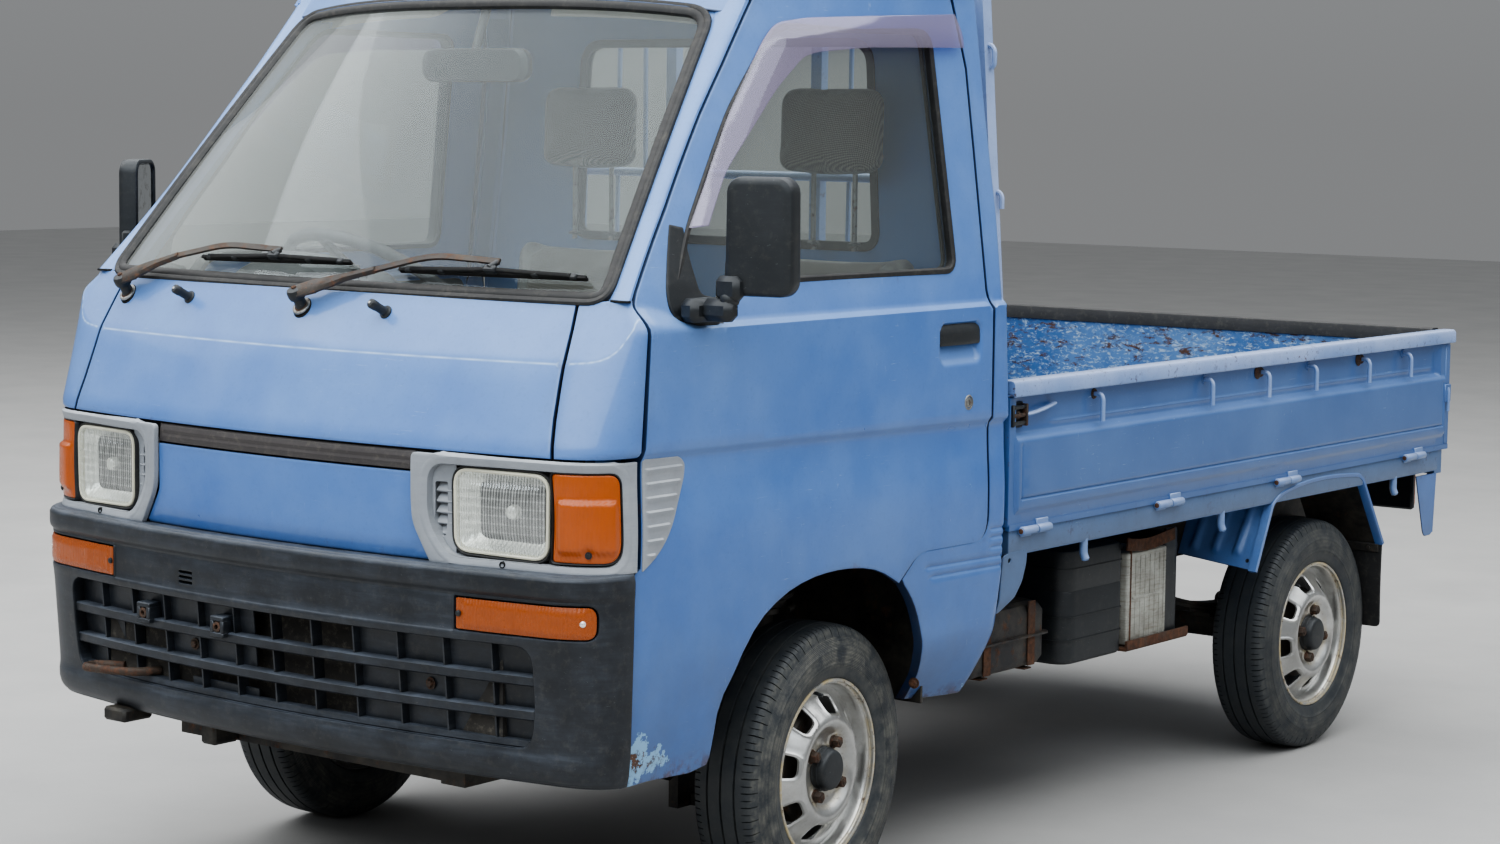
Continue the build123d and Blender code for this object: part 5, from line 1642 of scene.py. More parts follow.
lamp = MB()
lamp.add(sheet(SUR, sur_surf, holes=[HOLE],
               pts=np.concatenate([inset(HOLE_R, -d) for d in (4, 8, 12, 14.5, 16.5, 19)]), t=lambda s, z: 5 + 5 * (1 - smooth(s, 400, 520)), grid=13, roll=2.4))
# wall round the opening
for a_, b_ in ((1, -9.0), (0, -32.0)):
    up_h = 0.5 + 4.5 * (1 - smooth(HOLE_R[:, 0], 400, 520)) if a_ else np.full(len(HOLE_R), -9.0)
    r0, r1 = front(HOLE_R[:, 0], HOLE_R[:, 1], up_h), front(HOLE_R[:, 0], HOLE_R[:, 1], b_)
    V, F = quads(np.stack([r0, r1], 1), close_u=True)
    lamp.add((V, [f[::-1] for f in F]))
# dished floor left of the lamp with its five louvres
DISH = np.array([(400, 711.5)] + [tuple(p) for p in HOLE_R if p[0] < 400] + [(400, 863.5)])
cen_ = np.array([392, 788])
DISH = DISH[np.argsort(np.arctan2(DISH[:, 1] - cen_[1], DISH[:, 0] - cen_[0]))]
LOU = bend([(357, 742, 0), (378, 742, 0), (378, 832, 0), (357, 832, 0)], 3, 3, closed=True)[:, :2]


def dish_surf(s, z):
    P = np.stack([np.ravel(s), np.ravel(z)], -1)
    d = seg_dist(P, HOLE_R).reshape(np.shape(s))
    base = front(s, z)
    n = front(s, z, 1.0) - base
    return base + n * (-6.5 - 6 * smooth(d, 0, 26))[..., None]


lamp.add(sheet(DISH, dish_surf, holes=[LOU], t=2, grid=8, roll=0.8))
for i_ in range(5):
    z_ = 745 + i_ * 18
    a, b = front(np.array([356.0, 388.0]), np.array([z_, z_]), -11.0), front(np.array([356.0, 388.0]), np.array([z_ + 14.0, z_ + 14.0]), -23.0)
    V = np.array([a[0], a[1], b[1], b[0]])
    lamp.add((np.concatenate([V, V + [0, 2.5, -2.5]]), [(0, 1, 2, 3), (7, 6, 5, 4), (0, 4, 5, 1), (1, 5, 6, 2), (2, 6, 7, 3), (3, 7, 4, 0)]))
# near-black back of the lamp box and its bar: painted shade standing in for the box's depth
lamp.add(sheet(inset(HOLE, -1), off_surf(-34.0), t=2, grid=30, roll=0), 1)
lamp.add(tube(front(np.array([404.0, 404.0]), np.array([722.0, 856.0]), -26.0), 3.5, 8), 1)
# surround screw and its hole
q = front(np.array([500.0]), np.array([705.0]), 4.0)[0]
lamp.add(lathe([(-5, 0.5), (-5, 5.5), (0.6, 5.5), (1.0, 4.2), (-2, 3.6), (-2, 0.5)], q, (0.1, -1, 0), 16, closed=True), 1)
lamp.both().obj("lamp_surround_mouldings", ["grey", "void"], "chassis", "lamp_surrounds", "grey_plastic")

HL = bend([(a, b, 0) for a, b in [(399, 720), (582, 715.5), (584, 857), (397.5, 859)]], [30, 30, 30, 30], 8, closed=True)[:, :2]
HL_R = resample(HL, 6)
hl = MB()
ring = front(HL_R[:, 0], HL_R[:, 1], -4.5)
hl.add(strip(ring, [(-6.8, -16), (-6.8, -4), (-5.4, 0.5), (-2.6, 2.2), (0, 1.4), (1.5, -3), (1.5, -16)], closed=True, up=(0.12, -1, 0)), 1)
LENS_L = inset(HL, 4.6)
fl_lines = []
for s_ in np.arange(420, 578, 4.0):
    fl_lines.append([(s_, 728), (s_, 850)])
for z_ in (752, 774, 790, 812, 834):
    fl_lines.append([(416, z_), (578, z_)])


def lens_surf(s, z):
    u, v = (s - 497) / 82, (z - 789) / 64
    base = front(s, z)
    n = front(s, z, 1.0) - base
    amp = 0.40 * (1 - smooth(z, 786, 792) * (1 - smooth(z, 810, 814))) + 0.15
    fl_ = amp * np.cos((s - 420) / 8.0 * 2 * math.pi)
    st = 0.8 * (smooth(z, 751, 753) - smooth(z, 833, 835))
    return base + n * (-2.6 + 6.5 * (1 - u * u) * (1 - v * v) + fl_ + st)[..., None]


hl.add(sheet(LENS_L, lens_surf, lines=fl_lines, t=3.0, grid=10, roll=0.0, back=False), 0)
# reflector bowl and shade
rows = []
for k_, dep in [(1.0, 4), (0.93, 12), (0.82, 24), (0.66, 36), (0.46, 45), (0.24, 50), (0.08, 52)]:
    C = np.array([497, 789])
    Q = C + (inset(HL_R, 5) - C) * k_
    rows.append(front(Q[:, 0], Q[:, 1], -dep - 5))
G = np.array(rows)
V, F = quads(G, close_v=True)
hl.add((V, [f[::-1] for f in F] + [tuple((len(rows) - 1) * G.shape[1] + j for j in range(G.shape[1]))[::-1]]), 2)
c0 = front(np.array([497.0]), np.array([789.0]), -34.0)[0]
hl.add(lathe([(-14, 4), (-14, 10), (6, 13), (14, 11), (17, 6), (18, 0.5)], c0, (0.12, -1, 0), 20), 2)
# black gasket
hl.add(strip(ring, [(1.4, -14), (1.4, -1), (4.5, 0.6), (6.0, -2), (6.0, -14)], closed=True, up=(0.12, -1, 0)), 3)
hl.both().obj("headlamp_units", ["headglass", "lamprim", "chrome", "rubber"], "chassis", "headlamps", "lamp_clear")

AM = bend([(a, b, 0) for a, b in [(592, 717), (711, 717), (711, 861), (590, 861), (596, 790)]], [6, 32, 22, 6, 60], 8, closed=True)[:, :2]


def am_surf(s, z):
    base = front(s, z)
    n = front(s, z, 1.0) - base
    bx = np.minimum(smooth(s, 598, 610), 1 - smooth(s, 694, 708))
    bz = np.minimum(smooth(z, 726, 740), 1 - smooth(z, 813, 821))
    notch_ = np.exp(-(((s - 651) / 11) ** 2 + ((z - 731) / 11) ** 2) ** 2)
    return base + n * (0.5 + 7.5 * bx * bz * (1 - notch_) - 2 * smooth(s, 604, 592))[..., None]


am = MB()
am.add(sheet(AM, am_surf, lines=[[(s_, 724), (s_, 852)] for s_ in (598, 602, 606, 610, 694, 698, 702, 706)] + [[(598, z_), (706, z_)] for z_ in (726, 731, 736, 740, 813, 816, 818.5, 821)],
             t=5, grid=8, roll=2.5))
# inner cells seen through the lens and the gasket round it
am.add(sheet(inset(AM, 2), off_surf(-12.0), t=2, grid=30, roll=0), 2)
am.add(strip(front(resample(AM, 8)[:, 0], resample(AM, 8)[:, 1], -1.0), [(0.2, -10), (0.2, -1), (2.4, 1.2), (3.4, -1), (3.4, -10)], closed=True, up=(0.5, -1, 0)), 1)
qs = front(np.array([651.0]), np.array([731.0]), 2.0)[0]
am.add(bolt(qs, (0.45, -1, 0), 4.0, 3.0), 1)

# ---- bumper -----------------------------------------------------------------------------
BZ = [340, 346, 352, 362, 375, 388, 400, 412, 500, 575, 586, 597, 648, 653, 656, 659, 664, 670, 690, 696, 700]
BY = [-721, -730, -739, -747, -751.5, -751.5, -748.5, -748.5, -757, -764, -767, -767.5, -767.5, -766, -765.5, -768, -773, -774.6, -774.6, -771.5, -764]


def bum(s, z, off=0.0):
    s, z = np.asarray(s, float), np.asarray(z, float)
    y0 = np.interp(z, BZ, BY)
    w = np.interp(z, [340, 352, 400, 575, 655, 664, 690, 700], [684, 690, 693.5, 694.5, 694.5, 695.3, 695.3, 691])
    X, Y = plan(s, y0 - off, w + off * 0.8, np.interp(z, [345, 695], [-606.0, -597.0]))
    # the middle insert between the marker lamps lies a little deeper
    ins = smooth(z, 590, 594) * (1 - smooth(z, 652, 656)) * (1 - smooth(np.abs(s), 420, 423))
    Y = Y + 2.6 * ins
    return np.stack([X, Y, z + 0 * X], -1)


GR = bend([(-566, 404, 0), (560, 404, 0), (572, 470, 0), (572, 577, 0), (-572, 577, 0), (-572, 470, 0)],
          [44, 44, 20, 34, 34, 20], 8, closed=True)[:, :2]
MK = [bend([(sg * 424, 593, 0), (sg * 682, 593, 0), (sg * 682, 651, 0), (sg * 424, 651, 0)], [3, 22, 22, 3], 6, closed=True)[:, :2] for sg in (1, -1)]
SL = [bend([(-229, z_, 0), (-192, z_, 0), (-192, z_ + 4.5, 0), (-229, z_ + 4.5, 0)], 1.5, 2, closed=True)[:, :2] for z_ in (605, 614, 623)]
bmp = MB()
bl_ = [[(x, z) for x in np.linspace(-746, 746, 60)] for z in (350, 354, 362, 369, 375, 388, 394, 400, 406, 412, 580, 586, 590, 592, 594, 649, 651, 653, 656, 659, 661, 664, 667, 670, 688, 690, 693, 696)]
bmp.add(sheet([(-746, 346), (746, 346), (746, 698.5), (-746, 698.5)], bum, holes=[GR] + MK + SL, lines=bl_, t=4, grid=17, roll=1.8,
              pts=[(x, z) for x in (-422, -420.5, 420.5, 422) for z in range(598, 650, 6)]))
# top shelf
sh = np.linspace(-745, 745, 90)
rows = []
for dz, o, k_ in ((-2.0, -0.6, 1), (0.5, -2.5, 1), (1.4, -6, 1), (1.0, -14, 1), (0.2, -34, 1)):
    q = bum(sh, np.full_like(sh, 698.5), o)
    q[:, 2] = 698.5 + dz
    rows.append(q)
rows.append(rows[-1] - [0, 0, 6])
V, F = quads(np.array(rows))
bmp.add((V, F))
# lower return
rows = []
for dz, o in ((1.5, -0.3), (-1.5, -3), (-2.0, -9), (0, -26), (4, -26.1)):
    q = bum(sh, np.full_like(sh, 348.0), o)
    q[:, 2] = 346.0 + dz
    rows.append(q)
V, F = quads(np.array(rows))
bmp.add((V, [f[::-1] for f in F]))
# rear ends that close against the cab
for sg in (1, -1):
    zz_ = np.linspace(346, 698, 24)
    a = bum(np.full(24, sg * 745.5), zz_, -0.4)
    b = a.copy()
    b[:, 0] -= sg * 30
    V, F = quads(np.stack([a, b], 1))
    bmp.add((V, F if sg > 0 else [f[::-1] for f in F]))
# recess walls of the grille and of the marker lamps
for L, dep in [(GR, -34.0)] + [(m_, -12.0) for m_ in MK] + [(m_, -10.0) for m_ in SL]:
    Q = resample(L if area(L) > 0 else L[::-1], 14)
    V, F = quads(np.stack([bum(Q[:, 0], Q[:, 1], -0.6), bum(Q[:, 0], Q[:, 1], dep)], 1), close_u=True)
    bmp.add((V, [f[::-1] for f in F]))
# near-black backs behind the marker-lamp recesses and the slots: painted shade for their depth
for m_ in MK:
    bmp.add(sheet(inset(m_ if area(m_) > 0 else m_[::-1], -1), lambda s, z: bum(s, z, -11.0), t=2, grid=40, roll=0), 1)
bmp.add(sheet([(-240, 598), (-182, 598), (-182, 632), (-240, 632)], lambda s, z: bum(s, z, -9.0), t=2, grid=30, roll=0), 1)
# slats with a rounded nose
xs_ = np.linspace(-572, 572, 60)
for z_ in (461, 519):
    bmp.add(strip(bum(xs_, np.full_like(xs_, float(z_)), -5.0), [(-9, -24), (-9, -3), (-6.5, 0), (6.5, 0), (9, -3), (9, -24)], up=(0, -1, 0)))
bmp.add(strip(bum(xs_, np.full_like(xs_, 411.0), -9.0), [(-5, -22), (-5, -2), (5, 0), (5, -22)], up=(0, -1, 0)))
# ribs; each cell's edge stands a little behind the slats
for k_ in range(-5, 6):
    x_ = k_ * 97.0
    for z0, z1 in ((406, 452), (470, 510), (528, 575)):
        a = bum(np.array([x_, x_]), np.array([z0, z1], float), -12.0)
        th = 1.8
        V = np.array([a[0] - [th, 0, 0], a[0] + [th, 0, 0], a[1] + [th, 0, 0], a[1] - [th, 0, 0],
                      a[0] + [-th - 1.5, 22, 0], a[0] + [th + 1.5, 22, 0], a[1] + [th + 1.5, 22, 0], a[1] + [-th - 1.5, 22, 0]])
        bmp.add((V, [(0, 1, 2, 3), (0, 4, 5, 1), (1, 5, 6, 2), (2, 6, 7, 3), (3, 7, 4, 0), (7, 6, 5, 4)]))
# blank panels behind the outer cells
def blank(x0, x1, z0, z1, m=0):
    bmp.add(sheet([(x0, z0), (x1, z0), (x1, z1), (x0, z1)], lambda s, z: bum(s, z, -27.0), t=3, grid=40, roll=0.5), m)


blank(196, 585, 400, 585)
blank(-585, -60, 512, 585)
blank(-300, -60, 462, 514)
blank(-585, -440, 400, 514)
blank(-240, -60, 400, 430)
# plate bolts and tabs
for x_, z_ in ((-224, 491), (346, 490)):
    q = bum(np.array([float(x_)]), np.array([float(z_)]), -25.0)[0]
    bmp.add(bolt(q, (0, -1, 0), 7, 6), 2)
for x_ in (-335, -125):
    y_ = float(bum(np.array([float(x_)]), np.array([538.0]))[0][1])
    bmp.add(cbox(x_ - 17, x_ + 17, y_ - 6, y_ + 24, 519, 528.5, 2))
    bmp.add(cbox(x_ - 17, x_ + 17, y_ - 6, y_ + 24, 547.5, 557, 2))
    bmp.add(cbox(x_ - 17, x_ - 8, y_ - 6, y_ + 24, 526, 550, 2))
    bmp.add(cbox(x_ + 8, x_ + 17, y_ - 6, y_ + 24, 526, 550, 2))
    bmp.add(lathe([(-4, 4.5), (-4, 9.5), (3, 9.5), (3.5, 8), (3.5, 4.5)], (x_, y_ - 2.5, 538), (0, -1, 0), 20, closed=True), 2)
# radiator core behind the grille
bmp.add(cbox(-330, 260, -682, -676, 396, 590, 2), 1)
for x_ in np.arange(-320, 250, 7.0):
    bmp.add(cbox(x_, x_ + 2.2, -689, -681, 402, 586, 0.5), 3)
for z_ in range(412, 586, 17):
    bmp.add(cbox(-325, 255, -688, -680, z_, z_ + 2.4, 0.5), 3)
bmp.add(cbox(-560, 560, -640, -634, 380, 600, 2), 1)
# tow hook and lower brackets
bmp.add(tube(bend([(-344, -700, 425), (-360, -742, 425), (-420, -758, 424), (-496, -752, 420), (-500, -720, 420), (-440, -700, 422)], 24), 8, 12), 2)
bmp.add(cbox(-470, -410, -730, -660, 322, 347, 5), 4)
bmp.add(cbox(-240, -201, -700, -640, 304, 350, 5), 4)
bmp.obj("front_bumper_and_grille", ["bumper", "void", "nut", "black", "chassis"], "chassis", "bumper", "black_plastic", angle=40)

# marker lamps in the bumper
mk = MB()
for sg in (1, -1):
    L = bend([(sg * 427, 595.5, 0), (sg * 679, 595.5, 0), (sg * 679, 648.5, 0), (sg * 427, 648.5, 0)], [4, 19, 19, 4], 6, closed=True)[:, :2]
    if area(L) < 0:
        L = L[::-1]

    def mk_surf(s, z):
        a = np.abs(s)
        step_ = 2.0 * (smooth(a, 440, 443)) * (1 - smooth(a, 662, 669)) * smooth(z, 599, 603) * (1 - smooth(z, 641, 645))
        rib = 0.5 * np.cos((a - 440) / 6.0 * 2 * math.pi) * (1 - smooth(a, 505, 520)) * smooth(a, 443, 450)
        b = bum(s, z)
        n = bum(s, z, 1.0) - b
        return b + n * (-1.0 + step_ + rib)[..., None]
    mk.add(sheet(L, mk_surf, lines=[[(sg * (440 + 3 * i), 603), (sg * (440 + 3 * i), 641)] for i in range(25)] + [[(sg * 440, z_), (sg * 668, z_)] for z_ in (599, 603, 641, 645)]
                 + [[(sg * x, 598), (sg * x, 646)] for x in (436, 600, 632, 662, 669)], t=5, grid=8, roll=2.0))
    for x_, z_, m_ in ((433, 622, 1), (656, 622, 2)):
        q = bum(np.array([float(sg * x_)]), np.array([float(z_)]), 0.8)[0]
        d_ = bum(np.array([float(sg * x_)]), np.array([float(z_)]), 5.8)[0] - q
        mk.add(lathe([(-1.5, 0.5), (-1.5, 5.4), (1.0, 5.0), (2.0, 3.4), (2.2, 0.5)], q, d_, 16, closed=True), m_)
mk.m = [3 if m_ == 0 else m_ for m_ in mk.m]
am_all = MB().merge(am.both()).merge(mk)
am_all.obj("amber_lamp_lenses", ["amber", "black", "chrome", "amber_old"], "chassis", "amber_lamps", "amber")

# ---- wipers and washer jets ------------------------------------------------------------
wip = MB()
def wip_pt(x, b, off):
    return wscreen(np.array([x / (606 - 103 * b)]), np.array([b]), off)[0]


wnv = np.array([0, -0.79, 0.61])
SPIN = np.array([0, -0.5, 0.87])


def flat_bar(path, wid, thick):
    """Pressed arm: a shallow channel section whose half width changes along the path."""
    T_, U_, W_ = frames(path)
    rows = []
    for p_, w_, t_ in zip(path, wid, T_):
        sd = np.cross(t_, wnv)
        sd /= np.linalg.norm(sd)
        up_ = np.cross(sd, t_)
        rows.append([p_ - sd * w_, p_ - sd * w_ + up_ * thick * 0.5, p_ - sd * w_ * 0.6 + up_ * thick, p_ + sd * w_ * 0.6 + up_ * thick,
                     p_ + sd * w_ + up_ * thick * 0.5, p_ + sd * w_])
    V, F = quads(np.array(rows), close_v=True)
    n6 = len(rows)
    return V, [f[::-1] for f in F] + [tuple(range(6)), tuple((n6 - 1) * 6 + j for j in range(6))[::-1]]


def on_screen(c_, w_, h_, d0, d1, b_=2):
    """Small block that lies square to the windscreen."""
    return place(cbox(-w_, w_, -h_, h_, d0, d1, b_), [[1, 0, 0, c_[0]], [0, 0.61, -0.79, c_[1]], [0, 0.79, 0.61, c_[2]], [0, 0, 0, 1]])


for seat, knuckle, wide, elbow, end, b0_, b1_ in (
        ((-20.9, -653.1, 1100), (-21, -671, 1131), (138, -632, 1170), (245, -601, 1199), (384, -587, 1193), (171.1, 0.0558), (557.8, 0.0592)),
        ((-524.8, -612.3, 1099.1), (-525, -630, 1131), (-385, -611, 1174), (-271, -599, 1199), (-122, -606, 1195), (-339.7, 0.059), (52.3, 0.0712))):
    P0, K_, A1, A2, A3 = (np.array(p_, float) for p_ in (seat, knuckle, wide, elbow, end))
    n0 = np.array([-0.1 if P0[0] < -300 else 0.0, -0.86, 0.5])
    n0 /= np.linalg.norm(n0)
    wip.add(lathe([(-8, 2), (-8, 19), (-1, 20.5), (2.0, 19), (2.0, 2)], P0, n0, 32, closed=True), 2)
    wip.add(lathe([(1.5, 12.6), (1.5, 18.0), (3.6, 17.6), (4.6, 16), (4.6, 12.6)], P0 + SPIN * 1.5, n0 * 0.7 + SPIN * 0.3, 32, closed=True), 5)
    wip.add(lathe([(1, 2), (1, 13.6), (3.6, 13.0), (4.8, 11), (4.6, 2)], P0 + SPIN * 1.5, n0 * 0.7 + SPIN * 0.3, 32, closed=True), 1)
    wip.add(lathe([(2, 1), (2, 11), (12, 10.6), (24, 10.2), (26, 9), (26, 1)], P0, SPIN, 24, closed=True), 3)
    # knuckle: a cap over the spindle with the arm's hinge ears
    wip.add(lathe([(-15, 1), (-15, 14.5), (-10, 16), (-1, 16), (3, 14), (5, 8), (5.4, 1)], K_, SPIN, 28, closed=True), 3)
    wip.add(lathe([(5.2, 1), (5.2, 5.0), (8, 4.4), (8.4, 1)], K_, SPIN, 6, closed=True), 1)
    A0 = K_ + SPIN * -4.0 + (A1 - K_) / np.linalg.norm(A1 - K_) * 6
    H_ = A0 + (A1 - A0) * 0.22
    wip.add(tube([H_ - np.cross((A1 - A0) / np.linalg.norm(A1 - A0), wnv) * 12.5, H_ + np.cross((A1 - A0) / np.linalg.norm(A1 - A0), wnv) * 12.5], 3.2, 10), 1)
    path = bend([A0, H_, A0 + (A1 - A0) * 0.55 + wnv * 2, A1], 14, 4)
    u = np.linspace(0, 1, len(path))
    wip.add(flat_bar(path, np.interp(u, [0, 0.15, 0.3, 0.6, 1], [14, 15.5, 15, 11.5, 6.0]), 8.5), 0)
    path = bend([A1 - (A1 - A0) * 0.12 + wnv * 2, A1 + wnv * 1.5, A2, A3], 40, 8)
    wip.add(strip(path, [(-5.4, -1), (-5.4, 4.2), (5.4, 4.2), (5.4, -1)], up=wnv), 0)
    # blade: rubber, its backing and the low bow above it
    bx = np.linspace(b0_[0], b1_[0], 28)
    bb = np.interp(bx, [b0_[0], b1_[0]], [b0_[1], b1_[1]])
    blade = np.array([wip_pt(x, b, 5.0) for x, b in zip(bx, bb)])
    wip.add(strip(blade, [(-2.6, -4), (-1.0, 3), (-3.0, 3.4), (-3.0, 6.2), (3.0, 6.2), (3.0, 3.4), (1.0, 3), (2.6, -4)][::-1], up=wnv), 2)
    mid_x = A3[0] - 8
    rise = lambda x: np.interp(x, [b0_[0] + 20, mid_x - 60, mid_x, mid_x + 60, b1_[0] - 20], [11.5, 16.5, 21.0, 16.5, 11.5])
    arch_ = np.array([wip_pt(x, b, rise(x)) for x, b in zip(bx[2:-2], bb[2:-2])])
    wip.add(strip(arch_, [(-3.6, -2.2), (-3.6, 2.2), (-2.2, 3.2), (2.2, 3.2), (3.6, 2.2), (3.6, -2.2)], up=wnv), 2)
    for t_ in (0.06, 0.25, 0.75, 0.94):
        x = b0_[0] + (b1_[0] - b0_[0]) * t_
        wip.add(on_screen(wip_pt(x, np.interp(x, bx, bb), 11.0), 7, 5.5, -4, float(rise(x)) - 8.5), 3)
    c_ = wip_pt(mid_x, np.interp(mid_x, bx, bb), 12.0)
    wip.add(on_screen(c_, 13, 6.0, 0, 15, 2.5), 3)
    V = np.array([c_ + wnv * 14, A3 - (A3 - A2) / np.linalg.norm(A3 - A2) * 4])
    wip.add(tube([V[0], V[1]], 5.0, 10), 3)
for s0, z0 in ((-331.2, 1103.1), (176.9, 1101.7)):
    q = front(np.array([s0]), np.array([z0]), 1.0)[0]
    d_ = np.array([-0.2, -0.85, 0.48])
    d_ /= np.linalg.norm(d_)
    wip.add(lathe([(-3, 1), (-3, 11.8), (1.0, 12.2), (3.4, 10.4), (3.4, 1)], q, (-0.05, -0.88, 0.47), 24, closed=True), 3)
    wip.add(lathe([(2, 1), (2, 8.8), (8, 8.0), (20, 8.0), (25, 8.8), (33, 8.8), (36, 7.2), (37, 1)], q, d_, 16, closed=True), 3)
    wip.add(lathe([(35, 0.5), (35, 2.6), (38.5, 2.2), (38.5, 0.5)], q, d_, 12, closed=True), 4)
wip.obj("wipers_and_washer_jets", ["wiper", "rust", "void", "black", "chrome", "zinc"], "chassis", slot="black_plastic")


# =============================================================================
# wheels and tyres
# =============================================================================
def ease(r, pts, k=5.0):
    """Smoothed polyline a(r)."""
    P = np.array(sorted(pts))
    rr = np.arange(P[0, 0] - 20, P[-1, 0] + 20, 0.5)
    aa = np.interp(rr, P[:, 0], P[:, 1])
    w = np.exp(-0.5 * (np.arange(-12, 12.5, 0.5) / (k * 0.5)) ** 2)
    aa = np.convolve(np.pad(aa, 24, mode="edge"), w / w.sum(), mode="same")[24:-24]
    return np.interp(r, rr, aa)


DISC = [(36, 30), (40, 35), (60, 35.5), (66, 37.5), (75, 46), (84, 52.5), (92, 53), (99, 48), (106, 41), (118, 30), (130, 20), (140, 14), (147, 12.5), (153, 12)]
WINS = []
for k_ in range(8):
    a0 = (k_ + 0.5) * math.pi / 4
    L = []
    for r_, h_ in ((101.5, 18.0), (131, 22.5)):
        for sgn in (-1, 1):
            L.append((r_, sgn * h_))
    L = [L[0], L[2], L[3], L[1]]
    L = [(r_ * math.cos(a0) - h_ * math.sin(a0), r_ * math.sin(a0) + h_ * math.cos(a0), 0) for r_, h_ in L]
    WINS.append(bend(L, 8.5, 5, closed=True)[:, :2])
CIRC = lambda r_, n_: [(r_ * math.cos(t_), r_ * math.sin(t_)) for t_ in np.linspace(0, 2 * math.pi, n_, endpoint=False)]
BOLTS = [(55 * math.cos(t_), 55 * math.sin(t_)) for t_ in (math.pi / 4 + np.arange(4) * math.pi / 2)]


def disc_surf(x, y):
    r_ = np.hypot(x, y)
    a = ease(r_, DISC, 2.6)
    P = np.stack([np.ravel(x), np.ravel(y)], -1)
    d = np.min([seg_dist(P, w_) for w_ in WINS], axis=0).reshape(np.shape(x))
    a = a + 2.2 * np.exp(-((d - 4.2) / 2.4) ** 2)
    for bx_, by_ in BOLTS:
        q_ = np.hypot(x - bx_, y - by_)
        a = a + 3.2 * (1 - smooth(q_, 13, 18))
    return np.stack([x, y, a], -1)


def seat_rings(L, ds):
    return [p for d in ds for p in inset(L, -d)]


ptsd = []
for r_ in (64, 68, 72, 76, 80, 84, 88, 92, 96, 98.5, 112, 120, 137, 141, 146):
    ptsd += CIRC(r_, int(r_ * 0.9))
for w_ in WINS:
    ptsd += seat_rings(resample(w_, 6), (2.2, 4.2, 6.4, 9))
for bx_, by_ in BOLTS:
    for q_ in (9, 12.5, 14.5, 16.5, 19):
        ptsd += [(bx_ + u, by_ + v) for u, v in CIRC(q_, 18)]
disc = sheet(CIRC(152.5, 120), disc_surf, holes=[CIRC(36, 40)] + WINS, pts=ptsd, t=3.6, grid=12, roll=0.9, tdir=(0, 0, -1), step=6)
dr_ = np.hypot(disc[0][:, 0], disc[0][:, 1])
db_ = np.min([np.hypot(disc[0][:, 0] - bx_, disc[0][:, 1] - by_) for bx_, by_ in BOLTS], axis=0)
DISC_STAIN = np.clip(1.0 * np.exp(-(db_ / 17) ** 2) + 0.6 * np.exp(-((dr_ - 44) / 9) ** 2) + 0.35 * smooth(dr_, 62, 68) * (1 - smooth(dr_, 70, 76)), 0, 1)
RIM_P = [(53, 164.5), (56, 166.3), (59.5, 166.6), (62.2, 165.2), (63.2, 162.6), (62.2, 160.2), (59.6, 159.4), (57.0, 159.8), (54.8, 161.2), (53.4, 160.0), (52.4, 156.8), (49, 154.4), (40, 152.9),
         (22, 151.6), (19, 149.8), (15, 139.5), (12, 137.2), (-12, 137.2), (-15, 139.5), (-20, 150.5), (-49, 153.4), (-54, 160), (-59, 160),
         (-62, 163), (-59, 166.5), (-55, 166.2), (-51.5, 157), (-22, 153.5), (-16, 142), (-12, 140), (12, 140), (16, 142), (21, 154), (49, 157)]
TYRE_P = [(55, 164.5), (61.5, 167), (64.5, 172), (66.6, 179), (68.6, 185), (70.6, 191), (71.6, 193.2), (71.2, 194.6), (72.1, 199), (72.5, 205), (72.4, 212), (71.6, 219), (71.9, 220.4), (70.9, 222), (69.6, 228),
          (67.5, 236), (64.8, 242), (62.8, 248), (60.3, 254), (57.2, 258.5), (53, 261.2), (48, 262.8), (42, 263.6), (36, 264.2), (30.2, 264.5), (29.4, 259), (26.6, 259), (25.8, 264.7), (15, 264.9),
          (2.2, 265), (1.5, 259.5), (-1.5, 259.5)]
TYRE_P = TYRE_P + [(-a, r_) for a, r_ in TYRE_P[::-1][1:]][1:]
inner_t = [(-50, 168), (-64, 202), (-50, 245), (50, 245), (64, 202), (50, 168)]
NL = 64
# the tyre and rim sit this far inboard of the disc's own datum
INB = 14.0


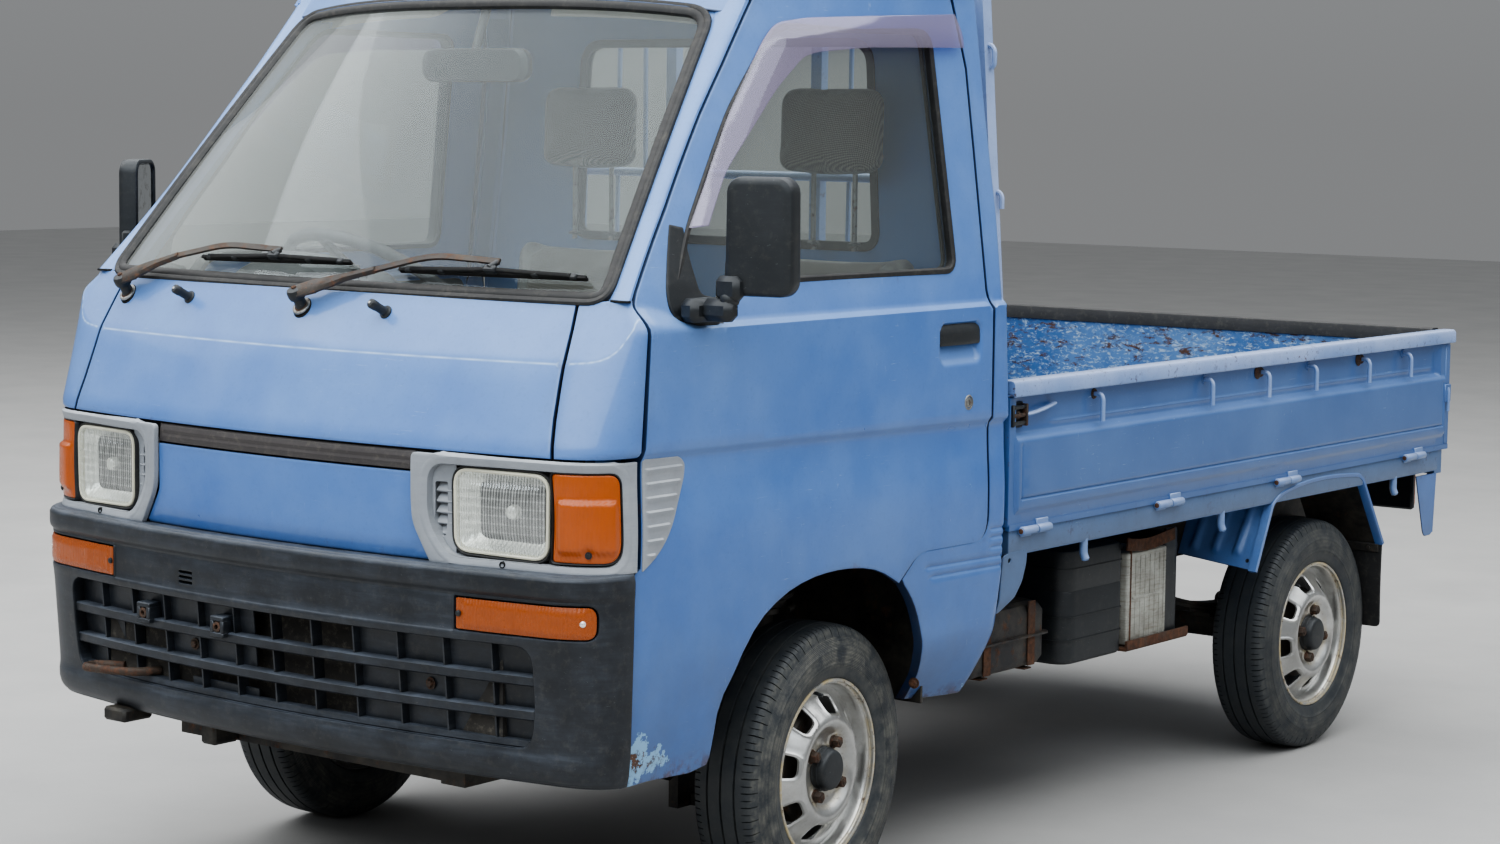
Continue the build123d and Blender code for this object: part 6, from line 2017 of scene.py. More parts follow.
def tyre():
    pr = np.array(TYRE_P + inner_t, float)
    no = len(TYRE_P)
    fr_ = [0.0, 0.045, 0.09, 0.52, 0.56, 0.60]
    th = np.array([(i + f) / NL * 2 * math.pi for i in range(NL) for f in fr_])
    A = np.tile(pr[None, :, 0], (len(th), 1))
    R = np.tile(pr[None, :, 1], (len(th), 1))
    a_ = pr[:, 0]
    r_ = pr[:, 1]
    sh_l = (r_ > 246) & (np.abs(a_) > 42) & (np.arange(len(pr)) < no)
    for i in range(NL):
        for j, (f, dep) in enumerate([(0.0, 0.0), (0.045, 5.0), (0.09, 0.0), (0.52, 0), (0.56, 2.6), (0.60, 0)]):
            if dep:
                k = i * 6 + j
                sel = sh_l if j == 1 else sh_l & (np.abs(a_) < 58) & (np.abs(a_) > 46)
                R[k, sel] -= dep
                A[k, sel] -= np.sign(a_[sel]) * dep * 0.35
    sw = np.interp(r_, [165, 175, 200, 235, 250, 262], [0.35, 0.8, 1.0, 0.85, 0.55, 0.28])
    gr = ((np.abs(np.abs(a_) - 28) < 2.5) | (np.abs(a_) < 2)) & (r_ < 262)
    du = np.where(gr, 1.0, np.where((np.arange(len(pr)) < no), sw, 0.1))
    U = np.cos(th)[:, None]
    W = np.sin(th)[:, None]
    V = np.stack([R * U, R * W, A - INB], -1)
    D = np.tile(du[None], (len(th), 1))
    rad = np.tile(r_[None], (len(th), 1))
    Vq, F = quads(V, close_u=True, close_v=True)
    return Vq, F, {"dust": D.ravel(), "rad": rad.ravel()}


TY = tyre()


def wheel_mat(sx, y_, front_):
    """Matrix from the wheel's own axes (z outwards) to the vehicle."""
    B = Matrix(((0, 0, sx, sx * 600.0), (sx * 1.0, 0, 0, y_), (0, 1, 0, 265.0), (0, 0, 0, 1)))
    if not front_:
        return B
    low = Vector((sx * 562.0, 0, 180.0))
    ax = Vector((-sx * 65.0, 0, 460.0)).normalized()
    R = Matrix.Translation(low) @ Matrix.Rotation(math.radians(5.0), 4, ax) @ Matrix.Translation(-low)
    return R @ B


for nm, sx, y_, fr_ in (("front_left", 1, 0.0, True), ("front_right", -1, 0.0, True), ("rear_left", 1, 1900.0, False), ("rear_right", -1, 1900.0, False)):
    spin = Matrix.Rotation(math.radians({"front_left": 12, "front_right": 50, "rear_left": 33, "rear_right": 5}[nm]), 4, "Z")
    mt = wheel_mat(sx, y_, fr_) @ spin
    w = MB()
    w.add((*place(disc[:2], mt), {"stain": DISC_STAIN}))
    rv, rf = lathe([(a - INB, r_) for a, r_ in RIM_P], (0, 0, 0), (0, 0, 1), 96, closed=True)
    rr_ = np.hypot(rv[:, 0], rv[:, 1])
    st = np.clip(smooth(rr_, 158, 163) * (rv[:, 2] > 0) * 0.85 + smooth(rr_, 152, 158) * (rv[:, 2] > 40 - INB) * 0.3, 0, 1)
    w.add((*place((rv, rf), mt), {"stain": st}))
    for i_, (bx_, by_) in enumerate(BOLTS):
        w.add(place(lathe([(34, 3), (38.5, 14), (40.5, 12.4), (41, 3)], (bx_, by_, 0), (0, 0, 1), 24, closed=True), mt), 4, stain=1.0)
        w.add(place(lathe([(37, 2), (37, 11.3), (51, 11.3), (53.5, 9.5), (53.8, 6.2), (55.5, 5.6), (56, 1)], (bx_, by_, 0), (0, 0, 1), 6, closed=True), mt), 4)
    w.add(place(lathe([(33, 30), (33, 41), (35.5, 41), (37, 39.6), (46, 38.2), (54, 36.8), (57.4, 35.0), (59.4, 32), (60.2, 27), (60.8, 14), (61, 0.5)], (0, 0, 0), (0, 0, 1), 48), mt), 2)
    w.add(place(lathe([(44, 39.4), (45.2, 39.9), (46.2, 39.1), (44, 36)], (0, 0, 0), (0, 0, 1), 48, closed=True), mt), 2)
    # valve stem
    w.add(place(tube(bend([(0, 148, 18), (0, 146, 36), (0, 143, 50)], 5), 3.2, 10), mt), 2)
    # brake drum or disc seen behind
    w.add(place(lathe([(-30, 20), (-30, 100), (-26, 104), (6, 104), (12, 98), (14, 70), (14, 20)], (0, 0, 0), (0, 0, 1), 48, closed=True), mt), 3)
    w.obj("wheel_" + nm, ["wheel", "rust", "black", "cast", "nut"], nm + "_wheel", "rim_" + nm, "wheel_steel", angle=32)
    t_ = MB()
    V_, F_ = place(TY[:2], wheel_mat(sx, y_, fr_))
    t_.add((V_, F_, {"dust": TY[2]["dust"] * (1.0 if fr_ else 0.55), "rad": TY[2]["rad"]}))
    t_.obj("tyre_" + nm + "_tread", "tyre", nm + "_wheel", "tyre_" + nm, "tyre", angle=50)


# =============================================================================
# load bed
# =============================================================================
def two(mb, S, m0, m1):
    """Adds a shell whose front and back faces have different materials."""
    V, F, at = S
    n = len(V) // 2
    mb.add(S, m0)
    k = len(mb.m) - len(F)
    for i, f in enumerate(F):
        if min(f) >= n:
            mb.m[k + i] = m1


def gate_surf(y, z):
    y, z = np.asarray(y, float), np.asarray(z, float)
    pz = smooth(z, 678, 690) * (1 - smooth(z, 820, 832))
    py = smooth(y, 553, 560) * (1 - smooth(y, 2478, 2485))
    X = 684 + 6.5 * pz * py
    X = X - 4.0 * np.exp(-((z - 708) / 2.4) ** 2) * smooth(y, 570, 574) * (1 - smooth(y, 2466, 2470))
    X = X - 2.4 * np.exp(-((y - 574) / 2.2) ** 2) * smooth(z, 704, 708) * (1 - smooth(z, 812, 818))
    X = X - 2.4 * np.exp(-((y - 2468) / 2.2) ** 2) * smooth(z, 704, 708) * (1 - smooth(z, 812, 818))
    rz = smooth(z, 827, 837)
    ry = smooth(y, 555, 566) * (1 - smooth(y, 2450, 2462))
    X = X - (X - 671.5) * rz * ry
    X = X + 2.4 * (np.exp(-((z - 850) / 2.4) ** 2)) * smooth(y, 700, 716) * (1 - smooth(y, 2430, 2442)) * ry
    return np.stack([X, y, z], -1)


def gate_t(y, z):
    X = gate_surf(y, z)[..., 0]
    inn = 662.0 + 4.5 * (smooth(z, 716, 726) * (1 - smooth(z, 756, 766)) + smooth(z, 812, 822) * (1 - smooth(z, 852, 862))) * smooth(y, 575, 590) * (1 - smooth(y, 2440, 2455))
    return X - inn


gy_ = np.linspace(536, 2512, 90)
glines = [[(y, z) for y in gy_] for z in (678, 682, 686, 690, 704, 706, 708, 710, 712, 716, 721, 726, 756, 761, 766, 812, 817, 820, 823, 826, 829, 832, 835, 838, 852, 847.5, 850, 854, 857, 862)]
for y in (553, 556, 560, 563, 566, 571, 574, 577, 2450, 2456, 2462, 2465, 2468, 2471, 2478, 2481, 2485):
    glines.append([(y, z) for z in np.linspace(658, 905, 14)])
RAIL = [(-21, -14), (-21, 9.0), (-19, 13.4), (-14, 16), (12, 16), (17.5, 14), (20.5, 9), (21, -13.5), (19.5, -15.5), (18, -14), (17.6, -9), (-17.6, -9), (-18.5, -15)]


def side_gate():
    g = MB()
    two(g, sheet([(534, 656), (2512, 656), (2512, 907), (534, 907)], gate_surf, lines=glines, t=gate_t, tdir=(-1, 0, 0), grid=30, roll=1.6, edge_w=10), 0, 3)
    y_ = np.concatenate([[531], np.linspace(533, 2511, 60), [2514]])
    n_ = len(y_)
    P = np.stack([np.full(n_, 676.0), y_, np.full(n_, 924.0)], 1)
    g.add(strip(P, RAIL, up=(0, 0, 1)), 1, edge=0.85)
    # end stiffeners and lower hinge edge
    g.add(cbox(664, 686, 2486, 2511, 660, 905, 3), 0)
    g.add(strip(np.stack([np.full(40, 681.0), np.linspace(536, 2510, 40), np.full(40, 654.0)], 1), [(-5, -6), (-5, 6), (5, 6), (5, -6)], up=(0, 0, 1)), 0, edge=0.4)
    for i, y in enumerate((863, 1313, 1566, 1790, 2055, 2275)):
        g.add(tube(bend([(668, y, 893), (688, y, 893), (693.5, y, 884), (693.5, y, 839)], 8, 5), 5.0, 10), 1)
        g.add(lathe([(0, 1), (0, 11), (2.2, 10), (2.2, 1)], (671.5, y, 893), (1, 0, 0), 18, closed=True), 2 if i in (0, 2, 4) else 0)
        if i in (2, 4):
            g.add(lathe([(0, 1), (0, 14), (1.5, 15), (3.4, 9), (3.4, 1)], (671.5, y - 16, 893), (1, 0, 0), 14, closed=True), 2)
    # over-centre catch at the front end
    g.add(cbox(670, 677, 540, 592, 846, 897, 2), 4)
    for z in (856, 871, 887):
        g.add(tube([(683, 538, z), (684, 566, z), (683, 590, z)], 4.2, 8), 4 if z != 871 else 2)
    for y in (541, 589):
        g.add(cbox(676, 690, y - 3, y + 3, 850, 893, 1.5), 2 if y > 560 else 4)
    g.add(tube(bend([(686, 590, 872), (689, 612, 874), (687, 660, 880), (680, 702, 886)], 20), 5.5, 8, flat=0.7), 1)
    g.add(bolt((683, 565, 872), (1, 0, 0), 5, 4), 2)
    # moving halves of the hinges
    for y in (625, 1147, 1672, 2316):
        g.add(lathe([(0, 5.5), (0, 8.2), (1, 8.8), (46, 8.8), (47, 8.2), (47, 5.5)], (690, y + 4, 645), (0, 1, 0), 20, closed=True), 1)
        g.add(cbox(683, 689, y + 6, y + 49, 645, 664, 1.5), 1)
    # rear catch
    g.add(cbox(688, 693, 2472, 2504, 764, 808, 2), 0)
    g.add(tube(bend([(692, 2488, 800), (694, 2488, 790), (694, 2488, 742)], 6), 4.0, 8), 1)
    return g


MG = ["gate", "rail", "nut", "bed", "black", "rubber"]
side_gate().obj("gate_left_panel", MG, "left_gate", "gate_left", "bed_paint")
side_gate().mirror().obj("gate_right_panel", MG, "right_gate", "gate_right", "bed_paint")


def tail_surf(x, z):
    x, z = np.asarray(x, float), np.asarray(z, float)
    pz = smooth(z, 678, 690) * (1 - smooth(z, 820, 832))
    px = 1 - smooth(np.abs(x), 612, 620)
    Y = 2508 + 5.5 * pz * px
    Y = Y - 3 * np.exp(-((z - 708) / 2.4) ** 2) * (1 - smooth(np.abs(x), 596, 600))
    Y = Y - (Y - 2499) * smooth(z, 822, 838) * (1 - smooth(np.abs(x), 590, 602))
    return np.stack([x, Y, z], -1)


tl = [[(x, z) for x in np.linspace(-646, 646, 40)] for z in (678, 682, 686, 690, 704, 706, 708, 710, 712, 820, 823, 826, 829, 832, 835, 838)]
for x in (590, 594, 598, 602, 612, 616, 620):
    tl += [[(sg * x, z) for z in np.linspace(658, 905, 14)] for sg in (1, -1)]
tg = MB()
two(tg, sheet([(-647, 656), (647, 656), (647, 907), (-647, 907)], tail_surf, lines=tl, t=lambda x, z: tail_surf(x, z)[..., 1] - 2489.0, tdir=(0, -1, 0), flip=True, grid=30, roll=1.6, edge_w=10), 0, 3)
P = np.stack([np.linspace(647, -647, 40), np.full(40, 2502.0), np.full(40, 924.0)], 1)
tg.add(strip(P, [(-18, -16), (-18, 13.5), (-16.5, 16.4), (-13, 18), (12, 18), (15.5, 16.5), (17.5, 12.5), (18, -17), (16, -18), (15, -11), (-15, -11), (-16, -17)], up=(0, 0, 1)), 5, edge=0.85)
for x in (-420, 420):
    tg.add(lathe([(0, 4), (0, 6.2), (1, 6.8), (77, 6.8), (78, 6.2), (78, 4)], (x - 39, 2513, 645), (1, 0, 0), 20, closed=True), 1)
    tg.add(cbox(x - 36, x + 36, 2506, 2512, 645, 664, 1.5), 1)
for sg in (1, -1):
    tg.add(tube(bend([(sg * 560, 2502, 893), (sg * 560, 2512, 893), (sg * 560, 2514, 884), (sg * 560, 2514, 845)], 6), 4.6, 8), 1)
    tg.add(tube(bend([(sg * 230, 2502, 893), (sg * 230, 2512, 893), (sg * 230, 2514, 884), (sg * 230, 2514, 845)], 6), 4.6, 8), 1)
    tg.add(cbox(sg * 634 - 9, sg * 634 + 9, 2508, 2517, 770, 810, 2), 4)
    tg.add(tube(bend([(sg * 634, 2513, 804), (sg * 634, 2515.5, 795), (sg * 634, 2515, 748)], 6), 3.8, 8), 4)
tg.obj("tailgate_panel", MG, "rear_gate", "tailgate", "bed_paint")

# fixed halves of the hinges
hg = MB()
for y in (625, 1147, 1672, 2316):
    hg.add(lathe([(0, 0.5), (-1.2, 5.0), (0.2, 8.2), (1.4, 8.8), (52, 8.8), (53, 8.2), (53, 1)], (690, y - 52, 645), (0, 1, 0), 20), 0)
    hg.add(lathe([(-2.5, 0.5), (-2.2, 4.5), (0.6, 6.6), (2.0, 6.6), (2.0, 0.5)], (690, y - 52, 645), (0, 1, 0), 16, closed=True), 1)
    hg.add(cbox(679, 685, y - 44, y - 6, 632, 648, 1.5), 0)
hgb = hg.both()
for x in (-420, 420):
    for s_ in (1, -1):
        hgb.add(lathe([(0, 2), (0, 6.2), (1, 6.8), (33, 6.8), (34, 6.2), (34, 2)], (x + 41.5 * s_ + (0 if s_ > 0 else -34), 2513, 645), (1, 0, 0), 20, closed=True), 0)
        hgb.add(cbox(x + 58 * s_ - 15, x + 58 * s_ + 15, 2489, 2510, 626, 643, 1.5), 0)
hgb.obj("gate_hinge_barrels", ["rail", "rust"], "chassis", "gate_hinges", "body_paint")

# ---- floor of the bed, headboard and guard -------------------------------------------------
def floor_surf(x, y):
    x, y = np.asarray(x, float), np.asarray(y, float)
    h = np.zeros(np.shape(x))
    for c in range(-550, 551, 110):
        h = h + smooth(np.abs(x - c), 34, 27)
    h = h * smooth(y, 596, 612) * (1 - smooth(y, 2452, 2468))
    return np.stack([x, y, 654.5 + 5 * h], -1)


fll = []
for c in range(-550, 551, 110):
    for o in (-34, -30.5, -27, 27, 30.5, 34):
        fll.append([(c + o, y) for y in np.linspace(580, 2484, 30)])
for y in (596, 604, 612, 2452, 2460, 2468):
    fll.append([(x, y) for x in np.linspace(-648, 648, 30)])
bf = MB().add(sheet([(-652, 574), (652, 574), (652, 2487), (-652, 2487)], floor_surf, lines=fll, t=9, tdir=(0, 0, -1), grid=60, roll=0.8))
for x in (-480, -160, 160, 480):
    for y in (700, 1200, 1700, 2200):
        bf.add(lathe([(0, 0.5), (0, 7), (1.8, 6), (2.6, 3), (2.8, 0.5)], (x - 25, y, 654.5), (0, 0, 1), 14, closed=True))
bf.obj("bed_floor_sheet", "bed", "chassis", "bed_floor", "bed_paint")

hb = MB()


def board_surf(x, z):
    x, z = np.asarray(x, float), np.asarray(z, float)
    s = smooth(z, 700, 712) * (1 - smooth(z, 762, 774)) + smooth(z, 812, 824) * (1 - smooth(z, 874, 886))
    return np.stack([x, 547.5 - 5 * s * (1 - smooth(np.abs(x), 596, 610)), z], -1)


hb.add(sheet([(-652, 650), (652, 650), (652, 932), (-652, 932)], board_surf, t=13, tdir=(0, -1, 0), flip=True, grid=40, roll=1.5,
             lines=[[(x, z) for x in np.linspace(-650, 650, 30)] for z in (700, 706, 712, 762, 768, 774, 812, 818, 824, 874, 880, 886)]), 1)
hb.add(cbox(-651, 651, 548, 573, 647, 659, 1.5), 1)
hb.add(strip(np.stack([np.linspace(-646, 646, 12), np.full(12, 560.5), np.full(12, 944.0)], 1), [(-12, -14), (-12, 12), (-10, 14), (10, 14), (12, 12), (12, -14)], up=(0, 0, 1)), 0, edge=0.6)
hb.add(strip(np.stack([np.linspace(-646, 646, 12), np.full(12, 541.0), np.full(12, 940.0)], 1), [(-9, -10), (-9, 8), (-7, 10), (7, 10), (9, 8), (9, -10)], up=(0, 0, 1)), 0, edge=0.6)
half = MB()
half.add(strip(bend([(634, 556, 655), (634, 556, 955), (570, 576, 1676), (562, 576, 1700)], 20), [(-15, -15), (-15, 15), (15, 15), (15, -15)], up=(0, 1, 0)), 0, edge=0.5)
half.add(cbox(606, 650, 550, 571, 660, 700, 2), 0)
half.add(strip(np.array([(188, 574, 955), (188, 574, 1300), (188, 576, 1684)], float), [(-13, -11), (-13, 11), (13, 11), (13, -11)], up=(0, 1, 0)), 0, edge=0.5)
for x0, x1 in ((262, 268), (345, 336), (440, 424)):
    half.add(tube([(x0, 574, 955), ((x0 + x1) / 2, 575, 1320), (x1, 576, 1684)], 5.0, 8), 0)
half.add(tube(bend([(577, 574, 1582), (600, 574, 1582), (607, 574, 1572), (607, 574, 1545), (601, 574, 1538)], 7), 5, 8), 0)
half.add(tube(bend([(600, 574, 1300), (624, 574, 1300), (630, 574, 1292), (630, 574, 1268)], 7), 5, 8), 0)
hb.merge(half.both())
hb.add(tube(np.stack([np.linspace(-575, 575, 14), np.full(14, 576.0), np.full(14, 1689.0)], 1), 14.5, 16), 0)
hb.add(tube(np.stack([np.linspace(-598, 598, 14), np.full(14, 570.0), np.full(14, 1320.0)], 1), 9, 12), 0)
hb.obj("headboard_and_guard", ["rail", "bed"], "chassis", "headboard_guard", "body_paint")

# ---- sill, pegs, wing plates, flaps, lamps -----------------------------------------------------
material_only("bed_sills", "sill")
sl_ = MB()
P = np.stack([np.full(60, 680.0), np.linspace(540, 2462, 60), np.full(60, 626.0)], 1)
sl_.add(strip(P, [(-14, -26), (-14, -23), (-1, -22), (-0.8, 21), (-8, 24), (-8, 26), (1.6, 23), (2.4, 19), (2.4, -22), (0.6, -26)], up=(0, 0, 1)), 0, edge=0.7)
for y in (832, 1398, 2239):
    sl_.add(tube(bend([(674, y, 604), (674, y, 572), (679, y + 1, 560)], 10), 8.5, 12), 1)
    sl_.add(lathe([(0, 2), (0, 7.6), (2.5, 5), (3, 0.5)], (679, y + 1, 560), (0.3, 0, -1), 12, closed=True), 1)
# front lobe behind the cab
LOBE = bend([(545, 606, 0), (608, 606, 0), (606, 580, 0), (592, 545, 0), (566, 516, 0), (522, 492, 0), (508, 488, 0), (516, 560, 0), (522, 600, 0)], 8, 4, closed=True)[:, :2]
sl_.add(sheet(LOBE, lambda y, z: np.stack([np.full_like(y, 683.0) - 6 * smooth(z, 520, 488), y, z], -1), t=3, tdir=(-1, 0, 0), grid=14, roll=1.5,
              holes=[[(545 + 5 * math.cos(t_), 590 + 5 * math.sin(t_)) for t_ in np.linspace(0, 6.283, 10, endpoint=False)]]), 0)
# near-black sheet behind the lobe, seen through its hole: painted shade
sl_.add(sheet(LOBE, lambda y, z: np.stack([np.full_like(y, 679.0) - 6 * smooth(z, 520, 488), y, z], -1), t=1, tdir=(-1, 0, 0), grid=30, roll=0), 2)
sl_.both().obj("bed_side_rails", ["sill", "rail", "void"], "chassis", slot="body_paint")

wp = MB()


def plate2(u, v):
    """u across (x), v up the slanted plate."""
    u, v = np.asarray(u, float), np.asarray(v, float)
    rib = 0
    for c in (520, 574, 628):
        cc = c + (v - 80) * 0.10
        rib = rib + 6.5 * smooth(np.abs(u - cc), 13, 4) * smooth(v, 28, 46)
    y = 1548 + v * 73 / 162.3 - rib * 0.89
    z = 454 + v * 145 / 162.3 + rib * 0.45
    return np.stack([u, y, z], -1)


wl = [[(c + (v - 80) * 0.10 + o, v) for v in np.linspace(30, 160, 12)] for c in (520, 574, 628) for o in (-13, -8.5, -4, 4, 8.5, 13)]
wp.add(sheet([(480, 22), (676, 0), (680, 4), (680, 162), (480, 162)], plate2, lines=wl, t=2, grid=10, roll=0.8,
             holes=[[(655 + 4 * math.cos(t_), 22 + 4 * math.sin(t_)) for t_ in np.linspace(0, 6.283, 10, endpoint=False)]]), 0)
# bright outer flange and the arch strip
wp.add(strip(bend([(676, 1548, 452), (676, 1621, 598), (676, 1658, 616), (676, 1745, 629), (676, 1842, 634), (676, 1950, 631), (676, 2040, 624), (676, 2062, 612), (676, 2176, 448)], [0, 14, 30, 60, 60, 60, 20, 14, 0]),
             [(-5, -11), (-5, 7), (-3, 9), (3.4, 8), (5, 5), (5, -11)], up=(1, 0, 0)), 0, edge=0.5)
# inner arch sheet
rows = []
for y, z in [(1621, 599), (1658, 612), (1745, 625), (1842, 630), (1950, 627), (2040, 619), (2062, 606), (2172, 448)]:
    rows.append([(x, y, z) for x in (674, 600, 520, 500)])
V, F = quads(np.array(rows, float))
wp.add((np.concatenate([V, V + [0, 0.6, 2.0]]), F + [tuple(i + len(V) for i in f[::-1]) for f in F]), 1)
TR = bend([(2352, 592, 0), (2463, 592, 0), (2452, 448, 0), (2440, 441, 0), (2408, 441, 0), (2398, 452, 0)], [2, 2, 8, 6, 6, 8], 4, closed=True)[:, :2]
wp.add(sheet(TR, lambda y, z: np.stack([np.full_like(y, 680.0), y, z], -1), t=2.5, tdir=(-1, 0, 0), grid=20, roll=1.5), 0)
wp.add(strip(np.array([(668, 2463, 590), (668, 2457, 520), (668, 2452, 447)], float), [(-12, -1.5), (-12, 1.5), (12, 1.5), (12, -1.5)], up=(0, 1, 0)), 0)
wp.both().obj("rear_wing_sheets", ["body", "chassis"], "chassis", "rear_wing_plates", "body_paint")

mf = MB()


def flap(x, z):
    x, z = np.asarray(x, float), np.asarray(z, float)
    return np.stack([x, 2175 - 3 * np.sin((z - 248) / 200 * 3.0) + 2.0 * np.sin((x - 500) / 60.0) * (447 - z) / 200, z], -1)


mf.add(sheet(bend([(500, 248, 0), (680, 248, 0), (680, 447, 0), (500, 447, 0)], [14, 14, 2, 2], 4, closed=True)[:, :2], flap, t=4, grid=16, roll=1.2, tdir=(0, 1, 0)), 0)
mf.add(cbox(506, 674, 2168, 2172, 428, 446, 1), 1)
for x in (530, 590, 650):
    mf.add(bolt((x, 2168, 437), (0, -1, 0), 5, 4), 1)
mf.both().obj("mudflap_sheets", ["rubber", "chassis"], "chassis", "mudflaps", "rubber")

rl_ = MB()
rl_.add(cbox(436, 624, 2452, 2470, 496, 592, 5), 0)
for x0, x1, m_ in ((562, 618, 1), (500, 558, 2), (442, 496, 3)):
    L = bend([(x0, 502, 0), (x1, 502, 0), (x1, 586, 0), (x0, 586, 0)], 6, 4, closed=True)[:, :2]

    def ls(x, z, c=(x0 + x1) / 2):
        return np.stack([x, 2482 + 3.5 * (1 - ((x - c) / 30) ** 2) * (1 - ((z - 544) / 44) ** 2) + 0.4 * np.cos((x - c) / 3.0 * math.pi / 1.5), z], -1)
    rl_.add(sheet(L, ls, t=lambda x, z: np.full_like(x, 13.0), tdir=(0, -1, 0), flip=True, grid=5, roll=2.0), m_)
for x in (470, 590):
    rl_.add(bolt((x, 2485, 508), (0, 1, 0), 3.2, 2), 4)
rl_.both().obj("rear_lamp_lenses", ["black", "amber", "red", "clearlens", "zinc"], "chassis", "rear_lamps", "red_lens")


# =============================================================================
# cab interior
# =============================================================================
material_only("seat_platform", "cab_in")
material_only("cab_floor", "mat")
material_only("front_wheelhouses", "chassis")
ds = MB()
DP = bend([(a, b, 0) for a, b in [(-572, 1062), (-552, 1116), (-500, 1121), (-440, 1121), (-376, 1090), (-354, 1012), (-372, 884), (-430, 802), (-560, 782), (-588, 802)]],
          [8, 20, 10, 24, 24, 30, 20, 14, 8, 8], 5, closed=True)[:, :2]
rows = []
for x in np.concatenate([[-580, -578], np.linspace(-572, 572, 40), [578, 580]]):
    k_ = 8 if abs(x) > 579 else 3 if abs(x) > 576 else 0
    Q = inset(DP if area(DP) > 0 else DP[::-1], k_)
    dip = 10 * smooth(np.abs(x - 290), 240, 190) * (Q[:, 1] > 1000) * (Q[:, 0] < -470)
    rows.append([(x, a, b - dd_) for (a, b), dd_ in zip(Q, dip)])
G = np.array(rows)
V, F = quads(G, close_v=True)
k_ = G.shape[1]
F = [f[::-1] for f in F]
ds.add((V, F + [tuple(range(k_)), tuple((len(rows) - 1) * k_ + j for j in range(k_))[::-1]]), 0)
# hood over the instruments
for i_, (x0, x1) in enumerate([(-430, -150)]):
    rows = []
    for x in np.linspace(x0, x1, 16):
        u = (x - x0) / (x1 - x0) * 2 - 1
        h = 62 * (1 - abs(u) ** 3.5) + 2
        rows.append([(x, -470, 1112), (x, -456, 1116 + h * 0.7), (x, -420, 1118 + h), (x, -368, 1112 + h), (x, -340, 1100 + h * 0.94), (x, -343, 1095 + h * 0.9), (x, -368, 1100 + h * 0.88), (x, -372, 1085)])
    V, F = quads(np.array(rows), close_v=True)
    ds.add((V, [f[::-1] for f in F]), 0)
    ds.add(cbox(-418, -162, -376, -371, 1060, 1160, 2), 1)
    for x, r_ in ((-290, 42), (-370, 26), (-212, 26)):
        ds.add(lathe([(0, r_ - 3), (5, r_ - 2), (5, r_ + 1), (0, r_ + 2)], (x, -371, 1112), (0, 1, 0), 32, closed=True), 2)
        ds.add(lathe([(1, 0.5), (1, r_ - 3)], (x, -371, 1112), (0, 1, 0), 32), 1)
        ds.add(place(cbox(-1, 1, -0.5, 0.5, 0, r_ * 0.75, 0.3), Matrix.Translation((x, -368, 1112)) @ Matrix.Rotation(math.radians(120 if r_ > 30 else 50), 4, "Y")), 3)
# vents, radio, heater panel, glove box lid
def onface(x0, x1, z0, z1, m, dpt=4.0, b=2.0):
    ya = float(np.interp((z0 + z1) / 2, [884, 1012, 1090], [-372, -354, -376]))
    ds.add(cbox(x0, x1, ya - 3, ya + dpt, z0, z1, b), m)
    return ya + dpt


for x0, x1 in ((-560, -470), (-90, -10), (10, 90), (470, 560)):
    ya = onface(x0, x1, 1020, 1068, 1)
    for z in (1028, 1038, 1048, 1058):
        ds.add(cbox(x0 + 5, x1 - 5, ya - 1, ya + 3, z - 1.6, z + 1.6, 0.6), 0)
ya = onface(-90, 90, 958, 1008, 1)
ds.add(cbox(-50, 50, ya - 1, ya + 1.4, 975, 998, 1), 2)
for x in (-72, 72):
    ds.add(lathe([(0, 3), (0, 10), (11, 8.5), (12, 3)], (x, ya, 984), (0, 1, 0), 20, closed=True), 2)
ya = onface(-90, 90, 900, 948, 1)
for z in (912, 924, 936):
    ds.add(cbox(-70, 70, ya - 0.5, ya + 1, z - 1.5, z + 1.5, 0.5), 2)
    ds.add(cbox(-20 + (z - 924) * 2, -8 + (z - 924) * 2, ya, ya + 9, z - 4, z + 4, 1.5), 2)
ya = onface(130, 540, 880, 1000, 0, 5.0, 4.0)
ds.add(cbox(300, 370, ya, ya + 5, 972, 986, 2), 1)
ds.obj("dashboard_moulding", ["vinyl", "void", "dkgrey", "amber"], "chassis", "dashboard", "trim_plastic", angle=45)

# steering wheel and column
ct = Vector((-290.0, -200.0, 1106.0))
cdir = Vector((0, -0.574, -0.819)).normalized()
zx = -cdir
xx = Vector((1, 0, 0))
yy = zx.cross(xx)
SWM = Matrix(((xx.x, yy.x, zx.x, ct.x), (xx.y, yy.y, zx.y, ct.y), (xx.z, yy.z, zx.z, ct.z), (0, 0, 0, 1)))
sw = MB()
ang = np.linspace(0, 2 * math.pi, 96, endpoint=False)
rim_r = 12.2 + 0.5 * np.cos(ang * 24)
sw.add(place(tube(np.stack([182 * np.cos(ang), 182 * np.sin(ang), 0 * ang], 1), rim_r, 14, closed=True), SWM), 0)
for a in (0, math.pi, -math.pi / 2):
    c_, s_ = math.cos(a), math.sin(a)
    rows = []
    for r_, w_, h_, zc in ((36, 26, 9, -6), (70, 19, 7, -8), (120, 13, 6, -7), (160, 13, 6, -3), (178, 15, 6, 0)):
        rows.append([(c_ * r_ - s_ * u, s_ * r_ + c_ * u, zc + v) for u, v in [(-w_, 0), (-w_ * 0.7, h_), (w_ * 0.7, h_), (w_, 0), (w_ * 0.7, -h_), (-w_ * 0.7, -h_)]])
    V, F = quads(np.array(rows), close_v=True)
    sw.add(place((V, F), SWM), 0)
rows = []
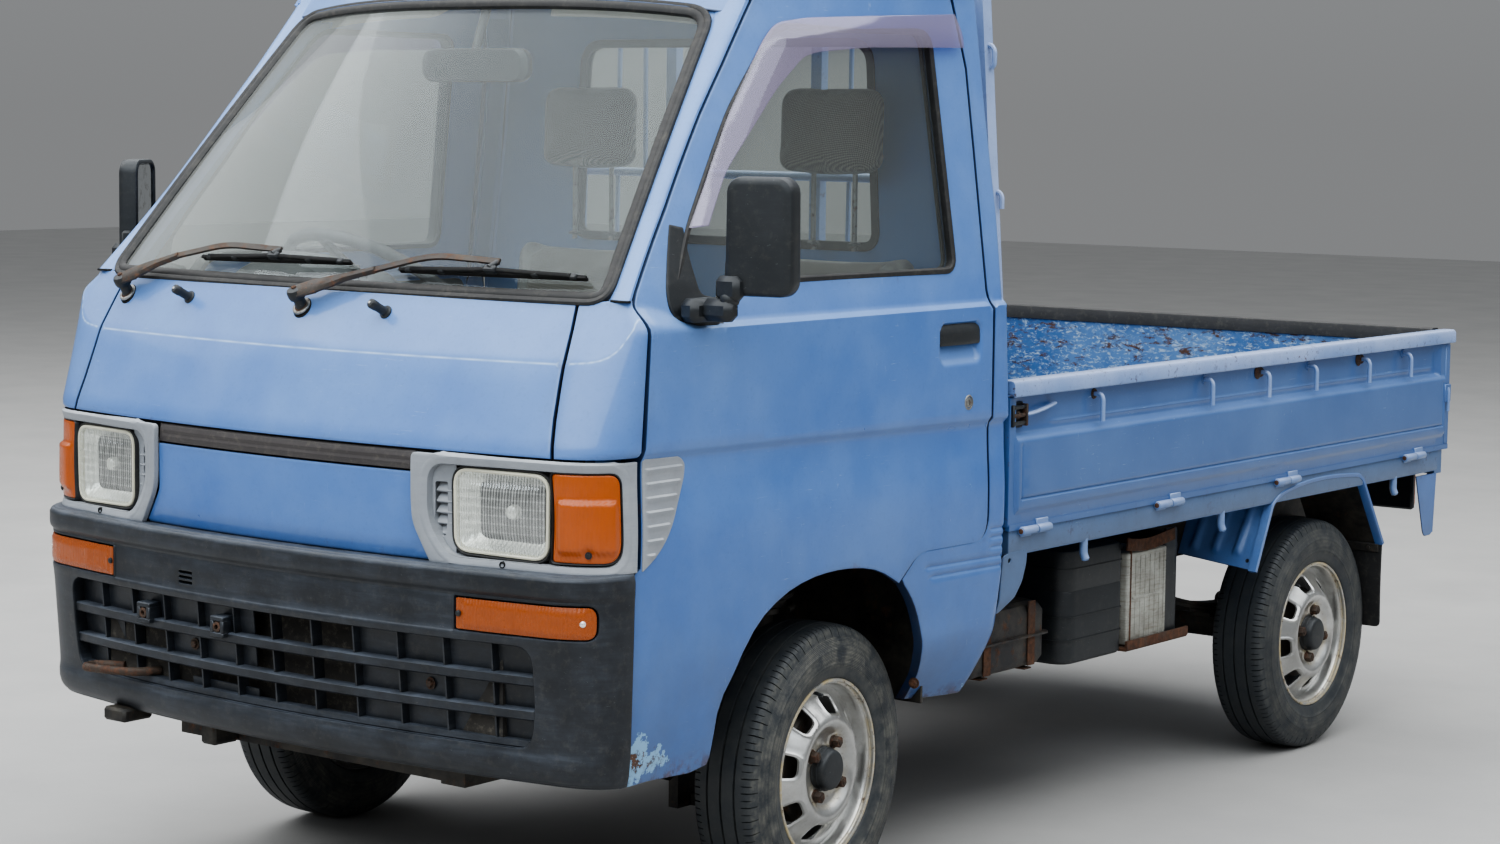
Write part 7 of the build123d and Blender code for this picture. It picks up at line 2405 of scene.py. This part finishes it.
for k_, zc in ((0.98, -28), (1.0, -10), (1.0, 4), (0.96, 9), (0.86, 12.5), (0.5, 14), (0.12, 14.2)):
    rows.append([(x * k_, y * k_ - 4, zc) for x, y in rrect(0, 0, 128, 92, 26, 6)])
V, F = quads(np.array(rows), close_v=True)
n_ = len(rows[0])
sw.add(place((V, [f[::-1] for f in F] + [tuple(range(n_)), tuple((len(rows) - 1) * n_ + j for j in range(n_))[::-1]]), SWM), 0)
sw.obj("hand_wheel_rim_and_spokes", ["vinyl"], "hand_wheel", "steering_wheel", "trim_plastic")
cl = MB()
cl.add(tube([tuple(ct + cdir * d) for d in (44, 60, 200, 420, 780)], [20, 20.5, 20.5, 20.5, 18], 20), 0)
rows = []
for d, k_ in ((52, 0.8), (56, 1.0), (180, 1.05), (300, 0.95), (306, 0.8)):
    rows.append([tuple(ct + cdir * d + xx * (x * k_) + yy * (y * k_ - 6)) for x, y in rrect(0, 0, 96, 86, 24, 6)])
V, F = quads(np.array(rows), close_v=True)
cl.add((V, F + [tuple(range(len(rows[0])))[::-1], tuple((len(rows) - 1) * len(rows[0]) + j for j in range(len(rows[0])))]), 0)
for sg in (1, -1):
    p0 = ct + cdir * 90
    cl.add(tube([tuple(p0 + xx * sg * 30), tuple(p0 + xx * sg * 110 + yy * 10), tuple(p0 + xx * sg * 170 + yy * 20), tuple(p0 + xx * sg * 185 + yy * 22)], [4, 4.5, 6.5, 6], 8), 0)
cl.obj("steering_column_cover", ["vinyl"], "chassis", "steering_column", "trim_plastic")

# inside mirror, sun visors, pedals, levers
it = MB()
rows = []
for y_, k_ in ((-268, 0.90), (-262, 1.0), (-246, 0.985), (-240, 0.93)):
    rows.append([(22 + x * k_, y_, 1528 + z * k_) for x, z in rrect(0, 0, 262, 62, 26, 7)])
V, F = quads(np.array(rows), close_v=True)
n_ = len(rows[0])
it.add((V, F + [tuple(range(n_))[::-1]]), 0)
it.add((np.array(rows[-1]), [tuple(range(n_))]), 2)
it.add(tube(bend([(22, -258, 1556), (22, -246, 1590), (22, -226, 1640)], 10), 9, 12), 0)
for x0, x1 in ((-470, -130), (150, 470)):
    it.add(sheet(bend([(x0, 0, 0), (x1, 0, 0), (x1, 130, 0), (x0, 130, 0)], 20, 5, closed=True)[:, :2],
                 lambda x, v: np.stack([x, -214 + 74 * (x / 503) ** 2 + v * 0.90, 1632 + v * 0.34 - 22 * np.abs(x / 503) ** 3], -1), t=14, tdir=(0, 0, -1), grid=30, roll=5), 1)
for x, w_ in ((-210, 26), (-290, 38), (-372, 34)):
    it.add(tube(bend([(x, -640, 640), (x, -560, 560), (x, -540, 500)], 30), 6, 8), 0)
    it.add(place(cbox(-w_, w_, -5, 5, -26, 26, 4), Matrix.Translation((x, -536, 486)) @ Matrix.Rotation(math.radians(-30), 4, "X")), 3)
it.add(tube(bend([(-60, -260, 420), (-60, -250, 600), (-66, -200, 792)], 40), 7, 10), 3)
it.add(lathe([(-4, 2), (-2, 14), (16, 20), (34, 17), (42, 6), (43, 0.5)], (-66, -200, 790), (0, 0.3, 0.95), 20, closed=False), 0)
it.add(tube(bend([(10, 40, 668), (10, -40, 730), (10, -150, 770)], 30), 11, 10), 0)
it.obj("cab_inner_mirror_visors_levers", ["black", "headlining", "mirror", "rubber"], "chassis", slot="trim_plastic")

# ---- seats -------------------------------------------------------------------------------------
def pillow(prof, hw, r, n=7):
    L = np.asarray(prof, float)
    if area(L) < 0:
        L = L[::-1]
    rows = []
    st = [(-hw + r * (1 - math.sin(t_)), r * (1 - math.cos(t_))) for t_ in np.linspace(math.pi / 2, 0, n)]
    st = [(-hw + r - r * math.cos(t_), r - r * math.sin(t_)) for t_ in np.linspace(0, math.pi / 2, n)]
    st += [(x, 0) for x in np.linspace(-hw + r, hw - r, 9)[1:-1]] + [(-a, b) for a, b in st[::-1]]
    for x, d in st:
        Q = inset(L, d)
        rows.append([(x, a, b) for a, b in Q])
    G = np.array(rows)
    V, F = quads(G, close_v=True)
    k = G.shape[1]
    return V, [f[::-1] for f in F] + [tuple(range(k)), tuple((len(rows) - 1) * k + j for j in range(k))[::-1]]


def stuffed(VF, voxel, cap, press):
    """Pressure-inflated fabric form: remeshed, simulated for 20 frames, growth capped (metres)."""
    me = bpy.data.meshes.new("stuff")
    me.from_pydata(metres(VF[0]).tolist(), [], [tuple(f) for f in VF[1]])
    me.update()
    ob = bpy.data.objects.new("stuff", me)
    bpy.context.scene.collection.objects.link(ob)
    rm = ob.modifiers.new("r", "REMESH")
    rm.mode = "VOXEL"
    rm.voxel_size = voxel
    dg = bpy.context.evaluated_depsgraph_get()
    base = bpy.data.meshes.new_from_object(ob.evaluated_get(dg))
    ob.modifiers.clear()
    ob.data = base
    n = len(base.vertices)
    P0 = np.empty(n * 3)
    base.vertices.foreach_get("co", P0)
    P0 = P0.reshape(-1, 3)
    P1 = P0.copy()
    cm = ob.modifiers.new("c", "CLOTH")
    cs = cm.settings
    cs.quality = 5
    cs.mass = 0.3
    cs.tension_stiffness = cs.compression_stiffness = 12
    cs.shear_stiffness = 6
    cs.bending_stiffness = 0.6
    cs.use_pressure = True
    cs.uniform_pressure_force = press
    cs.effector_weights.gravity = 0
    cm.collision_settings.use_collision = False
    sc = bpy.context.scene
    for f_ in range(1, 21):
        sc.frame_set(f_)
    dg = bpy.context.evaluated_depsgraph_get()
    ev = ob.evaluated_get(dg)
    P1 = np.empty(n * 3)
    ev.data.vertices.foreach_get("co", P1)
    P1 = P1.reshape(-1, 3)
    sc.frame_set(1)
    ob.modifiers.clear()
    D = P1 - P0
    L = np.linalg.norm(D, axis=1)
    D *= (np.minimum(L, cap) / np.maximum(L, 1e-9))[:, None]
    base.vertices.foreach_set("co", (P0 + D).ravel())
    base.update()
    sb = ob.modifiers.new("s", "SUBSURF")
    sb.levels = sb.render_levels = 1
    dg = bpy.context.evaluated_depsgraph_get()
    fin = bpy.data.meshes.new_from_object(ob.evaluated_get(dg))
    bpy.data.objects.remove(ob)
    n = len(fin.vertices)
    V = np.empty(n * 3)
    fin.vertices.foreach_get("co", V)
    N = np.empty(n * 3)
    fin.vertices.foreach_get("normal", N)
    V = V.reshape(-1, 3) * 1000
    V[:, 1] -= YS
    F = [tuple(p.vertices) for p in fin.polygons]
    return V, N.reshape(-1, 3), F


def chan(V, N, where, depth, w):
    """Sewn channel: pulls points in along their normal near where(V) == 0."""
    d = np.abs(where)
    return V - N * (depth * np.exp(-(d / w) ** 2))[:, None]


CU = bend([(a, b, 0) for a, b in [(-118, 676), (318, 676), (330, 784), (-84, 802), (-124, 762)]], [24, 24, 24, 34, 30], 5, closed=True)[:, :2]
V, N, F = stuffed(pillow(CU, 213, 34), 0.0105, 0.024, 3.2)
top = smooth(N[:, 2], 0.2, 0.6)
for y_ in (-20, 90, 200):
    V = chan(V, N, np.where(np.abs(V[:, 0]) < 140, V[:, 1] - y_, 99), 5.0 * top, 7)
for sg in (1, -1):
    V = chan(V, N, V[:, 0] - sg * 142, 6.0 * top, 7)
V = chan(V, N, V[:, 2] - (786 - (V[:, 1] + 84) * 0.04), 4.0 * (1 - top), 6)
cushF = F
cmid = (np.abs(V[:, 0]) < 142) & (top > 0.5)


def seat_obj(name, V, F, x0, mats, sel, node):
    mb = MB().add((V + [x0, 0, 0], F))
    mb.m = [1 if all(sel[i] for i in f) else 0 for f in F]
    ob = mb.obj(name, mats, "chassis", node, "seat_cloth", angle=180)
    return ob


seat_obj("seat_cushion_left", V, F, 322, ["seat_vinyl", "cloth"], cmid, "seat_cushions")
seat_obj("seat_cushion_right", V, F, -300, ["seat_vinyl", "cloth"], cmid, "seat_cushions")
BK = bend([(a, b, 0) for a, b in [(364, 812), (462, 778), (474, 1160), (458, 1180), (430, 1180), (414, 1160)]], [20, 20, 14, 12, 12, 16], 5, closed=True)[:, :2]
V, N, F = stuffed(pillow(BK, 208, 26), 0.0105, 0.020, 3.2)
fr_ = smooth(-N[:, 1], 0.2, 0.6)
for z_ in (900, 1000, 1095):
    V = chan(V, N, np.where(np.abs(V[:, 0]) < 132, V[:, 2] - z_, 99), 4.5 * fr_, 7)
for sg in (1, -1):
    V = chan(V, N, V[:, 0] - sg * 134, 6.0 * fr_, 7)
bmid = (np.abs(V[:, 0]) < 134) & (fr_ > 0.5)
seat_obj("seat_back_left", V, F, 322, ["seat_vinyl", "cloth"], bmid, "seat_backs")
seat_obj("seat_back_right", V, F, -300, ["seat_vinyl", "cloth"], bmid, "seat_backs")
HR = bend([(a, b, 0) for a, b in [(403, 1348), (411, 1333), (457, 1333), (465, 1352), (469, 1476), (455, 1497), (423, 1496), (409, 1476)]], 12, 4, closed=True)[:, :2]
V, N, F = stuffed(pillow(HR, 121, 36), 0.007, 0.012, 4.0)
# fuller towards the corners like the knitted covers in use
V = chan(V, N, V[:, 1] - 452, 2.2, 5)
hsel = np.ones(len(V), bool)
for sx, nm in ((322, "left"), (-300, "right")):
    seat_obj("headrest_pad_" + nm, V, F, sx, ["cloth", "cloth"], hsel, "headrests")
    ps = MB()
    for dx in (-50, 50):
        ps.add(tube([(sx + dx, 447, z) for z in (1180, 1260, 1345)], 5.2, 12), 0)
        ps.add(lathe([(0, 5), (0, 13), (5, 12), (7, 8), (7, 5)], (sx + dx, 447, 1190), (0, 0, 1), 20, closed=True), 1)
    ps.obj("headrest_posts_" + nm, ["zinc", "black"], "chassis", slot="cast_grey")


# =============================================================================
# under the body
# =============================================================================
bt = MB()
L = bend([(400, 898, 0), (594, 898, 0), (596, 1128, 0), (400, 1128, 0)], [10, 42, 24, 6], 7, closed=True)[:, :2]
rows = []
for k_, z in ((6, 322), (0, 328), (0, 470), (1.5, 474), (0, 478), (0, 548), (3, 556), (12, 560)):
    Q = inset(L if area(L) > 0 else L[::-1], k_)
    rows.append([(x, y, z) for x, y in Q])
G = np.array(rows, float)
V, F = quads(G, close_v=True)
n_ = G.shape[1]
bt.add((V, [f[::-1] for f in F] + [tuple(range(n_))[::-1], tuple((len(rows) - 1) * n_ + j for j in range(n_))]), 0)
for z in (372, 420, 520):
    bt.add(strip(np.array([(x, y, z) for x, y in resample(L, 20, closed=False) if x > 430], float), [(-2.5, -1.2), (-2.5, 1.2), (2.5, 1.2), (2.5, -1.2)], up=(0, 0, 1)), 0)
# tray, rear guard panel and strap
bt.add(cbox(402, 606, 1126, 1388, 322, 331, 3), 1)
bt.add(strip(np.array([(604, 1128, 336), (604, 1250, 336), (604, 1386, 337)], float), [(-3, -10), (-3, 8), (3, 8), (3, -10)], up=(0, 0, 1)), 1)
PN = bend([(1306, 330, 0), (1386, 336, 0), (1392, 420, 0), (1390, 540, 0), (1362, 566, 0), (1306, 566, 0)], [4, 20, 40, 40, 30, 4], 6, closed=True)[:, :2]
bt.add(sheet(PN, lambda y, z: np.stack([592 - 26 * smooth(y, 1340, 1392) ** 2 + 2.5 * np.exp(-((z - 520) / 6) ** 2), y, z], -1), t=4, tdir=(-1, 0, 0), grid=9, roll=2,
               holes=[[(1366 + 5 * math.cos(t_), 398 + 5 * math.sin(t_)) for t_ in np.linspace(0, 6.283, 10, endpoint=False)]]), 0)
bt.add(cbox(410, 592, 1304, 1312, 332, 560, 3), 0)
bt.add(strip(bend([(606, 1120, 552), (607, 1200, 543), (606, 1318, 556)], 60), [(-13, -2), (-13, 2), (13, 2), (13, -2)], up=(1, 0, 0)), 1)
bt.add(strip(bend([(604, 1200, 541), (560, 1202, 547), (440, 1202, 547)], 20), [(-17, -2), (-17, 2), (17, 2), (17, -2)], up=(0, 0, 1)), 1)
bt.add(tube([(598, 1150, 546), (598, 1150, 344)], 3, 8), 1)
bt.add(bolt((560, 1202, 549), (0, 0, 1), 6, 6), 1)
bt.obj("battery_box_and_tray", ["black", "rust"], "chassis", "battery_box", "black_plastic")
bb = MB()
rows = []
for k_, z in ((3, 334), (0, 338), (0, 496), (0.8, 498), (0, 500), (0, 528), (3, 531)):
    rows.append([(x, y, z) for x, y in rrect(520, 1219, 158 - 2 * k_, 164 - 2 * k_, 5, 4)])
G = np.array(rows, float)
V, F = quads(G, close_v=True)
n_ = G.shape[1]
bb.add((V, [f[::-1] for f in F] + [tuple(range(n_))[::-1], tuple((len(rows) - 1) * n_ + j for j in range(n_))]) if False else (V, F + [tuple(range(n_))[::-1], tuple((len(rows) - 1) * n_ + j for j in range(n_))]), 0)
for y in (1150, 1170, 1190, 1210, 1230, 1250, 1270, 1288):
    bb.add(cbox(598, 600.5, y - 1.2, y + 1.2, 342, 520, 0.5), 0)
bb.add(cbox(598, 601.5, 1158, 1280, 430, 436, 1), 0)
for y in (1160, 1190, 1220, 1250, 1280):
    bb.add(lathe([(0, 3), (0, 12), (5, 11), (6, 3)], (480, y, 530), (0, 0, 1), 18, closed=True), 0)
for y in (1165, 1275):
    bb.add(lathe([(0, 3), (0, 8), (12, 7), (13, 3)], (560, y, 530), (0, 0, 1), 16, closed=True), 1)
bb.obj("battery_case_body", ["battery", "cast"], "chassis", "battery", "battery_case")

tk = MB()
def tank(x0, x1, y0, y1, z0, z1, r):
    rows = []
    zm = (z0 + z1) / 2
    for k_, z in ((r, z0), (r * 0.35, z0 + r * 0.3), (0, z0 + r), (0, zm - 3), (-9, zm - 2), (-9, zm + 2), (0, zm + 3), (0, z1 - r), (r * 0.35, z1 - r * 0.3), (r, z1)):
        rows.append([(x, y, z) for x, y in rrect((x0 + x1) / 2, (y0 + y1) / 2, x1 - x0 - 2 * k_, y1 - y0 - 2 * k_, 22, 6)])
    G = np.array(rows, float)
    V, F = quads(G, close_v=True)
    n_ = G.shape[1]
    tk.add((V, F + [tuple(range(n_))[::-1], tuple((len(rows) - 1) * n_ + j for j in range(n_))]), 0)
    for y in (y0 + 60, y1 - 60):
        tk.add(strip(np.array([(x0 - 3, y, z1), (x0 - 3, y, z0 + 12), (x0 + 12, y, z0 - 2), (x1 - 12, y, z0 - 2), (x1 + 3, y, z0 + 12), (x1 + 3, y, z1)], float), [(-14, -1.2), (-14, 1.2), (14, 1.2), (14, -1.2)], up=(0, 0.0, 1) if False else (0, 0.001, 1)), 1) if False else None
        for (a, b) in (((x0 - 2, y, z1 + 4), (x0 - 2, y, z0 + 6)), ((x1 + 2, y, z1 + 4), (x1 + 2, y, z0 + 6))):
            tk.add(cbox(a[0] - 1.5, a[0] + 1.5, y - 13, y + 13, b[2], a[2], 0.6), 1)
        tk.add(cbox(x0 + 4, x1 - 4, y - 13, y + 13, z0 - 3, z0, 0.6), 1)


tank(384, 581, 564, 846, 334, 468, 20)
tank(-596, -384, 624, 1116, 334, 518, 24)
tk.add(lathe([(0, 3), (0, 14), (4, 14), (9, 10), (9, 3)], (-490, 860, 331), (0, 0, -1), 18, closed=True), 1)
tk.add(tube(bend([(-590, 700, 470), (-640, 690, 480), (-648, 660, 520), (-648, 640, 570)], 30), 22, 14), 2)
tk.obj("tanks_and_straps", ["tank", "rust", "rubber"], "chassis", "fuel_tank", "tank_steel")

en = MB()
en.add(cbox(-200, 180, -40, 440, 330, 560, 16), 0)
en.add(cbox(-170, 150, 0, 400, 244, 334, 26), 0)
en.add(cbox(-140, 120, 40, 360, 556, 598, 14), 1)
for y in range(20, 400, 34):
    en.add(cbox(-206, 186, y, y + 7, 350, 545, 2), 0)
for x in range(-150, 150, 30):
    en.add(cbox(x, x + 4, 10, 392, 240, 250, 1.5), 0)
for y, x, z, r_ in ((-52, -60, 400, 66), (-52, 80, 470, 46), (-52, -130, 500, 40)):
    en.add(lathe([(0, 8), (0, r_), (3, r_), (6, r_ - 8), (12, r_ - 8), (15, r_), (18, r_), (18, 8)], (x, y - 6, z), (0, 1, 0), 36, closed=True), 1)
en.add(lathe([(0, 4), (0, 17), (5, 15), (8, 10), (8, 4)], (0, 300, 240), (0, 0, -1), 6, closed=True), 1)
for x in (-160, 140):
    for y in range(30, 400, 60):
        en.add(bolt((x, y, 331), (0, 0, -1), 6, 5), 1)
en.obj("engine_unit", ["cast", "chassis"], "chassis", "engine", "cast_grey")

gb = MB()
rows = []
for y, w_, h_, zc in ((450, 120, 86, 372), (476, 118, 84, 366), (500, 96, 74, 358), (560, 84, 64, 354), (620, 78, 58, 350), (686, 60, 50, 344), (700, 38, 38, 341), (716, 30, 30, 339)):
    rows.append([(x, y, zc + z) for x, z in rrect(0, 0, 2 * w_, 2 * h_ * 0.85, min(w_, h_) * 0.5, 6)])
V, F = quads(np.array(rows, float), close_v=True)
n_ = len(rows[0])
gb.add((V, F + [tuple(range(n_))[::-1], tuple((len(rows) - 1) * n_ + j for j in range(n_))]), 0)
for y in (520, 580, 640):
    gb.add(cbox(-88, 88, y, y + 6, 300, 404, 2), 0)
a, b = Vector((0, 690, 339)), Vector((0, 1748, 268))
gb.add(tube([tuple(a + (b - a) * t_) for t_ in (0.0, 0.03, 0.05, 0.07, 0.93, 0.95, 0.97, 1.0)], [26, 26, 34, 27, 27, 34, 26, 26], 24), 1)
gb.obj("gearbox_and_propeller_shaft", ["cast", "chassis"], "chassis", "gearbox_and_shaft", "cast_grey")

ex = MB()
ex.add(lathe([(0, 22), (2, 40), (8, 60), (18, 70), (30, 72), (34, 73.5), (38, 72), (270, 72), (274, 73.5), (278, 72), (292, 70), (302, 60), (308, 40), (310, 22)], (-250, 1330, 330), (0, 1, 0), 40), 0)
ex.add(tube(bend([(-60, 420, 300), (-180, 470, 300), (-250, 560, 318), (-250, 900, 330), (-250, 1335, 330)], 80), 21, 16), 0)
ex.add(tube(bend([(-250, 1636, 330), (-250, 1670, 330), (-268, 1708, 322)], 20), 21, 16), 0)
for y in (640, 1000, 1290, 1645):
    ex.add(lathe([(0, 20), (0, 27), (6, 27), (6, 20)], (-250, y, 330), (0, 1, 0), 24, closed=True), 0)
for y in (1400, 1580):
    ex.add(strip(np.array([(-250 + 74 * math.sin(t_), y, 330 - 74 * math.cos(t_)) for t_ in np.linspace(-2.2, 2.2, 28)], float), [(-9, -1), (-9, 1.5), (9, 1.5), (9, -1)], up=(0, 1, 0)) if False else lathe([(0, 71.5), (0, 74.5), (16, 74.5), (16, 71.5)], (-250, y, 330), (0, 1, 0), 40, closed=True), 0)
    ex.add(tube([(-250, y + 8, 400), (-262, y + 8, 440), (-300, y + 8, 462)], 6, 8), 1)
ex.obj("exhaust_pipe_and_silencer", ["rust", "chassis"], "chassis", "exhaust", "cast_grey")

ls_ = MB()
for i_, (y0, y1) in enumerate(((1500, 2330), (1560, 2260), (1640, 2170), (1730, 2080))):
    yy_ = np.linspace(y0, y1, 26)
    t_ = (yy_ - 1915) / 415
    zc = 318 - i_ * 0 + 68 * t_ ** 2 - 8.5 * i_ + (0.0)
    P = np.stack([np.full(26, 445.0), yy_, zc + 3], 1)
    ls_.add(strip(P, [(-25, -3.6), (-25, 3.6), (25, 3.6), (25, -3.6)], up=(0, 0, 1)), 0)
for y in (1500, 2330):
    ls_.add(lathe([(-27, 8), (-27, 17), (27, 17), (27, 8)], (445, y, 390), (1, 0, 0), 24, closed=True), 0)
    ls_.add(lathe([(-36, 2), (-36, 9), (36, 9), (36, 2)], (445, y, 390), (1, 0, 0), 6, closed=True), 1)
ls_.add(cbox(414, 419, 1476, 1530, 376, 470, 2), 0)
ls_.add(cbox(471, 476, 1476, 1530, 376, 470, 2), 0)
ls_.add(cbox(360, 476, 1480, 1528, 452, 470, 2), 0)
ls_.add(cbox(360, 476, 2300, 2344, 440, 470, 2), 0)
for x in (416, 474):
    ls_.add(cbox(x - 3, x + 3, 2310, 2340, 380, 448, 2), 0)
for y in (1868, 1932):
    ls_.add(tube(bend([(414, y, 300), (414, y, 236), (476, y, 236), (476, y, 300)], 16) if False else bend([(412, y, 285), (412, y, 340), (478, y, 340), (478, y, 285)], 16), 5.5, 8), 1)
ls_.add(cbox(404, 486, 1850, 1950, 282, 292, 2), 0)
ls_.add(tube([(400, 1960, 262), (380, 2040, 360), (370, 2090, 440)], [22, 24, 18], 14), 1)
ls_.both().obj("leaf_spring_packs", ["chassis", "cast"], "chassis", "leaf_springs", "chassis_black")

material_only("rear_axle", "chassis")
material_only("frame_rails", "chassis")
material_only("frame_crossmembers", "chassis")
material_only("front_suspension", "chassis")
material_only("knuckle_left", "cast")
material_only("knuckle_right", "cast")
ax_ = MB()
ax_.add(lathe([(0, 30), (0, 96), (4, 104), (10, 104), (30, 86), (40, 60), (42, 30)], (0, 1900, 265), (0, 1, 0), 40), 0)
for k_ in range(10):
    t_ = k_ * math.pi / 5
    ax_.add(bolt((96 * math.sin(t_), 1912, 265 + 96 * math.cos(t_)), (0, 1, 0), 6, 4), 1)
ax_.add(lathe([(0, 3), (0, 8), (4, 7), (4, 3)], (40, 1945, 250), (0, 1, 0), 6, closed=True), 1)
sus = MB()
kt, kl = np.array([497, 0, 640.0]), np.array([562, 0, 180.0])
t_ = np.linspace(0, 1, 90)
hx_ = []
for q in t_:
    z = 548 + q * 74
    c = kl + (kt - kl) * ((z - 180) / 460)
    hx_.append((c[0] + 46 * math.cos(q * 3 * 2 * math.pi), 46 * math.sin(q * 3 * 2 * math.pi), z))
sus.add(tube(hx_, 6, 8), 0)
ax_.merge(sus.both(), 0)
ax_.obj("axle_cover_and_coil_springs", ["chassis", "cast"], "chassis", slot="chassis_black")


# =============================================================================
# floor, light, camera
# =============================================================================
fl = bpy.data.meshes.new("studio_floor")
n_ = 40
gx_ = np.linspace(-24, 24, n_)
fl.from_pydata([(x, y, -0.0005) for y in gx_ for x in gx_], [], [(j * n_ + i, j * n_ + i + 1, (j + 1) * n_ + i + 1, (j + 1) * n_ + i) for j in range(n_ - 1) for i in range(n_ - 1)])
fl.materials.append(M["floor"])
flo = bpy.data.objects.new("studio_floor", fl)
bpy.context.scene.collection.objects.link(flo)

world = bpy.data.worlds.new("studio")
bpy.context.scene.world = world
world.use_nodes = True
wt = world.node_tree
bg = wt.nodes["Background"]
tc = wt.nodes.new("ShaderNodeTexCoord")
sp = wt.nodes.new("ShaderNodeSeparateXYZ")
wt.links.new(tc.outputs["Generated"], sp.inputs[0])
rp = wt.nodes.new("ShaderNodeValToRGB")
wt.links.new(sp.outputs[2], rp.inputs[0])
e = rp.color_ramp.elements
e[0].position, e[0].color = 0.0, (0.50, 0.51, 0.52, 1)
e[1].position, e[1].color = 0.62, (0.92, 0.96, 1.0, 1)
m_ = e.new(0.16)
m_.color = (0.62, 0.64, 0.66, 1)
wt.links.new(rp.outputs[0], bg.inputs[0])
bg.inputs[1].default_value = 0.44


def area_light(name, loc, target, size, power, col=(1, 1, 1)):
    l = bpy.data.lights.new(name, "AREA")
    l.shape = "RECTANGLE"
    l.size, l.size_y = size
    l.energy = power
    l.color = col
    o = bpy.data.objects.new(name, l)
    o.location = loc
    o.rotation_euler = (Vector(target) - Vector(loc)).to_track_quat("-Z", "Y").to_euler()
    bpy.context.scene.collection.objects.link(o)
    return o


area_light("top_soft", (-0.6, -0.8, 7.0), (-0.6, -0.8, 0.0), (15, 14), 1800, (0.95, 0.98, 1.0))
area_light("front_soft", (1.0, -7.5, 5.0), (0, -0.8, 1.2), (7, 4), 235, (0.84, 0.93, 1.0))
area_light("side_soft", (6.8, -1.0, 5.0), (0, 0, 1.0), (8, 4), 125, (0.88, 0.94, 1.0))
area_light("far_soft", (-6.0, -2.5, 4.5), (0, 0, 1.0), (5, 3), 50)

cam = bpy.data.cameras.new("photo_camera")
cam.sensor_fit = "HORIZONTAL"
cam.sensor_width = 36.0
cam.lens = 2998.3 / 1500 * 36.0
cam.shift_x = (750 - 749.88) / 1500
cam.shift_y = (401.60 - 422.0) / 1500
cam.clip_end = 200
co = bpy.data.objects.new("photo_camera", cam)
yaw, pit, rol = math.radians(37.66), math.radians(5.52), math.radians(0.65)
fwd = np.array([-math.sin(yaw) * math.cos(pit), math.cos(yaw) * math.cos(pit), -math.sin(pit)])
rgt = np.array([math.cos(yaw), math.sin(yaw), 0])
upv = np.cross(rgt, fwd)
r2 = rgt * math.cos(rol) + upv * math.sin(rol)
u2 = -rgt * math.sin(rol) + upv * math.cos(rol)
mw = Matrix(((r2[0], u2[0], -fwd[0], 3.79193), (r2[1], u2[1], -fwd[1], -4.31199 + YS / 1000), (r2[2], u2[2], -fwd[2], 1.44894), (0, 0, 0, 1)))
co.matrix_world = mw
bpy.context.scene.collection.objects.link(co)
bpy.context.scene.camera = co
bpy.context.scene.view_settings.view_transform = "AgX"
bpy.context.scene.view_settings.look = "AgX - Medium High Contrast"
